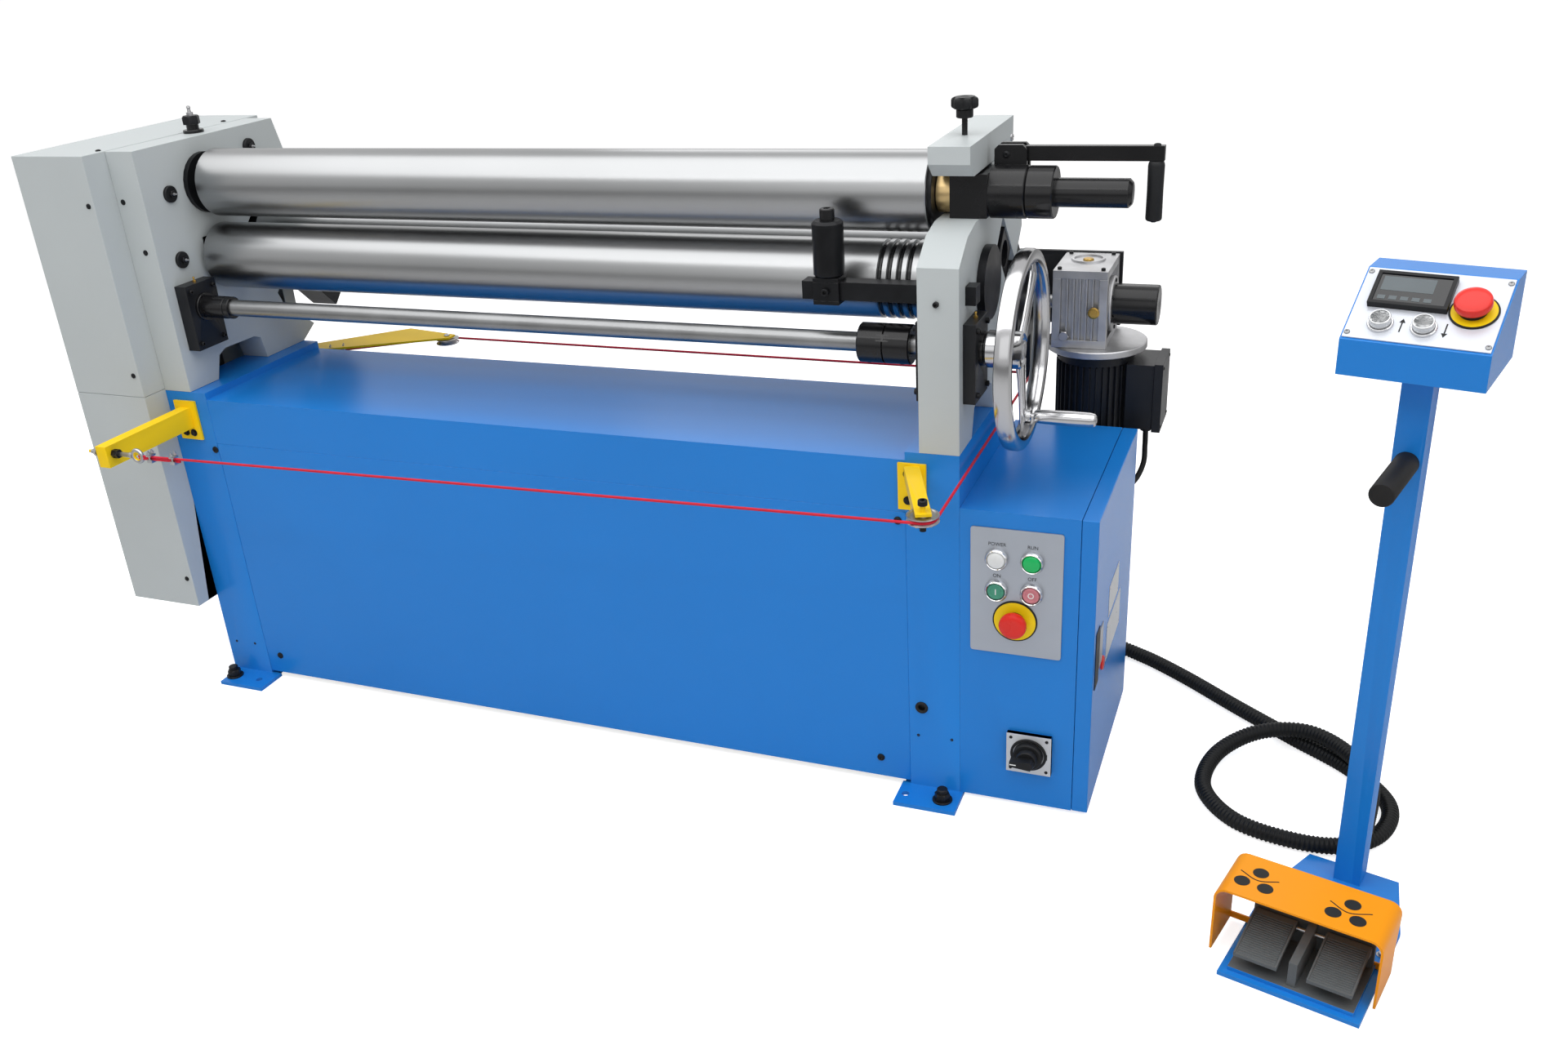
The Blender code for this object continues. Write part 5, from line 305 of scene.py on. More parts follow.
def make_finishes():
    """Every finish on the machine."""
    for build in (make_grain_group, make_worn_edge_group, make_patch_group):
        build()
    tint = colours()
    even = (1, 1, 1)
    primer = screen(120, 160, 205)
    pale = screen(150, 152, 150)
    bright = (0.45, 0.45, 0.46)
    orange_peel = (260.0, even, 0.00005)
    sand_cast = (650.0, even, 0.00018)
    lay_x = (1.0, 0.03, 0.03)
    surface(
        "blue paint", tint.blue, 0.24, grain=orange_peel, tone=0.03, patch=2.5, spread=0.05, gloss=0.3,
        worn=(0.0014, 0.8, primer),
    )
    surface(
        "grey paint", tint.grey, 0.4, grain=orange_peel, tone=0.025, patch=3.0, worn=(0.0014, 0.8, pale),
    )
    surface(
        "yellow paint", tint.yellow, 0.36, grain=orange_peel, tone=0.05, gloss=0.18,
        worn=(0.001, 0.8, screen(176, 146, 60)),
    )
    surface(
        "orange paint", tint.orange, 0.34, grain=orange_peel, tone=0.04, gloss=0.18,
        worn=(0.001, 0.7, screen(200, 140, 60)),
    )
    surface(
        PAINTED, tint.black, 0.38, grain=sand_cast, tone=0.25, patch=18.0,
        worn=(0.001, 1.6, (0.09, 0.09, 0.095)),
    )
    surface(
        BLACKENED, shade(tint.black, 0.8)[:3], 0.34, 0.35, (900.0, even, 0.00003), 0.3, 22.0,
        worn=(0.001, 2.0, (0.13, 0.125, 0.12)),
    )
    surface("ground steel", tint.steel, 0.3, 1.0, (420.0, lay_x, 0.000004), 0.04, 3.0, 0.03)
    surface(TURNED, shade(tint.steel, 0.75)[:3], 0.34, 1.0, (900.0, lay_x, 0.00002), 0.12, 14.0, 0.1)
    surface("gear steel", shade(tint.steel, 0.8)[:3], 0.42, 1.0, (500.0, even, 0.00003), 0.15, 20.0, 0.12)
    surface("bronze", tint.bronze, 0.3, 1.0, (900.0, lay_x, 0.00002), 0.12, 30.0, 0.1)
    surface(CHROME, (0.5, 0.5, 0.51), 0.16, 1.0, (600.0, even, 0.000004), 0.04, 12.0, 0.05)
    surface(
        CAST, tint.aluminium, 0.46, 1.0, (750.0, even, 0.00022), 0.14, 30.0, 0.12,
        worn=(0.001, 1.5, (0.7, 0.7, 0.7)),
    )
    surface("zinc", bright, 0.34, 1.0, (700.0, even, 0.00003), 0.12, 60.0, 0.12)
    surface("brass", screen(196, 160, 84), 0.3, 1.0, (700.0, even, 0.00003), 0.12, 60.0, 0.1)
    surface("face plate", tint.plate, 0.36, 0.75, (700.0, (0.02, 1.0, 1.0), 0.00001), 0.05, 9.0, 0.06)
    surface(
        "console plate", screen(214, 218, 226), 0.34, 0.2, (700.0, (0.02, 1.0, 1.0), 0.00001), 0.03, 9.0,
        0.05,
    )
    surface("chrome bezel", (0.66, 0.66, 0.67), 0.2, 1.0, (900.0, even, 0.00001), 0.05, 40.0, 0.06)
    surface(PLASTIC, screen(24, 25, 27), 0.46, 0.0, (1200.0, even, 0.00005), 0.2, 40.0)
    surface("black rubber", screen(27, 26, 26), 0.62, 0.0, (800.0, even, 0.00012), 0.25, 30.0)
    surface("red plastic", tint.red, 0.3, 0.0, (900.0, even, 0.00002), 0.05, 30.0, coat=0.3)
    surface(
        "green lens", screen(18, 176, 92), 0.18, 0.0, (700.0, even, 0.00001), 0.05, 60.0, coat=0.4,
        glow=0.1,
    )
    surface(
        "white lens", screen(226, 228, 228), 0.18, 0.0, (700.0, even, 0.00001), 0.04, 60.0, coat=0.4,
        glow=0.06,
    )
    surface("green button", screen(74, 150, 124), 0.3, 0.0, (900.0, even, 0.00002), 0.05, 60.0)
    surface("rose button", screen(206, 128, 136), 0.3, 0.0, (900.0, even, 0.00002), 0.05, 60.0)
    surface("silver button", (0.6, 0.61, 0.62), 0.32, 0.6, (900.0, even, 0.00002), 0.05, 60.0)
    surface("white mark", screen(236, 238, 236), 0.45, 0.0, (900.0, even, 0.00001), 0.03, 60.0)
    surface("black mark", screen(26, 26, 26), 0.45, 0.0, (900.0, even, 0.00001), 0.15, 60.0)
    surface("yellow disc", screen(252, 218, 20), 0.4, 0.0, (900.0, even, 0.00001), 0.04, 30.0)
    surface("grey plastic", tint.pedal, 0.52, 0.0, (900.0, even, 0.00008), 0.1, 30.0)
    surface("red wire", tint.wire, 0.38, 0.0, (1500.0, even, 0.00006), 0.1, 40.0)
    surface(
        "hose plastic", screen(24, 25, 26), 0.4, 0.0, (900.0, even, 0.00004), 0.25, 20.0, spread=0.14,
        gloss=0.15,
    )
    surface("dark glass", screen(14, 16, 20), 0.1, 0.0, (300.0, even, 0.000002), 0.1, 10.0, coat=0.5)
    surface("screen grey", screen(96, 104, 108), 0.22, 0.0, (500.0, even, 0.000005), 0.06, 20.0)
    surface(
        LACQUER, screen(18, 18, 20), 0.26, 0.0, (500.0, even, 0.00003), 0.2, 20.0, coat=0.2,
        worn=(0.001, 1.5, (0.1, 0.1, 0.1)),
    )


# Shapes

# Turns of an edge, in degrees, that count as sharp and as flat
SHARP, FLAT = 32, 0.6
BEVEL_SEGMENTS = 2
MERGE_DISTANCE = 0.00002
LOBES, LOBE_DEPTH = 6, 0.24
SPOKE_SIDES = 16


def hexagon(angle):
    """How far a hexagon reaches at an angle, as a share of the circle round it."""
    sixth = math.tau / 6
    return math.cos(sixth / 2) / math.cos(angle % sixth - sixth / 2)


def puck(radius, shoulder, top, tip, *reach):
    """The profile of a washer, a nut or a plug: straight to its shoulder, then a bevel to its top."""
    return [(0, radius, *reach), (shoulder, radius, *reach), (top, tip), (top, 0)]


def round_way(angle):
    """A direction out from the X axis."""
    return Vector((0, math.cos(angle), math.sin(angle)))


def carried(places):
    """A direction across a route at each of its places, turned as little as can be."""
    ways = [
        (places[min(i + 1, len(places) - 1)] - places[max(i - 1, 0)]).normalized()
        for i in range(len(places))
    ]
    side = ways[0].orthogonal().normalized()
    sides = [side]
    for before, after in zip(ways, ways[1:]):
        side = before.rotation_difference(after) @ side
        side = (side - after * side.dot(after)).normalized()
        sides.append(side)
    return ways, sides


class Piece:
    """One object of the scene, put together from turned, folded and bent shapes in several finishes."""

    def __init__(self, name, base=None):
        self.name = name
        self.mesh = bmesh.new()
        self.finishes = []
        self.base = base or Matrix.Identity(4)

    def slot_of(self, finish):
        if finish not in self.finishes:
            self.finishes.append(finish)
        return self.finishes.index(finish)

    def face(self, verts, finish):
        try:
            made = self.mesh.faces.new(verts)
        except ValueError:
            return None
        made.material_index = self.slot_of(finish)
        return made

    def point(self, place):
        return self.mesh.verts.new(self.base @ Vector(place))

    def skin(self, rings, finish, close_ends=True, close_loop=False):
        """Joins rings of points; a ring of one point is a tip."""
        pairs = list(zip(rings, rings[1:]))
        if close_loop:
            pairs.append((rings[-1], rings[0]))
        for low, high in pairs:
            count = max(len(low), len(high))
            for i in range(count):
                after = (i + 1) % count
                corners = [low[i % len(low)], low[after % len(low)]] if len(low) > 1 else [low[0]]
                corners += [high[after], high[i]] if len(high) > 1 else [high[0]]
                self.face(corners, finish)
        if close_ends and not close_loop:
            if len(rings[0]) > 2:
                self.face(list(reversed(rings[0])), finish)
            if len(rings[-1]) > 2:
                self.face(rings[-1], finish)
        return self

    def turned(self, start, axis, profile, finish, sides=48, ring=False):
        """A turned shape. Each part of its profile is (along, radius) and may add a reach by angle."""
        turn = Vector(axis).to_track_quat("Z", "Y").to_matrix()
        start = Vector(start)
        rings = []
        for along, radius, *reach in profile:
            if radius < 1e-6:
                rings.append([self.point(start + turn @ Vector((0, 0, along)))])
                continue
            points = []
            for step in range(sides):
                angle = math.tau * step / sides
                out = radius * (reach[0](angle) if reach else 1)
                spot = Vector((out * math.cos(angle), out * math.sin(angle), along))
                points.append(self.point(start + turn @ spot))
            rings.append(points)
        return self.skin(rings, finish, close_loop=ring)

    def block(self, low, high, finish):
        low, high = Vector(low), Vector(high)
        corners = [(low.x, low.y), (high.x, low.y), (high.x, high.y), (low.x, high.y)]
        rings = [[self.point((x, y, z)) for x, y in corners] for z in (low.z, high.z)]
        return self.skin(rings, finish)

    def prism(self, points, axis, low, high, finish):
        """An outline drawn out along an axis; its points are the other two numbers in order."""
        spots = {
            "X": lambda a, b, at: (at, a, b), "Y": lambda a, b, at: (a, at, b), "Z": lambda a, b,
            at: (a, b, at),
        }[axis]
        rings = [[self.point(spots(a, b, at)) for a, b in points] for at in (low, high)]
        return self.skin(rings, finish)

    def tube(self, places, radius, finish, sides=10, close_ends=True):
        """A round tube along places; radius is one number or one for each place."""
        places = [Vector(place) for place in places]
        radii = radius if hasattr(radius, "__len__") else [radius] * len(places)
        ways, across = carried(places)
        rings = []
        for place, way, side, wide in zip(places, ways, across, radii):
            other = way.cross(side)
            angles = [math.tau * step / sides for step in range(sides)]
            rings.append(
                [self.point(place + (side * math.cos(a) + other * math.sin(a)) * wide) for a in angles],
            )
        return self.skin(rings, finish, close_ends)

    def cap_screw(self, place, way, radius, finish=BLACKENED):
        """A socket head screw that stands on a face."""
        tall, well = radius * 1.1, radius * 0.55
        profile = [
            (0, radius), (tall - radius * 0.15, radius), (tall, radius * 0.85), (tall, well, hexagon),
            (tall - radius * 0.7, well, hexagon), (tall - radius * 0.75, 0),
        ]
        return self.turned(place, way, profile, finish, 24)

    def pan_screw(self, place, way, radius, finish="zinc"):
        """A low domed screw with a round-bottomed recess."""
        tall = radius * 0.55
        profile = [
            (0, radius), (tall * 0.5, radius * 0.96), (tall * 0.9, radius * 0.7), (tall, radius * 0.36),
            (tall * 0.45, radius * 0.2), (tall * 0.4, 0),
        ]
        return self.turned(place, way, profile, finish, 20)

    def hex_bolt(self, place, way, radius, finish="zinc", washer="zinc"):
        """A hexagon head on a washer."""
        place, way = Vector(place), Vector(way).normalized()
        thin = radius * 0.22
        rim = [(0, radius * 1.45), (thin, radius * 1.45), (thin, 0)]
        self.turned(place, way, rim, washer, 24)
        head = [
            (0, radius, hexagon), (radius * 0.62, radius, hexagon), (radius * 0.74, radius * 0.84),
            (radius * 0.74, 0),
        ]
        return self.turned(place + way * thin, way, head, finish, 24)

    def nipple(self, place, way, radius, finish="brass"):
        """A grease nipple."""
        profile = [
            (0, radius, hexagon), (radius * 0.9, radius, hexagon), (radius * 1.0, radius * 0.55),
            (radius * 1.9, radius * 0.45), (radius * 2.2, radius * 0.62), (radius * 2.7, radius * 0.5),
            (radius * 2.9, 0),
        ]
        return self.turned(place, way, profile, finish, 18)

    def done(self, body, replaces=(), edge=0.0, sharp=SHARP):
        """Turns the shape into an object that rides on a body."""
        mesh = bpy.data.meshes.new(self.name)
        bmesh.ops.recalc_face_normals(self.mesh, faces=self.mesh.faces)
        self.mesh.to_mesh(mesh)
        self.mesh.free()
        for finish in self.finishes:
            mesh.materials.append(bpy.data.materials[finish])
        return settle(self.name, mesh, body, replaces, edge, sharp)


def settle(name, mesh, body, replaces, edge, sharp=SHARP):
    """Links a mesh, softens its edges and makes it ride."""
    mesh.shade_smooth()
    mesh.set_sharp_from_angle(angle=math.radians(sharp))
    thing = bpy.data.objects.new(name, mesh)
    bpy.context.scene.collection.objects.link(thing)
    if edge:
        soft = thing.modifiers.new("soft edges", "BEVEL")
        soft.width = edge
        soft.segments = BEVEL_SEGMENTS
        soft.limit_method = "ANGLE"
        soft.angle_limit = math.radians(sharp)
        soft.harden_normals = True
    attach(thing, body)
    if replaces:
        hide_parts(*replaces)
    return thing


def dress(node, finish, edge):
    """A finished skin over a solid: the same shape with clean faces and soft edges."""
    shape = bmesh.new()
    shape.from_mesh(frame["nodes"][node].data)
    bmesh.ops.remove_doubles(shape, verts=shape.verts, dist=MERGE_DISTANCE)
    bmesh.ops.join_triangles(
        shape, faces=shape.faces, angle_face_threshold=math.radians(FLAT), angle_shape_threshold=math.pi,
    )
    mesh = bpy.data.meshes.new(f"finished_{node}")
    shape.to_mesh(mesh)
    shape.free()
    mesh.materials.clear()
    mesh.materials.append(bpy.data.materials[finish])
    for face in mesh.polygons:
        face.material_index = 0
    return settle(mesh.name, mesh, BODY_OF[node], (node,), edge)


def local_frame(place, turn):
    """The frame of a thing that stands at a place, turned about the upright."""
    return Matrix.Translation(place) @ Matrix.Rotation(turn, 4, "Z")


STAND = local_frame(PEDESTAL, PEDESTAL_TURN)
SLOPE = STAND @ Matrix.Translation(PANEL_FOOT) @ Matrix.Rotation(PANEL_LEAN, 4, "X")


# Pieces that keep the solid's own shape: finish, softened edge, nodes

SKINS = (
    ("blue paint", "sheet", "base_cabinet front_panel electrical_box box_door pedestal_stand console"),
    ("grey paint", "cast", "left_frame right_frame top_clamp"),
    ("grey paint", "sheet", "upper_gear_cover lower_gear_cover"),
    ("yellow paint", "fine", "left_wire_bracket right_wire_bracket rear_wire_bracket"),
    ("orange paint", "fine", "pedal_guard"),
    (PAINTED, "cast", "left_worm_box right_worm_box left_jack right_jack"),
    (BLACKENED, "fine", "lower_left_carriage lower_right_carriage rear_left_carriage"),
    (BLACKENED, "fine", "rear_right_carriage upper_left_bearing"),
    (PAINTED, "fine", "reducer_bracket"),
    (PAINTED, "cast", "main_gearmotor"),
    (LACQUER, "cast", "release_lever"),
    (BLACKENED, "fine", "work_guide_bar"),
    (TURNED, "fine", "rear_cross_shaft"),
    ("gear steel", "fine", "upper_gear lower_gear drive_pinion"),
)


class SLIPROLL_OT_skins(bpy.types.Operator):
    """Paints the frames, sheet boxes, brackets and castings, and softens their edges"""

    bl_idname = "slip_roll.skins"
    bl_label = "Frames and Housings"

    def execute(self, context):
        for finish, edge, nodes in SKINS:
            for node in nodes.split():
                dress(node, finish, getattr(sizes(), f"{edge}_edge"))
        return {"FINISHED"}


def barrel(low, high, radius, chamfer):
    """The profile of a cylinder with both its ends bevelled."""
    low_end = [(low, radius - chamfer), (low + chamfer, radius)]
    return [*low_end, (high - chamfer, radius), (high, radius - chamfer)]


class SLIPROLL_OT_rolls(bpy.types.Operator):
    """Turns the three rolls with their chamfers, wire grooves lined with painted shade, and blacked ends"""

    bl_idname = "slip_roll.rolls"
    bl_label = "Rolls"

    def execute(self, context):
        radius, chamfer, journal, sides = 0.057, 0.0012, 0.02, 128
        low, high = -0.8845, ROLL_RIGHT
        upper = Piece("ground_upper_roll")
        body = [(low - 0.0005, journal), *barrel(low, high, radius, chamfer), (high, 0.03)]
        start = (0, AXIS_Y, UPPER_Z)
        upper.turned(start, X, body, "ground steel", sides)
        stub = [
            (-1.039, 0.016), (-0.962, 0.016), (-0.95, 0.0235), (-0.937, 0.0235), (-0.925, journal),
            (low, journal),
        ]
        upper.turned(start, X, stub, TURNED)
        upper.turned(
            start, X, [(high, 0.05), (0.4027, 0.05), (0.4035, 0.0492), (0.4035, 0.024)], BLACKENED, 96,
        )
        upper.turned(start, X, [(0.4035, 0.024), (0.529, 0.024)], TURNED)
        end = [
            (0.5283, 0.034), (0.5298, 0.0355), (0.5638, 0.0355), (0.5653, 0.034), (0.5653, 0.0197),
            (0.6623, 0.0197), (0.6668, 0.0152), (0.6673, 0.014), (0.6673, 0.0),
        ]
        upper.turned(start, X, end, LACQUER, 64)
        upper.done("upper_roll_body", ("upper_roll",))

        lower = Piece("ground_lower_roll")
        profile = [(ROLL_LEFT, journal), (ROLL_LEFT, radius - chamfer), (ROLL_LEFT + chamfer, radius)]
        start = (0, AXIS_Y, LOWER_Z)
        # Each wire groove is lined with a dark lacquer band: painted shade in the groove.
        for groove in range(4):
            at = ROLL_RIGHT - 0.074 + groove * 0.0145
            rise, floor, fall, foot = at + 0.0012, at + 0.0026, at + 0.0054, at + 0.0068
            profile += [(at, radius), (rise, 0.0542), (floor, 0.053)]
            profile += [(fall, 0.053), (foot, 0.0542), (at + 0.008, radius)]
            groove_shade_band = [(rise, 0), (rise, 0.0545), (floor, 0.0533), (fall, 0.0533), (foot, 0.0545), (foot, 0)]
            lower.turned(start, X, groove_shade_band, LACQUER, 96)
        profile += [(ROLL_RIGHT - chamfer, radius), (ROLL_RIGHT, radius - chamfer), (ROLL_RIGHT, journal)]
        lower.turned(start, X, profile, "ground steel", sides)
        lower.turned(start, X, [(-1.033, journal), (ROLL_LEFT + 0.001, journal)], TURNED)
        lower.turned(start, X, [(ROLL_RIGHT - 0.001, journal), (0.4654, journal)], TURNED)
        lower.done("lower_roll_body", ("lower_roll",))

        rear = Piece("ground_rear_roll")
        start = (0, REAR_Y, REAR_Z)
        ends = barrel(ROLL_LEFT, ROLL_RIGHT, radius, chamfer)
        body = [(ROLL_LEFT, journal), *ends, (ROLL_RIGHT, journal)]
        rear.turned(start, X, body, "ground steel", sides)
        rear.turned(start, X, [(-0.958, journal), (ROLL_LEFT, journal)], TURNED)
        rear.turned(start, X, [(ROLL_RIGHT, journal), (0.4529, journal)], TURNED)
        rear.done("rear_roll_body", ("rear_roll",))
        return {"FINISHED"}


def knob_lobes(angle):
    """How far the clamp knob's six lobes reach at an angle."""
    return 1 - LOBE_DEPTH * (0.5 - 0.5 * math.cos(LOBES * angle)) ** 1.3


class SLIPROLL_OT_release_end(bpy.types.Operator):
    """Makes the bearing block with its nose, the bronze bush, the clamp knob and the lever's grip"""

    bl_idname = "slip_roll.release_end"
    bl_label = "Release End"

    def execute(self, context):
        block = Piece("bearing_block_and_nose")
        front, back = AXIS_Y - 0.036, AXIS_Y + 0.036
        bore = 0.0243
        left, middle, right = 0.426, 0.478, 0.528
        block.block((left, front, UPPER_Z - 0.03), (middle, back, UPPER_Z + 0.03), LACQUER)
        nose = [
            (0, 0.036), (right - middle - 0.002, 0.036), (right - middle, 0.034), (right - middle, bore),
        ]
        block.turned((middle, AXIS_Y, UPPER_Z), X, nose, LACQUER, 72)
        for side in (-1, 1):
            near, far = sorted((AXIS_Y + 0.02 + side * 0.0063, AXIS_Y + 0.02 + side * 0.0143))
            ear = [
                (middle + 0.0003, UPPER_Z), (middle + 0.045, UPPER_Z), (middle + 0.045, 0.9665),
                (middle + 0.039, 0.9725), (middle + 0.006, 0.9725), (middle + 0.0003, 0.9668),
            ]
            block.prism(ear, "Y", near, far, LACQUER)
            place = (0.495, near if side < 0 else far, 0.9596)
            block.pan_screw(place, Y * side, 0.0052, BLACKENED)
        for y in (front + 0.01, back - 0.01):
            block.cap_screw((left + 0.026, y, UPPER_Z + 0.03), Z, 0.0038)
        block.done("cradle", ("upper_roll_block",), sizes().cast_edge * 0.6)

        bush = Piece("turned_bronze_bush")
        profile = [
            (0, bore), (0, 0.0278), (0.001, 0.029), (0.0209, 0.029), (0.0219, 0.0278), (0.0219, bore),
        ]
        bush.turned((0.4038, AXIS_Y, UPPER_Z), X, profile, "bronze", 72, ring=True)
        bush.done("cradle", ("bronze_bush",))

        knob = Piece("lobed_clamp_knob")
        x, y = 0.437, AXIS_Y + 0.006
        knob.turned((x, y, 0.96), Z, [(0, 0.0032), (0.001, 0.004), (0.049, 0.004)], LACQUER, 24)
        stem = [(0, 0.0105), (0.0012, 0.0117), (0.0105, 0.0117), (0.0125, 0.01)]
        knob.turned((x, y, 1.009), Z, stem, PLASTIC, 36)
        head = [
            (0, 0.0145), (0.0012, 0.0178, knob_lobes), (0.0035, 0.019, knob_lobes),
            (0.0115, 0.019, knob_lobes), (0.0142, 0.0176, knob_lobes), (0.0158, 0.014), (0.016, 0.006),
            (0.0154, 0.005), (0.0154, 0.0),
        ]
        knob.turned((x, y, 1.021), Z, head, PLASTIC, 112)
        knob.done("knob", ("clamp_knob",))

        grip = Piece("turning_lever_grip")
        grip_x, grip_y, top = 0.693, AXIS_Y + 0.02, 0.9493
        profile = [
            (-0.079, 0.0043), (-0.079, 0.009), (-0.0775, 0.0106), (-0.075, 0.011), (-0.04, 0.0107),
            (-0.006, 0.011), (-0.0025, 0.0104), (0.0, 0.0088), (0.0, 0.0043),
        ]
        grip.turned((grip_x, grip_y, top), Z, profile, PLASTIC, 40, ring=True)
        grip.done("grip", ("lever_grip",))

        trim = Piece("lever_end_screws")
        trim.pan_screw((grip_x, grip_y, 0.9696), Z, 0.005, BLACKENED)
        trim.pan_screw((grip_x, grip_y, 0.8706), -Z, 0.005, BLACKENED)
        trim.done("lever")

        hook = Piece("clamp_hinge_ends")
        for x, way in ((RIGHT_INNER + 0.0005, -X), (RIGHT_OUTER - 0.0005, X)):
            hook.pan_screw((x, 0.213, 0.956), way, 0.0062, "zinc")
        hook.done("clamp")
        return {"FINISHED"}


class SLIPROLL_OT_adjusters(bpy.types.Operator):
    """Makes the front adjusting shaft with its jaw coupling, the handwheel and the box screws"""

    bl_idname = "slip_roll.adjusters"
    bl_label = "Front Adjusting Shaft and Handwheel"

    def execute(self, context):
        shaft = Piece("adjusting_shaft_and_coupling")
        start = (0, SHAFT_Y, SHAFT_Z)
        shaft.turned(start, X, [(-0.9142, 0.014), (0.5109, 0.014)], TURNED, 48)
        collar = [
            (-0.8376, 0.0135), (-0.8376, 0.018), (-0.8366, 0.019), (-0.8286, 0.019), (-0.8276, 0.018),
            (-0.8276, 0.0135),
        ]
        shaft.turned(start, X, collar, LACQUER, 48)
        low, high, radius = 0.3104, 0.3869, 0.0285
        split = (low + high) / 2
        bore, bevel, gap = 0.013, 0.0015, 0.0012
        left_half = [(low, bore), (low, radius - bevel), (low + bevel, radius), (split - gap, radius)]
        shaft.turned(start, X, [*left_half, (split - gap, bore)], LACQUER, 64)
        right_half = [(high - bevel, radius), (high, radius - bevel), (high, bore)]
        right_half = [(split + gap, bore), (split + gap, radius), *right_half]
        shaft.turned(start, X, right_half, LACQUER, 64)
        shaft.turned(start, X, [(split - 0.003, 0.0245), (split + 0.003, 0.0245)], BLACKENED, 48)
        for jaw in range(3):
            angle = math.tau * jaw / 3 + 0.5
            way = round_way(angle)
            side = X.cross(way)
            centre = Vector((split, SHAFT_Y, SHAFT_Z)) + way * 0.0235
            outline = ((-0.0055, -0.005), (0.0055, -0.005), (0.005, 0.0048), (-0.005, 0.0048))
            corners = [centre + side * wide + way * tall for wide, tall in outline]
            shaft.prism([(c.y, c.z) for c in corners], "X", split - 0.009, split + 0.009, LACQUER)
        for x, angle in product((low + 0.014, high - 0.014), (-1.9, 0.2)):
            way = round_way(angle)
            shaft.cap_screw(Vector((x, SHAFT_Y, SHAFT_Z)) + way * (radius - 0.0028), way, 0.003)
        shaft.done("adjuster", ("adjusting_shaft",))

        wheel = Piece("chromed_handwheel")
        rim_low, rim_high = 0.531, 0.554
        outer, inner = 0.138, 0.118
        rim = [
            (rim_low, inner + 0.005), (rim_low, outer - 0.005), (rim_low + 0.0018, outer - 0.0015),
            (rim_low + 0.006, outer), (rim_high - 0.006, outer), (rim_high - 0.0018, outer - 0.0015),
            (rim_high, outer - 0.005), (rim_high, inner + 0.005), (rim_high - 0.0018, inner + 0.0015),
            (rim_high - 0.006, inner), (rim_low + 0.006, inner), (rim_low + 0.0018, inner + 0.0015),
        ]
        wheel.turned(start, X, rim, CHROME, 128, ring=True)
        hub = [
            (0.4939, 0.0143), (0.4939, 0.0245), (0.4954, 0.026), (0.5405, 0.026), (0.5425, 0.024),
            (0.5425, 0.0175), (0.5405, 0.016), (0.5405, 0.0),
        ]
        wheel.turned(start, X, hub, CHROME, 64)
        wheel.turned(
            (0.5405, SHAFT_Y, SHAFT_Z), X, puck(0.013, 0.0035, 0.0045, 0.0105, hexagon), "zinc", 36,
        )
        spoke_sections = (
            (0.02, 0.015, 0.0062), (0.04, 0.0122, 0.005), (0.08, 0.0112, 0.0044), (0.112, 0.0128, 0.005),
            (0.124, 0.015, 0.0058),
        )
        handle_down, handle_back = 0.1057, 0.0303
        first = math.atan2(-handle_down, handle_back)
        for spoke in range(3):
            angle = first + math.tau * spoke / 3
            way = round_way(angle)
            side = X.cross(way)
            rings = []
            for reach, half, thick in spoke_sections:
                middle = Vector((rim_low + 0.0074, SHAFT_Y, SHAFT_Z)) + way * reach
                ring = []
                for step in range(SPOKE_SIDES):
                    turn = math.tau * step / SPOKE_SIDES
                    across = math.copysign(abs(math.cos(turn)) ** 0.6, math.cos(turn)) * half
                    deep = math.copysign(abs(math.sin(turn)) ** 0.8, math.sin(turn)) * thick
                    ring.append(wheel.point(middle + side * across + X * deep))
                rings.append(ring)
            wheel.skin(rings, CHROME)
        handle_y, handle_z = SHAFT_Y + handle_back, SHAFT_Z - handle_down
        wheel.turned(
            (rim_low + 0.004, handle_y, handle_z), X,
            [(0, 0.009), (0.0145, 0.009), (0.015, 0.004), (0.105, 0.004)], CHROME, 32,
        )
        wheel.pan_screw((0.639, handle_y, handle_z), X, 0.0045, "zinc")
        wheel.done("adjuster", ("handwheel",))

        handle = Piece("turning_wheel_handle")
        profile = [
            (0, 0.0043), (0, 0.0078), (0.002, 0.0092), (0.01, 0.01), (0.05, 0.011), (0.078, 0.0105),
            (0.084, 0.0092), (0.086, 0.007), (0.086, 0.0043),
        ]
        handle.turned((0.5543, handle_y, handle_z), X, profile, CHROME, 40, ring=True)
        handle.done("wheel_handle_body", ("wheel_handle",))

        screws = Piece("worm_box_screws")
        for x, way in ((-0.8902, X), (0.4851, X), (0.4005, -X)):
            for y, z in product((-0.07, -0.016), (0.654, 0.746)):
                screws.cap_screw((x, y, z), way, 0.0042)
        for x, collar in (
            (-0.8902, [(0, 0.0245), (0.004, 0.0245), (0.005, 0.0235), (0.005, 0.019)]),
            (-0.8902, [(0.0, 0.0193), (0.0505, 0.0193), (0.052, 0.018), (0.052, 0.0145)]),
            (0.491, [(-0.006, 0.0243), (0.0, 0.0243), (0.001, 0.023), (0.001, 0.0145)]),
        ):
            screws.turned((x, SHAFT_Y, SHAFT_Z), X, collar, LACQUER, 48)
        for x in (-0.902, 0.4765):
            screws.nipple((x, -0.043, 0.757), Z, 0.0032)
        screws.done("machine")
        return {"FINISHED"}


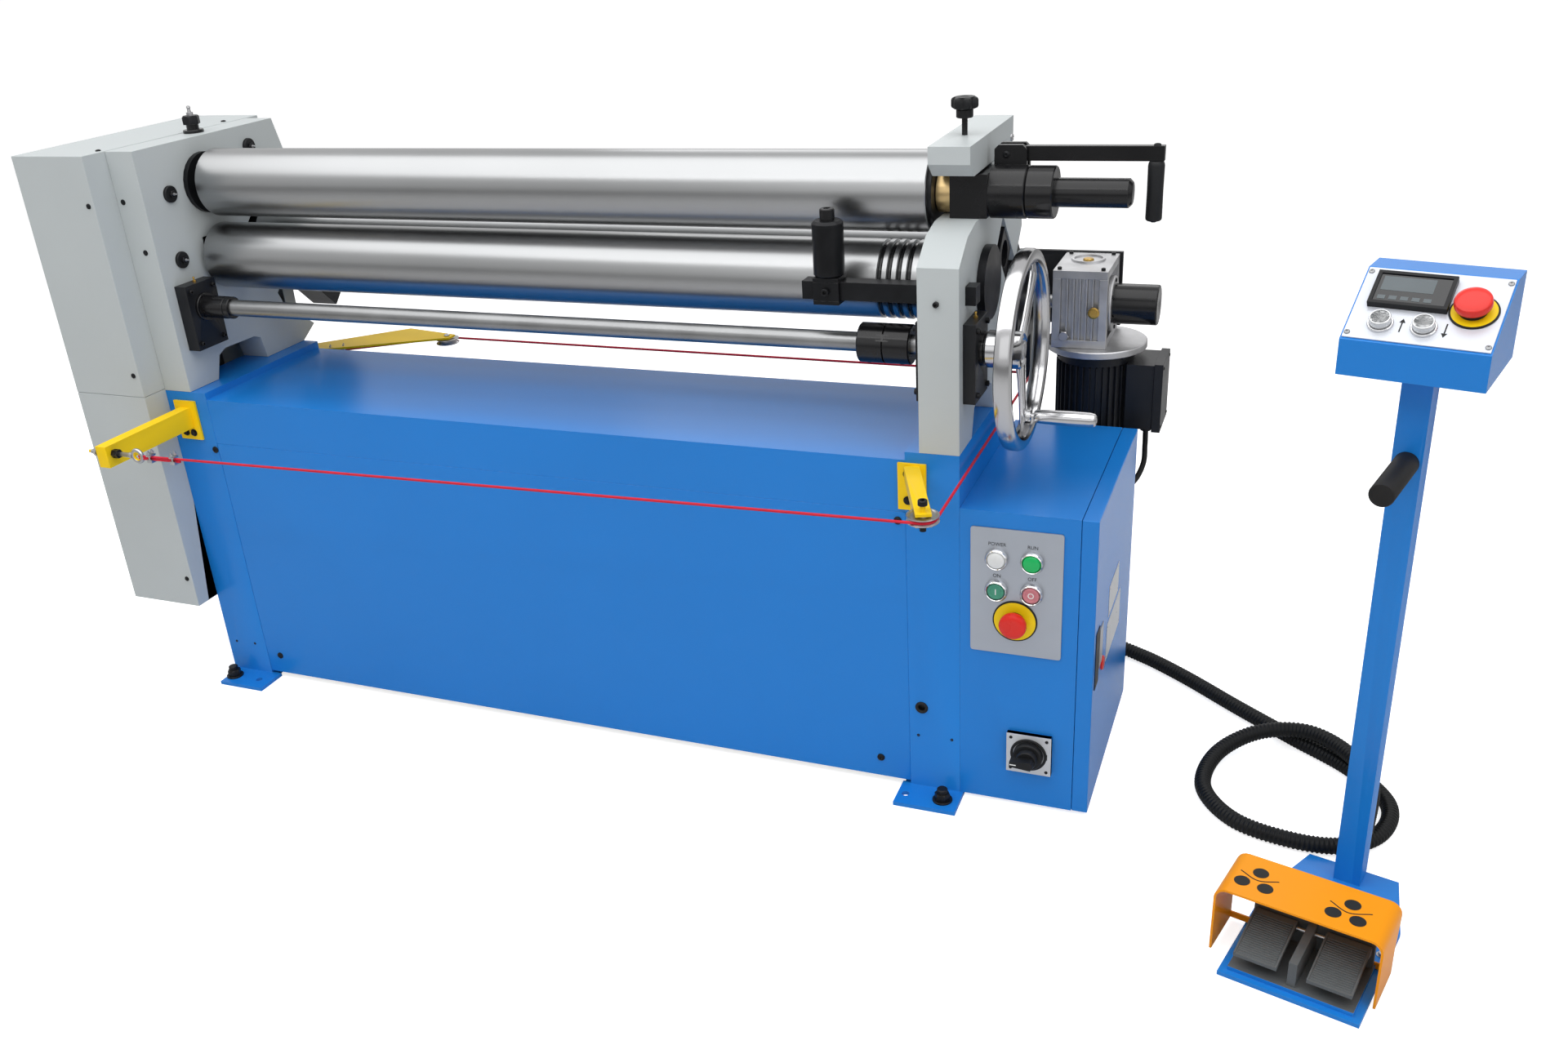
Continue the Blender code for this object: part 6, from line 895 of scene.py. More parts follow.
class SLIPROLL_OT_frame_fittings(bpy.types.Operator):
    """Puts the plugs, grease nipples, bolts and cover screws on the frames and gear cover"""

    bl_idname = "slip_roll.frame_fittings"
    bl_label = "Frame and Cover Fittings"

    def execute(self, context):
        plugs = Piece("frame_plugs_and_nipples")
        for y, z in ((-0.0395, 0.907), (-0.0478, 0.7964), (0.1716, 0.95)):
            rim = puck(0.0142, 0.004, 0.0052, 0.013)
            plugs.turned((LEFT_INNER, y, z), X, rim, PLASTIC, 40)
            plugs.turned(
                (LEFT_INNER + 0.0052, y, z), X, puck(0.0062, 0.0034, 0.004, 0.005, hexagon), BLACKENED, 24,
            )
            plugs.nipple((LEFT_INNER + 0.009, y, z), X, 0.0026, "zinc")
        boss_x, boss_y = -0.953, 0.088
        washer = puck(0.0175, 0.0045, 0.0055, 0.0165)
        plugs.turned((boss_x, boss_y, FRAME_TOP), Z, washer, LACQUER, 40)
        neck = [(0.005, 0.0105), (0.015, 0.0105), (0.015, 0)]
        plugs.turned((boss_x, boss_y, FRAME_TOP), Z, neck, LACQUER, 36)
        nut = puck(0.015, 0.0125, 0.0145, 0.0125, hexagon)
        plugs.turned((boss_x, boss_y, FRAME_TOP + 0.0145), Z, nut, BLACKENED, 36)
        plugs.nipple((boss_x, boss_y, FRAME_TOP + 0.029), Z, 0.0058, "zinc")
        plugs.done("machine")

        holes = Piece("frame_screws")
        # Two dark dished dots on the frame's front are painted shade where holes are.
        for x, z in ((-0.9595, 0.905), (-0.938, 0.82)):
            dot = [(-0.002, 0.0048), (0.0008, 0.0048), (0.001, 0.0042), (0.0002, 0.0034), (0.0002, 0)]
            holes.turned((x, FRONT, z), -Y, dot, PLASTIC, 24)
        holes.cap_screw((0.436, FRONT, 0.7895), -Y, 0.0042)
        cover_x, screw = -0.985, 0.0046
        for y, way in ((AXIS_Y - 0.196, -Y), (AXIS_Y + 0.23, Y)):
            for z in (0.908, 0.615, 0.52, 0.22):
                holes.pan_screw((cover_x, y, z), way, screw, BLACKENED)
        for y in (-0.1, 0.2):
            holes.pan_screw((cover_x, y, 0.989), Z, screw, BLACKENED)
        holes.done("machine")
        return {"FINISHED"}


class SLIPROLL_OT_base_fittings(bpy.types.Operator):
    """Puts the panel screws, foot bolts, grommet and small holes on the base; the holes and the grommet's
    opening are dark discs of painted shade
    """

    bl_idname = "slip_roll.base_fittings"
    bl_label = "Base Fittings"

    def execute(self, context):
        fittings = Piece("base_screws_and_bolts")
        for x, z in ((-0.8892, 0.4667), (0.3758, 0.4647), (-0.8527, 0.0492), (0.3395, 0.0469)):
            fittings.pan_screw((x, FRONT, z), -Y, 0.0062, BLACKENED)
        # Dark dished dots where the base has small holes: painted shade in each hole.
        for x, z in ((0.4016, 0.0997), (0.4548, 0.1005), (-0.953, 0.066), (-0.909, 0.067)):
            dot = [(-0.001, 0.0024), (0.0005, 0.0024), (0.0006, 0.0018), (-0.0002, 0)]
            fittings.turned((x, FRONT, z), -Y, dot, PLASTIC, 16)
        grommet = [
            (-0.004, 0.0058), (-0.004, 0.01), (0.0012, 0.01), (0.0026, 0.0085), (0.0026, 0.0066),
            (0.001, 0.0052),
        ]
        fittings.turned((0.4075, FRONT, 0.151), -Y, grommet, "black rubber", 36, ring=True)
        # A dark disc behind the grommet's opening is painted shade in the cable hole.
        fittings.turned(
            (0.4075, FRONT, 0.151), -Y, [(-0.006, 0.0058), (-0.0045, 0.0058), (-0.0045, 0)], PLASTIC, 24,
        )
        washer = puck(0.0155, 0.0024, 0.003, 0.0148)
        nut = puck(0.0122, 0.0098, 0.0112, 0.0102, hexagon)
        stud = puck(0.0084, 0.007, 0.008, 0.0072)
        for x, y in product((-0.9483, 0.4467), (-0.128, 0.2418)):
            for z, profile, sides in ((0.0065, washer, 32), (0.0095, nut, 36), (0.02, stud, 24)):
                fittings.turned((x, y, z), Z, profile, BLACKENED, sides)
        fittings.done("machine")
        return {"FINISHED"}


class SLIPROLL_OT_rear_drive(bpy.types.Operator):
    """Makes the finned lift motor and puts fins, screws and plugs on its gear reducer and the jacks"""

    bl_idname = "slip_roll.rear_drive"
    bl_label = "Rear Lift Drive"

    def execute(self, context):
        left, right, front, back, low, high = 0.5192, 0.6047, 0.288, 0.408, 0.615, 0.74
        case = Piece("cast_gear_reducer")
        inset, post, lip = 0.01, 0.013, 0.013
        case.block(
            (left + inset, front + inset, low + 0.002), (right - inset, back - inset, high - 0.002), CAST,
        )
        for z in (low, high - lip):
            case.block((left, front, z), (right, back, z + lip), CAST)
        for x, y in product((left, right - post), (front, back - post)):
            case.block((x, y, low + lip), (x + post, y + post, high - lip), CAST)
        for fin in range(5):
            x = left + post + (right - left - post * 2) * (fin + 1) / 6
            for y in (front + 0.0015, back - inset - 0.0015):
                fin_low, fin_high = (x - 0.0016, y, low + lip), (x + 0.0016, y + inset, high - lip)
                case.block(fin_low, fin_high, CAST)
        boss = [(-inset - 0.001, 0.044), (0.002, 0.044), (0.0035, 0.0425), (0.0035, 0.03)]
        case.turned((right, CROSS_Y, CROSS_Z), X, boss, CAST, 64)
        neck = [(0.003, 0.032), (0.0705, 0.032), (0.0723, 0.0302), (0.0723, 0.012), (0.07, 0.0)]
        case.turned((right, CROSS_Y, CROSS_Z), X, neck, LACQUER, 56)
        case.done("machine", ("gear_reducer",), sizes().fine_edge)

        trim = Piece("reducer_plugs_and_screws")
        middle = Vector((right + 0.002, CROSS_Y, CROSS_Z))
        for step in range(6):
            angle = math.tau * (step + 0.5) / 6
            out = middle + round_way(angle) * 0.0382
            trim.cap_screw(out, X, 0.0032)
        recess = [(0, 0.022), (0.003, 0.0225), (0.003, 0.0265), (0, 0.027)]
        trim.turned(((left + right) / 2, 0.362, high), Z, recess, CAST, 48, ring=True)
        plug = puck(0.0085, 0.005, 0.0058, 0.007, hexagon)
        trim.turned((left + 0.02, front, low + 0.02), -Y, plug, "zinc", 24)
        trim.turned((left + 0.045, (front + back) / 2, high), Z, plug, "brass", 24)
        glass = [(0, 0.009), (0.003, 0.009), (0.0036, 0.008), (0.0036, 0.006)]
        trim.turned((right - 0.02, front, CROSS_Z), -Y, glass, "brass", 32)
        trim.turned(
            (right - 0.02, front, CROSS_Z), -Y, [(0, 0.0061), (0.0024, 0.0061), (0.0032, 0)], "dark glass",
            32,
        )
        for x, y in product((left + 0.009, right - 0.009), (front + 0.009, back - 0.009)):
            trim.cap_screw((x, y, high), Z, 0.0034)
        trim.done("machine")

        motor = Piece("finned_lift_motor")
        x, y = 0.582, CROSS_Y
        motor_low, motor_high, radius = 0.3677, 0.6027, 0.063
        tall = motor_high - motor_low
        flange = [(0, 0.078), (0.0015, 0.08), (0.0105, 0.08), (0.012, 0.0785), (0.012, 0.0)]
        motor.turned((x, y, motor_high), Z, [(0, 0.0), *flange], CAST, 72)
        body = [
            (0.0, 0.0), (0.0, 0.052), (0.004, 0.057), (0.024, 0.06), (0.03, 0.06), (0.03, 0.0575),
            (tall - 0.018, 0.0575), (tall - 0.018, 0.061), (tall, 0.062),
        ]
        motor.turned((x, y, motor_low), Z, body, PAINTED, 96)
        for fin in range(36):
            angle = math.tau * fin / 36
            way = Vector((math.cos(angle), math.sin(angle), 0))
            side = Vector((-way.y, way.x, 0)) * 0.001
            outline = ((0.0565, -1.3), (radius, -0.7), (radius, 0.7), (0.0565, 1.3))
            corners = [Vector((x, y, 0)) + way * reach + side * turn for reach, turn in outline]
            motor.prism([(c.x, c.y) for c in corners], "Z", motor_low + 0.031, motor_high - 0.019, PAINTED)
        # Dark rings on the motor's lower end are painted shade in its vent slots.
        for ring in range(5):
            reach = 0.014 + ring * 0.0085
            edge = reach + 0.0035
            slot = [(-0.001, reach), (0.0, reach), (0.0, edge), (-0.001, edge)]
            motor.turned((x, y, motor_low), -Z, slot, LACQUER, 40, ring=True)
        for step in range(4):
            angle = math.tau * (step + 0.5) / 4
            out = Vector((x, y, 0)) + Vector((math.cos(angle), math.sin(angle), 0)) * 0.0715
            motor.cap_screw((out.x, out.y, motor_high), -Z, 0.004)
        motor.block((x + 0.055, y - 0.042, 0.479), (x + 0.098, y + 0.042, 0.587), PAINTED)
        motor.block((x + 0.0985, y - 0.045, 0.476), (x + 0.112, y + 0.045, 0.59), PAINTED)
        for dy, z in product((-0.037, 0.037), (0.484, 0.582)):
            motor.pan_screw((x + 0.1117, y + dy, z), X, 0.003, BLACKENED)
        motor.turned(
            (x + 0.085, y, 0.479), -Z,
            [(0, 0.011, hexagon), (0.009, 0.011, hexagon), (0.011, 0.009), (0.016, 0.0085), (0.016, 0)],
            PLASTIC, 30,
        )
        motor.done("machine", ("lift_motor",), sizes().fine_edge)

        lead = Piece("motor_cable")
        spots = [Vector(spot) for spot in MOTOR_CABLE]
        lead.tube(smooth_route(spots, 0.004)[0], 0.0045, "black rubber", 14)
        lead.done("machine")

        bolts = Piece("rear_slide_screws")
        for x_low, way in ((LEFT_OUTER, -X), (RIGHT_OUTER, X)):
            for dy, dz in ((-0.02, 0.02), (0.052, -0.052)):
                bolts.cap_screw((x_low, 0.3 + dy, 0.7 + dz), way, 0.005)
        for z, x in product((0.632, 0.73), (0.585, 0.535)):
            bolts.cap_screw((x, 0.4163, z), Y, 0.0045)
        bolts.done("machine")
        return {"FINISHED"}


class SLIPROLL_OT_controls(bpy.types.Operator):
    """Makes the brushed control plate with its lamps, buttons and emergency button, and the main switch"""

    bl_idname = "slip_roll.controls"
    bl_label = "Controls on the Electrical Box"

    def execute(self, context):
        left, right, low, high = 0.4841, 0.6171, 0.268, 0.469
        back, front = -0.0993, -0.1013
        plate = Piece("brushed_control_plate")
        corner = 0.004
        outline = []
        for cx, cz, first in ((right, high, 0), (left, high, 1), (left, low, 2), (right, low, 3)):
            for step in range(5):
                angle = math.pi / 2 * (first + step / 4)
                inward_x = cx + (-corner if cx == right else corner)
                inward_z = cz + (-corner if cz == high else corner)
                outline.append((inward_x + corner * math.cos(angle), inward_z + corner * math.sin(angle)))
        plate.prism(outline, "Y", front, back, "face plate")
        left_x, right_x, lamp_z, button_z = 0.5227, 0.5737, 0.422, 0.372
        stop_place = (0.5499, front, 0.3241)
        for x, lens in ((left_x, "white lens"), (right_x, "green lens")):
            bezel(plate, (x, front, lamp_z), -Y)
            dome = [
                (0.0035, 0.013), (0.008, 0.0128), (0.01, 0.0114), (0.011, 0.0088), (0.0115, 0.0046),
                (0.0116, 0.0),
            ]
            plate.turned((x, front, lamp_z), -Y, dome, lens, 40)
        for x in (left_x, right_x):
            bezel(plate, (x, front, button_z), -Y)
        stop_disc(plate, stop_place, -Y, 0.0325)
        for line, z in (("POWER RUN", lamp_z), ("ON OFF", button_z)):
            for letters, x in zip(line.split(), (left_x, right_x)):
                word(plate, letters, (x, front - 0.0002, z + 0.02), 0.0075)
        collar = [(0.0018, 0.015), (0.0052, 0.015), (0.0062, 0.014), (0.0062, 0.01)]
        plate.turned(stop_place, -Y, collar, PLASTIC, 48)
        plate.done("machine", ("control_plate",))

        for node, body, x, shade_name in (
            ("start_button", "start", left_x, "green button"),
            ("stop_button", "stop", right_x, "rose button"),
        ):
            button = Piece(f"moulded_{node}")
            place = (x, front, button_z)
            cap = [
                (-0.009, 0.01), (0.0034, 0.01), (0.0036, 0.0122), (0.008, 0.0122), (0.0092, 0.0112),
                (0.0092, 0.0086), (0.0084, 0.0078), (0.0084, 0.0),
            ]
            button.turned(place, -Y, cap, shade_name, 40)
            button.done(body, (node,))
            mark = Piece(f"{node}_mark")
            if body == "start":
                mark.block(
                    (x - 0.0007, front - 0.0088, 0.3675), (x + 0.0007, front - 0.0084, 0.3765),
                    "white mark",
                )
            else:
                ring = [(0.0084, 0.0032), (0.0088, 0.0032), (0.0088, 0.0044), (0.0084, 0.0044)]
                mark.turned(place, -Y, ring, "white mark", 36, ring=True)
            mark.done(body)

        stop = Piece("red_emergency_button")
        mushroom(stop, stop_place, -Y)
        stop.done(BODY_OF["emergency_button"], ("emergency_button",))

        switch = Piece("main_switch_knob")
        x, z, face = 0.5751, 0.1016, -0.1073
        skirt = [
            (0.0003, 0.0205), (0.0003, 0.0215), (0.0012, 0.0225), (0.009, 0.0222), (0.0105, 0.0205),
            (0.0105, 0.0),
        ]
        switch.turned((x, face, z), -Y, skirt, PLASTIC, 48)
        switch.turned(
            (x, face, z), -Y, [(0.0105, 0.016), (0.0185, 0.015), (0.02, 0.0138), (0.02, 0)], PLASTIC, 48,
        )
        lever = [
            (x - 0.0225, z - 0.0042), (x + 0.009, z - 0.0072), (x + 0.013, z), (x + 0.009, z + 0.0072),
            (x - 0.0225, z + 0.0042),
        ]
        switch.prism(lever, "Y", face - 0.0335, face - 0.0195, PLASTIC)
        low, high = (x - 0.0215, face - 0.0338, z - 0.0009), (x - 0.012, face - 0.033, z + 0.0009)
        switch.block(low, high, "white mark")
        switch.done("isolator", ("main_switch",), sizes().fine_edge)
        base = Piece("main_switch_plate")
        half = 0.0337
        base.block((x - half, -0.1079, z - half), (x + half, -0.0992, z + half), "silver button")
        rim = [(-0.001, 0.0275), (0.0012, 0.0275), (0.002, 0.0265), (0.002, 0.0235), (-0.001, 0.0235)]
        base.turned((x, -0.1079, z), -Y, rim, PLASTIC, 56, ring=True)
        for dx, dz in product((-0.027, 0.027), (-0.027, 0.027)):
            base.pan_screw((x + dx, -0.1079, z + dz), -Y, 0.0026, BLACKENED)
        base.block((x + 0.0272, -0.1084, z - 0.005), (x + 0.0282, -0.1078, z + 0.005), "black mark")
        base.done("machine", edge=sizes().fine_edge)

        fittings = Piece("box_hinges_and_gland")
        for z in (0.095, 0.405):
            fittings.turned(
                (DOOR_RIGHT - 0.02, BOX_BACK, z - 0.022), Z,
                [(0, 0), (0, 0.0045), (0.044, 0.0045), (0.044, 0)], BLACKENED, 20,
            )
        nut = [
            (0, 0.0182, hexagon), (0.0035, 0.0182, hexagon), (0.004, 0.016), (0.0118, 0.0156),
            (0.0122, 0.0135),
        ]
        fittings.turned((0.5374, BOX_BACK, 0.055), Y, nut, PLASTIC, 36)
        fittings.done("machine")

        catch = Piece("door_catch_and_plates")
        face = DOOR_RIGHT - 0.0005
        catch.block((face, -0.084, 0.215), (face + 0.0016, -0.054, 0.308), PLASTIC)
        catch.block((face, -0.053, 0.235), (face + 0.002, -0.025, 0.3), "zinc")
        catch.turned((face, -0.018, 0.226), X, puck(0.011, 0.003, 0.004, 0.0095), "red plastic", 36)
        plate_face, inset = face + 0.0012, 0.006
        for front, back, low, high in ((0.03, 0.123, 0.278, 0.329), (0.02, 0.153, 0.206, 0.269)):
            catch.block((face, front, low), (plate_face, back, high), "silver button")
            for z, y in product((low + inset, high - inset), (front + inset, back - inset)):
                rivet = [(0, 0.0014), (0.0006, 0.001), (0.0006, 0)]
                catch.turned((plate_face, y, z), X, rivet, "zinc", 12)
        catch.done("door")
        return {"FINISHED"}


def stop_disc(piece, place, way, radius):
    """The yellow disc with a black rim under an emergency button."""
    rim = [(0, radius), (0.0014, radius), (0.002, radius - 0.0006), (0.002, radius - 0.002)]
    piece.turned(place, way, [*rim, (0.0, radius - 0.002)], "black mark", 64, ring=True)
    disc = [(0, radius - 0.0021), (0.002, radius - 0.0021), (0.002, 0.0125)]
    piece.turned(place, way, disc, "yellow disc", 64)


def word(piece, letters, place, height):
    """A flat printed word on a face that looks to the front, centred over a place."""
    curve = bpy.data.curves.new(letters, "FONT")
    curve.body, curve.size, curve.align_x = letters, height, "CENTER"
    drawn = bpy.data.objects.new(letters, curve)
    flat = drawn.to_mesh()
    corners = [piece.point(Vector(place) + X * v.co.x + Z * v.co.y) for v in flat.vertices]
    for face in flat.polygons:
        piece.face([corners[i] for i in face.vertices], "black mark")
    drawn.to_mesh_clear()
    bpy.data.objects.remove(drawn)
    bpy.data.curves.remove(curve)


def bezel(piece, place, way):
    """The chromed ring round a lamp or a push button."""
    profile = [
        (0, 0.014), (0, 0.0172), (0.0012, 0.0174), (0.0055, 0.017), (0.0086, 0.0156), (0.0096, 0.0144),
        (0.0088, 0.0135), (0.003, 0.0132),
    ]
    piece.turned(place, way, profile, "chrome bezel", 48, ring=True)


def mushroom(piece, place, way):
    """A red mushroom head on its black neck."""
    neck = [(-0.006, 0.0105), (0.01, 0.0108)]
    piece.turned(place, way, neck, PLASTIC, 48)
    head = [
        (0.0098, 0.011), (0.0106, 0.0185), (0.0114, 0.0196), (0.0134, 0.02), (0.018, 0.02),
        (0.0204, 0.0191), (0.022, 0.0168), (0.0229, 0.013), (0.0232, 0.008), (0.0233, 0.0),
    ]
    piece.turned(place, way, head, "red plastic", 64)


def clip(piece, place, way):
    """A wire clip: a saddle under the wires, a bent bolt over them and its two nuts."""
    side = way.cross(Z).normalized()
    wide, deep = 0.005, 0.0058
    low, high = Vector((-wide, -deep, -0.0085)), Vector((wide, deep, -0.003))
    piece.block(place + low, place + high, "zinc")
    for shift in (-0.0034, 0.0034):
        middle = place + side * shift * 1.2
        ends = [middle - Z * 0.006, middle + Z * 0.0125]
        piece.tube(ends, 0.0014, "zinc", 10)
        nut = [(0, 0.003, hexagon), (0.003, 0.003, hexagon), (0.003, 0)]
        piece.turned(ends[1] - Z * 0.0062, Z, nut, "zinc", 18)
    low, high = Vector((-wide, -deep, 0.0022)), Vector((wide, deep, 0.005))
    piece.block(place + low, place + high, "zinc")


class SLIPROLL_OT_trip_wire(bpy.types.Operator):
    """Strings the red trip wire round its pulleys and puts the eye, clips and bracket screws in place"""

    bl_idname = "slip_roll.trip_wire"
    bl_label = "Emergency Trip Wire"

    def execute(self, context):
        radius, z = 0.0021, 0.545
        groove = 0.0187
        start = Vector((-0.8655, -0.287, 0.53))
        front, rear, corner = Vector(
            (0.457, -0.252, z),
        ), Vector((-0.677, 0.346, z)), Vector((0.4695, 0.354, z))
        anchor = Vector((-0.8928, 0.227, z))

        def bend(centre, reach, first, last, steps):
            angles = [math.radians(first + (last - first) * step / steps) for step in range(steps + 1)]
            return [centre + Vector((math.cos(a), math.sin(a), 0)) * reach for a in angles]

        route = [start, *bend(front, groove, -90, 0, 12), *bend(corner, 0.006, 0, 90, 6)]
        route += [*bend(rear, groove, 90, 112, 5), anchor]
        wire = Piece("red_trip_wire")
        wire.tube(route, radius, "red wire", 10)
        along = (front + Vector((0, -groove, 0)) - start).normalized()
        tail = [start - Z * 0.004, start + along * 0.02 - Z * 0.004, start + along * 0.086 - Z * 0.0042]
        wire.tube(tail, radius, "red wire", 10)
        for reach in (0.026, 0.074):
            clip(wire, start + along * reach, along)
        back_along = (route[-2] - anchor).normalized()
        for reach in (0.02, 0.045):
            clip(wire, anchor + back_along * reach, back_along)
        wire.done("machine", ("trip_wire",))
        eye = Piece("wire_eye_bolt")
        centre = Vector((-0.868, -0.287, 0.53))
        circle = [math.tau * step / 32 for step in range(32)]
        eye_radius, bar = 0.0098, 0.0034
        loops = []
        for a in circle:
            out = X * math.cos(a) + Z * math.sin(a)
            spots = [out * (eye_radius + bar * math.cos(b)) + Y * bar * math.sin(b) for b in circle[::3]]
            loops.append([eye.point(centre + spot) for spot in spots])
        eye.skin(loops, "zinc", close_loop=True)
        shank = [(0.01, 0.0052), (0.016, 0.0052), (0.018, 0.004), (0.099, 0.004), (0.1, 0.003), (0.1, 0)]
        eye.turned(centre, -X, shank, "zinc", 20)
        for reach in (0.04, 0.0465, 0.086):
            nut = [
                (reach, 0.004), (reach, 0.0078, hexagon), (reach + 0.0052, 0.0078, hexagon),
                (reach + 0.0052, 0.004),
            ]
            eye.turned(centre, -X, nut, "zinc" if reach > 0.08 else BLACKENED, 30)
        eye.done("machine")

        for node, centre in (("front_pulley", front), ("rear_left_pulley", rear)):
            sheave = Piece(f"turned_{node}")
            half = (
                (0.0048, 0.0044), (0.0048, 0.008), (0.0034, 0.009), (0.0034, 0.0175), (0.005, 0.02),
                (0.0048, 0.0222), (0.0038, 0.0225), (0.0016, 0.0182),
            )
            low_half = [(-along, radius) for along, radius in half]
            profile = [*low_half, (0.0, 0.0168), *reversed(half)]
            sheave.turned(centre, Z, profile, "zinc", 48, ring=True)
            sheave.done(BODY_OF[node], (node,))

        screws = Piece("wire_bracket_screws")
        for place, way in (
            ((-0.942, -0.1033, 0.498), -Y), ((-0.925, -0.1033, 0.498), -Y), ((0.393, -0.1033, 0.541), -Y),
            ((0.393, -0.1033, 0.5), -Y), ((-0.94, 0.2173, 0.5), Y), ((-0.915, 0.2173, 0.5), Y),
        ):
            screws.hex_bolt(place, way, 0.0046, BLACKENED, BLACKENED)
        screws.pan_screw(rear + Z * 0.01, Z, 0.0055, "zinc")
        screws.cap_screw((front.x, front.y, 0.5635), Z, 0.0066)
        stud = [
            (0, 0.0078, hexagon), (0.007, 0.0078, hexagon), (0.007, 0.0045), (0.013, 0.0045), (0.013, 0),
        ]
        screws.turned((front.x, front.y, 0.539), -Z, stud, BLACKENED, 30)
        screws.done("machine")
        return {"FINISHED"}


class SLIPROLL_OT_work_guide(bpy.types.Operator):
    """Makes the sliding work guide: a clamp with a turned post and a socket screw"""

    bl_idname = "slip_roll.work_guide"
    bl_label = "Work Guide"

    def execute(self, context):
        x, y, z = 0.2695, -0.052, 0.7925
        half, inner = 0.019, 0.0133
        clamp = Piece("sliding_work_guide")
        for low, high in ((z - half, z - inner), (z + inner, z + half)):
            clamp.block((x - half, y - half, low), (x + half, y + half, high), BLACKENED)
        for low, high in ((y - half, y - inner), (y + inner, y + half)):
            clamp.block((x - half, low, z - inner), (x + half, high, z + inner), BLACKENED)
        post = [(0.0, 0.0205), (0.0015, 0.0222), (0.073, 0.0222), (0.077, 0.0185), (0.077, 0.0105)]
        clamp.turned((x, y, 0.8125), Z, post, BLACKENED, 64)
        screw = [
            (0.0, 0.0105), (0.015, 0.0105), (0.0165, 0.0092), (0.0165, 0.0055, hexagon),
            (0.008, 0.0055, hexagon), (0.0075, 0.0),
        ]
        clamp.turned((x, y, 0.8893), Z, screw, LACQUER, 42)
        clamp.cap_screw((x, y - half, z), -Y, 0.0055)
        clamp.done("guide", ("work_guide",), sizes().fine_edge)
        return {"FINISHED"}


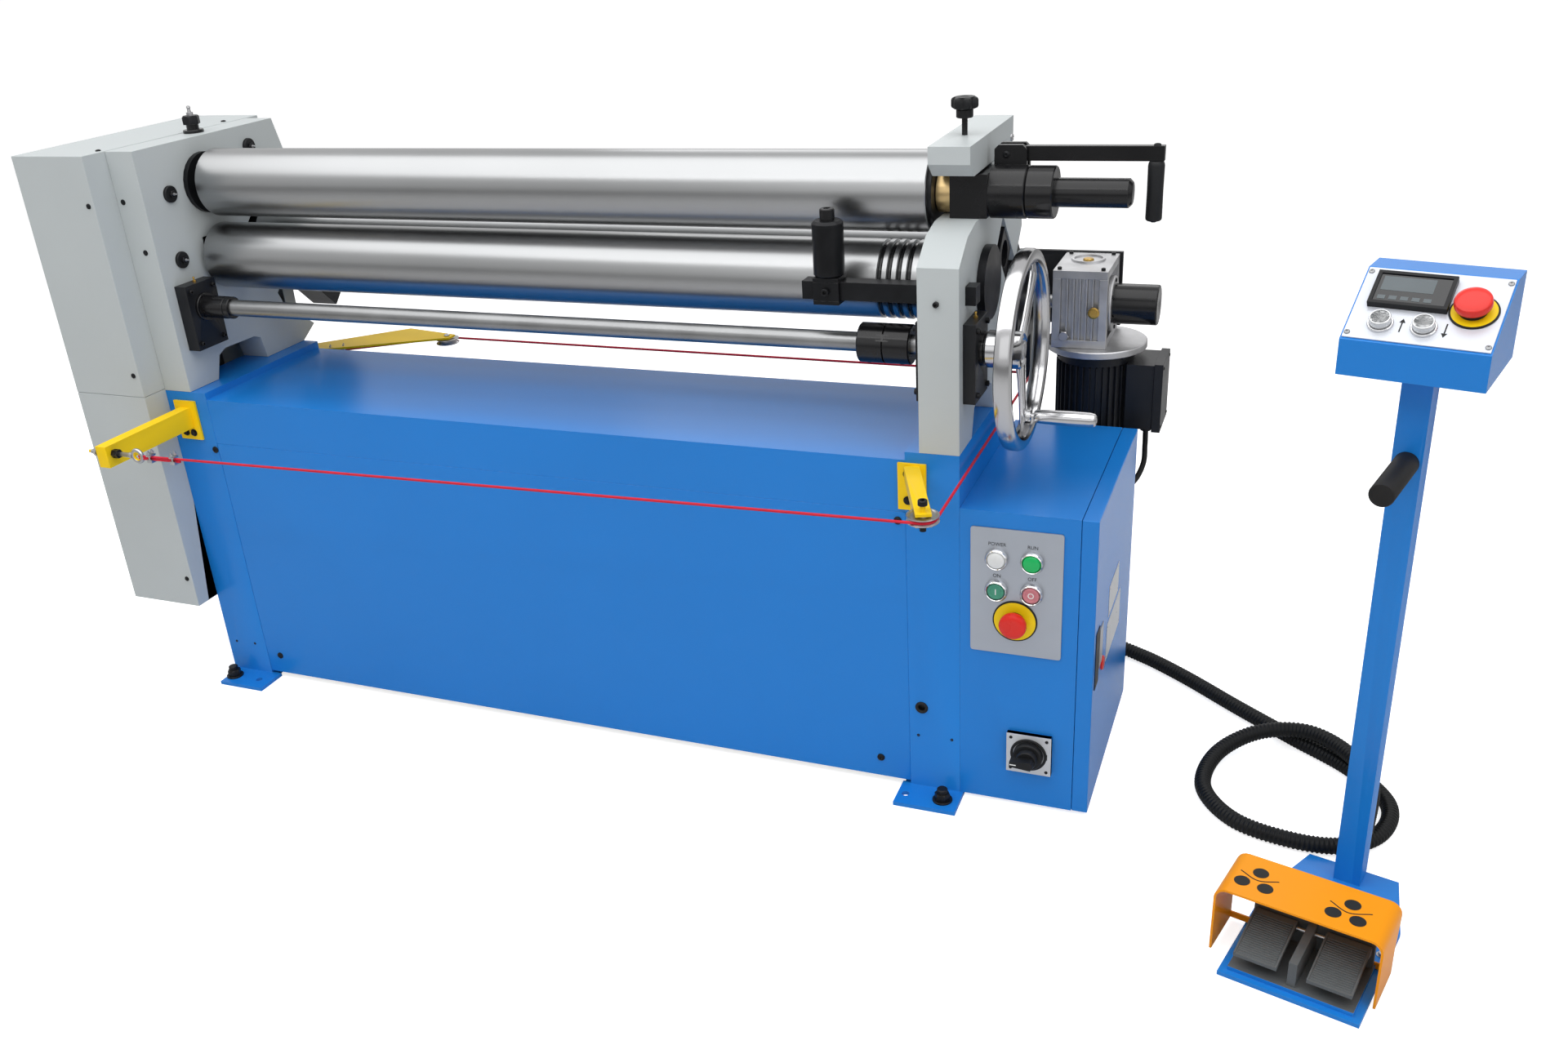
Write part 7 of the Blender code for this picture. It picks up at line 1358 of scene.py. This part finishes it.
class SLIPROLL_OT_pedestal(bpy.types.Operator):
    """Makes the pedestal's grip and pedals, and the buttons, display and screws of its sloping panel"""

    bl_idname = "slip_roll.pedestal"
    bl_label = "Pedestal, Console and Pedals"

    def execute(self, context):
        for name, low, high in (("left_pedal", -0.073, -0.018), ("right_pedal", 0.0185, 0.0735)):
            pedal(name, low, high)
        floor = Piece("pedal_base_and_divider", STAND)
        floor.block((-0.0778, -0.2698, 0.0062), (0.0778, -0.1702, 0.0124), "grey plastic")
        ridge = [(-0.2645, 0.0124), (-0.1712, 0.0124), (-0.1712, 0.054), (-0.195, 0.052), (-0.2645, 0.0486)]
        floor.prism(ridge, "X", -0.0052, 0.0056, "grey plastic")
        floor.block((-0.076, -0.18, 0.0124), (0.076, -0.1715, 0.062), "grey plastic")
        floor.tube([(-0.0735, -0.19, 0.043), (0.0735, -0.19, 0.043)], 0.0026, "zinc", 12)
        for x in (-0.06, 0.06):
            floor.pan_screw((x, -0.186, 0.0124), Z, 0.0032)
        floor.done("machine", edge=sizes().fine_edge)

        marks = Piece("guard_marks")
        dot = [(-0.0005, 0.01), (0.0003, 0.01), (0.0003, 0)]
        for x, y in GUARD_MARKS:
            marks.turned((x, y, 0.107), Z, dot, "black mark", 36)
        for arc in GUARD_ARCS:
            spots = [Vector((x, y, 0.1068)) for x, y in arc]
            marks.tube(smooth_route(spots, 0.003)[0], 0.0009, "black mark", 8)
        marks.done("machine")

        stand = Piece("hand_grip_and_foot_screws", STAND)
        grip = [(0, 0.01), (0, 0.0136), (0.0012, 0.0147), (0.11, 0.0147), (0.112, 0.0135), (0.1122, 0.0)]
        stand.turned((0, -0.0176, 0.635), -Y, grip, "black rubber", 48)
        for x, y in product((-0.078, 0.078), (-0.14, -0.098)):
            stand.hex_bolt((x, y, 0.006), Z, 0.0045, "zinc")
        nut = [(0, 0.0182, hexagon), (0.000175, 0.0182, hexagon), (0.0002, 0.015), (0.00021, 0.013)]
        stand.turned((0, 0.0177, 0.055), Y, nut, PLASTIC, 36)
        stand.done("machine")

        panel = Piece("console_face_and_display", SLOPE)
        panel.block((-0.0785, 0.003, 0.0003), (0.0785, 0.1145, 0.0018), "console plate")
        panel.prism(
            [(-0.0645, 0.052), (0.0215, 0.052), (0.0215, 0.104), (-0.0645, 0.104)], "Z", 0.0017, 0.0082,
            PLASTIC,
        )
        frame_bars = (
            (-0.0645, 0.052, 0.0215, 0.0565), (-0.0645, 0.0995, 0.0215, 0.104),
            (-0.0645, 0.0565, -0.06, 0.0995), (0.017, 0.0565, 0.0215, 0.0995),
        )
        for left, low, right, high in frame_bars:
            panel.block((left, low, 0.008), (right, high, 0.01), PLASTIC)
        panel.block((-0.06, 0.0565, 0.0081), (0.017, 0.0995, 0.0086), "dark glass")
        panel.block((-0.056, 0.074, 0.0085), (0.001, 0.096, 0.0088), "screen grey")
        for key in range(5):
            low, high = (-0.056 + key * 0.0125, 0.06, 0.0085), (-0.0475 + key * 0.0125, 0.066, 0.0089)
            panel.block(low, high, "screen grey")
        for x in (-0.043, 0.0035):
            seat = [
                (0, 0.014), (0.001, 0.0144), (0.0024, 0.0142), (0.003, 0.0136), (0.003, 0.0124),
                (0, 0.0124),
            ]
            panel.turned((x, 0.028, 0.0018), Z, seat, "chrome bezel", 48, ring=True)
            arrow(panel, x + 0.0225, 0.028, 1 if x < 0 else -1)
        stop_disc(panel, (0.048, 0.0596, 0.0018), Z, 0.0262)
        panel.turned(
            (0.047, 0.0596, 0.0018), Z, [(0.0018, 0.015), (0.005, 0.015), (0.006, 0.014), (0.006, 0.01)],
            PLASTIC, 48,
        )
        for x, t in product((-0.0745, 0.0745), (0.01, 0.1075)):
            panel.pan_screw((x, t, 0.0018), Z, 0.0034, "gear steel")
        panel.done("machine", ("console_panel",), edge=0.0003)

        for node in ("up_button", "down_button"):
            x = -0.043 if node == "up_button" else 0.0035
            button = Piece(f"moulded_{node}", SLOPE)
            cap = [(-0.006, 0.0112), (0.011, 0.012), (0.0118, 0.0114), (0.0118, 0.0102), (0.011, 0.01)]
            button.turned((x, 0.028, 0.0018), Z, cap, "silver button", 48)
            button.turned(
                (x, 0.028, 0.0128), Z, [(-0.002, 0.0101), (0.0, 0.0101), (0.0, 0.0)], "grey plastic", 40,
            )
            button.done(BODY_OF[node], (node,))
        stop = Piece("console_red_emergency_button", SLOPE)
        mushroom(stop, (0.047, 0.0596, 0.0018), Z)
        stop.done(BODY_OF["console_emergency_button"], ("console_emergency_button",))
        return {"FINISHED"}


def arrow(piece, x, t, way):
    """A flat arrow printed on the sloping panel, up or down the slope."""
    z = 0.00195
    points = (
        (-0.0008, -0.01), (0.0008, -0.01), (0.0008, 0.0045), (0.0034, 0.0045), (0, 0.011),
        (-0.0034, 0.0045), (-0.0008, 0.0045),
    )
    spots = [piece.point((x + a, t + b * way, z)) for a, b in points]
    piece.face(spots if way > 0 else list(reversed(spots)), "black mark")


def pedal(name, low, high):
    """A tread with cross ribs and a raised border, hinged at the back."""
    piece = Piece(f"ribbed_{name}", STAND)
    front, back, hinge = -0.268, -0.197, -0.19
    front_z, back_z, thick = 0.036, 0.05, 0.006
    lean = (back_z - front_z) / (back - front)
    border = 0.0009
    sunk = border + 0.0002
    outline = [
        (front, front_z - thick), (back, back_z - thick), (hinge - 0.005, 0.038), (hinge + 0.005, 0.038),
        (hinge + 0.005, back_z + lean * (hinge - back) - border), (front, front_z - border),
    ]
    piece.prism(outline, "X", low, high, "grey plastic")
    step = sizes().knurl
    at = front + 0.003
    while at < hinge - 0.004:
        top = front_z + lean * (at - front)
        tip = top + lean * step * 0.5
        foot = step * 0.62
        rib = [(at, top - sunk), (at + foot, top + lean * foot - sunk)]
        rib += [(at + step * 0.44, tip), (at + step * 0.18, tip)]
        piece.prism(rib, "X", low + 0.0035, high - 0.0035, "grey plastic")
        at += step
    for x in (low, high - 0.0025):
        hinge_z = front_z + lean * (hinge - front)
        edge = [(front, front_z - sunk), (hinge, hinge_z - sunk), (hinge, hinge_z), (front, front_z)]
        piece.prism(edge, "X", x, x + 0.0025, "grey plastic")
    piece.done(BODY_OF[name], (name,), 0.0004)


# The hose


def smooth_route(points, step):
    """Places at even steps along a curve through the points, and its length."""
    ends = [points[0] * 2 - points[1], *points, points[-1] * 2 - points[-2]]
    fine = []
    for before, first, second, after in zip(ends, ends[1:], ends[2:], ends[3:]):
        for part in range(ROUTE_PARTS):
            t = part / ROUTE_PARTS
            bend = (second - before) * t + (before * 2 - first * 5 + second * 4 - after) * t**2
            fine.append((first * 2 + bend + (first * 3 - before - second * 3 + after) * t**3) / 2)
    fine.append(points[-1])
    reach = [0.0]
    for first, second in zip(fine, fine[1:]):
        reach.append(reach[-1] + (second - first).length)
    count = round(reach[-1] / step) + 1
    places, index = [], 0
    for number in range(count):
        wanted = reach[-1] * number / (count - 1)
        while index < len(fine) - 2 and reach[index + 1] < wanted:
            index += 1
        share = (wanted - reach[index]) / (reach[index + 1] - reach[index])
        places.append(fine[index].lerp(fine[index + 1], share))
    return places, reach[-1]


class SLIPROLL_OT_hose(bpy.types.Operator):
    """Lays the ribbed hose on the floor between the electrical box and the pedestal"""

    bl_idname = "slip_roll.hose"
    bl_label = "Control Hose"

    def execute(self, context):
        straight = [HOSE_RADIUS * 2 * share for share in (0, 1 / 2, 1, 3 / 2)]
        route = [HOSE_START + Y * reach for reach in straight]
        route += [Vector(place) for place in HOSE_ROUTE]
        route += [HOSE_END + HOSE_BACK * reach for reach in reversed(straight)]
        wave = (0.0, 0.35, 1.0, 1.0, 0.35)
        places, length = smooth_route(route, sizes().hose_rib / len(wave))
        for place in places:
            place.z = max(place.z, HOSE_RADIUS + HOSE_CLEARANCE)
        radii = [
            HOSE_VALLEY + (HOSE_RADIUS - HOSE_VALLEY) * wave[i % len(wave)] for i in range(len(places))
        ]
        hose = Piece("ribbed_hose")
        hose.tube(places, radii, "hose plastic", 20)
        thing = hose.done("machine", ("control_hose",), sharp=60)
        return {"FINISHED"}


# The studio

# The camera fitted to the photo
LENS_LENGTH, SENSOR_WIDTH = 31.781, 36
LENS_SHIFT = (0.0196, 0.00878)
SIGHT = 200
CAMERA_PLACE = (0.91624, -1.86301, 1.30293)
CAMERA_RIGHT = Vector((0.925852, 0.372378, -0.064287))
CAMERA_UP = Vector((-0.102774, 0.411845, 0.90544))
CAMERA_FORWARD = Vector((-0.363643, 0.831696, -0.419578))

# Strengths of the surroundings and of the floor
AMBIENT, FLOOR_GLOW = 0.31, 0.74
MIRRORED_SKY = (0.4, 0.55)
FLOOR_TONE, FLOOR_ROUGHNESS = 0.76, 0.9
FLOOR_HALF, FLOOR_Z = 60, -0.0005

# Name, place, target, size and power of each lamp
LAMPS = (
    ("overhead softbox", (-0.2, -0.7, 3.2), (-0.2, -0.1, 0.6), (6.0, 3.6), 122),
    ("front softbox", (0.3, -3.6, 2.0), (-0.1, 0.0, 0.6), (3.0, 1.6), 8),
    ("side softbox", (3.3, -1.6, 1.7), (0.4, 0.0, 0.5), (1.8, 1.8), 12),
    ("back softbox", (-0.4, 3.2, 2.6), (-0.2, 0.1, 0.6), (3.0, 1.2), 15),
    ("strip light", (-0.25, -1.9, 2.5), (-0.25, 0.0, 0.85), (2.8, 0.1), 4),
)


def seen_rays(tree):
    """The outputs of a Light Path, and what is 1 for rays that the camera sees, through glass too."""
    rays = add(tree, "LightPath").outputs
    return rays, node_result(tree, "MAXIMUM", rays["Is Camera Ray"], rays["Is Transmission Ray"])


def lamp(name, place, target, size, power):
    """A soft rectangular lamp that points at its target."""
    light = bpy.data.lights.new(name, "AREA")
    light.shape = "RECTANGLE"
    light.size, light.size_y = size
    light.energy = power
    thing = bpy.data.objects.new(name, light)
    thing.location = place
    thing.rotation_euler = (Vector(target) - Vector(place)).to_track_quat("-Z", "Y").to_euler()
    bpy.context.scene.collection.objects.link(thing)


class SLIPROLL_OT_stage(bpy.types.Operator):
    """Sets the camera, the pale floor, the white surroundings and the soft lamps"""

    bl_idname = "slip_roll.stage"
    bl_label = "Studio"

    def execute(self, context):
        scene = context.scene
        scene.view_settings.view_transform = "Standard"
        lens = bpy.data.cameras.new("photograph view")
        lens.lens, lens.sensor_width = LENS_LENGTH, SENSOR_WIDTH
        lens.shift_x, lens.shift_y = LENS_SHIFT
        lens.clip_end = SIGHT
        camera = bpy.data.objects.new("camera", lens)
        turn = Matrix((CAMERA_RIGHT, CAMERA_UP, -CAMERA_FORWARD)).transposed().to_4x4()
        camera.matrix_world = Matrix.Translation(CAMERA_PLACE) @ turn
        scene.collection.objects.link(camera)
        scene.camera = camera

        world = bpy.data.worlds.new("white surroundings")
        scene.world = world
        world.use_nodes = True
        tree = world.node_tree
        tree.nodes.clear()
        rays, seen = seen_rays(tree)
        way = add(tree, "TexCoord")
        parts = add(tree, "SeparateXYZ", {0: way.outputs["Generated"]})
        low, high = MIRRORED_SKY
        mirrored = add(tree, "MapRange", {0: parts.outputs["Z"], 1: 0.0, 2: 0.5, 3: low, 4: high})
        glossy = node_result(tree, "MULTIPLY_ADD", rays["Is Glossy Ray"], mirrored.outputs[0], AMBIENT)
        strength = add(tree, "Mix", {0: seen, 2: glossy, 3: 1.0})
        sky = add(tree, "Background", {"Color": (1, 1, 1, 1), "Strength": strength.outputs[0]})
        out = tree.nodes.new("ShaderNodeOutputWorld")
        tree.links.new(sky.outputs[0], out.inputs[0])

        for row in LAMPS:
            lamp(*row)

        mesh = bpy.data.meshes.new("floor")
        shape = bmesh.new()
        bmesh.ops.create_grid(shape, x_segments=1, y_segments=1, size=FLOOR_HALF)
        shape.to_mesh(mesh)
        shape.free()
        material = bpy.data.materials.new("pale floor")
        material.use_nodes = True
        tree = material.node_tree
        shader = tree.nodes["Principled BSDF"]
        shader.inputs["Base Color"].default_value = (FLOOR_TONE, FLOOR_TONE, FLOOR_TONE, 1)
        shader.inputs["Roughness"].default_value = FLOOR_ROUGHNESS
        shader.inputs["Emission Color"].default_value = (1, 1, 1, 1)
        glow = node_result(tree, "MULTIPLY", seen_rays(tree)[1], FLOOR_GLOW)
        tree.links.new(glow, shader.inputs["Emission Strength"])
        mesh.materials.append(material)
        floor = bpy.data.objects.new("floor", mesh)
        floor.location.z = FLOOR_Z
        scene.collection.objects.link(floor)
        return {"FINISHED"}


class SLIPROLL_PT_sidebar(bpy.types.Panel):
    """Lists the settings and the steps that make the machine"""

    bl_idname = "SLIPROLL_PT_sidebar"
    bl_label = "Slip Roll Machine"
    bl_space_type = "VIEW_3D"
    bl_region_type = "UI"
    bl_category = "Slip Roll"

    def draw(self, context):
        layout = self.layout
        for settings in (context.scene.slip_roll_colours, context.scene.slip_roll_sizes):
            column = layout.column(align=True)
            for name in settings.bl_rna.properties.keys():
                if name not in ("name", "rna_type"):
                    column.prop(settings, name)
        for step in STEPS:
            layout.operator(step.bl_idname)


STEPS = (
    SLIPROLL_OT_stage,
    SLIPROLL_OT_hose,
    SLIPROLL_OT_skins,
    SLIPROLL_OT_rolls,
    SLIPROLL_OT_release_end,
    SLIPROLL_OT_adjusters,
    SLIPROLL_OT_frame_fittings,
    SLIPROLL_OT_base_fittings,
    SLIPROLL_OT_rear_drive,
    SLIPROLL_OT_controls,
    SLIPROLL_OT_trip_wire,
    SLIPROLL_OT_work_guide,
    SLIPROLL_OT_pedestal,
)
CLASSES = (SlipRollColours, SlipRollSizes, *STEPS, SLIPROLL_PT_sidebar)


def register():
    for kind in CLASSES:
        bpy.utils.register_class(kind)
    bpy.types.Scene.slip_roll_colours = bpy.props.PointerProperty(type=SlipRollColours)
    bpy.types.Scene.slip_roll_sizes = bpy.props.PointerProperty(type=SlipRollSizes)


def unregister():
    del bpy.types.Scene.slip_roll_colours
    del bpy.types.Scene.slip_roll_sizes
    for kind in reversed(CLASSES):
        bpy.utils.unregister_class(kind)


def main():
    register()
    make_finishes()
    for step in STEPS:
        group, name = step.bl_idname.split(".")
        getattr(getattr(bpy.ops, group), name)()


if __name__ == "__main__":
    main()
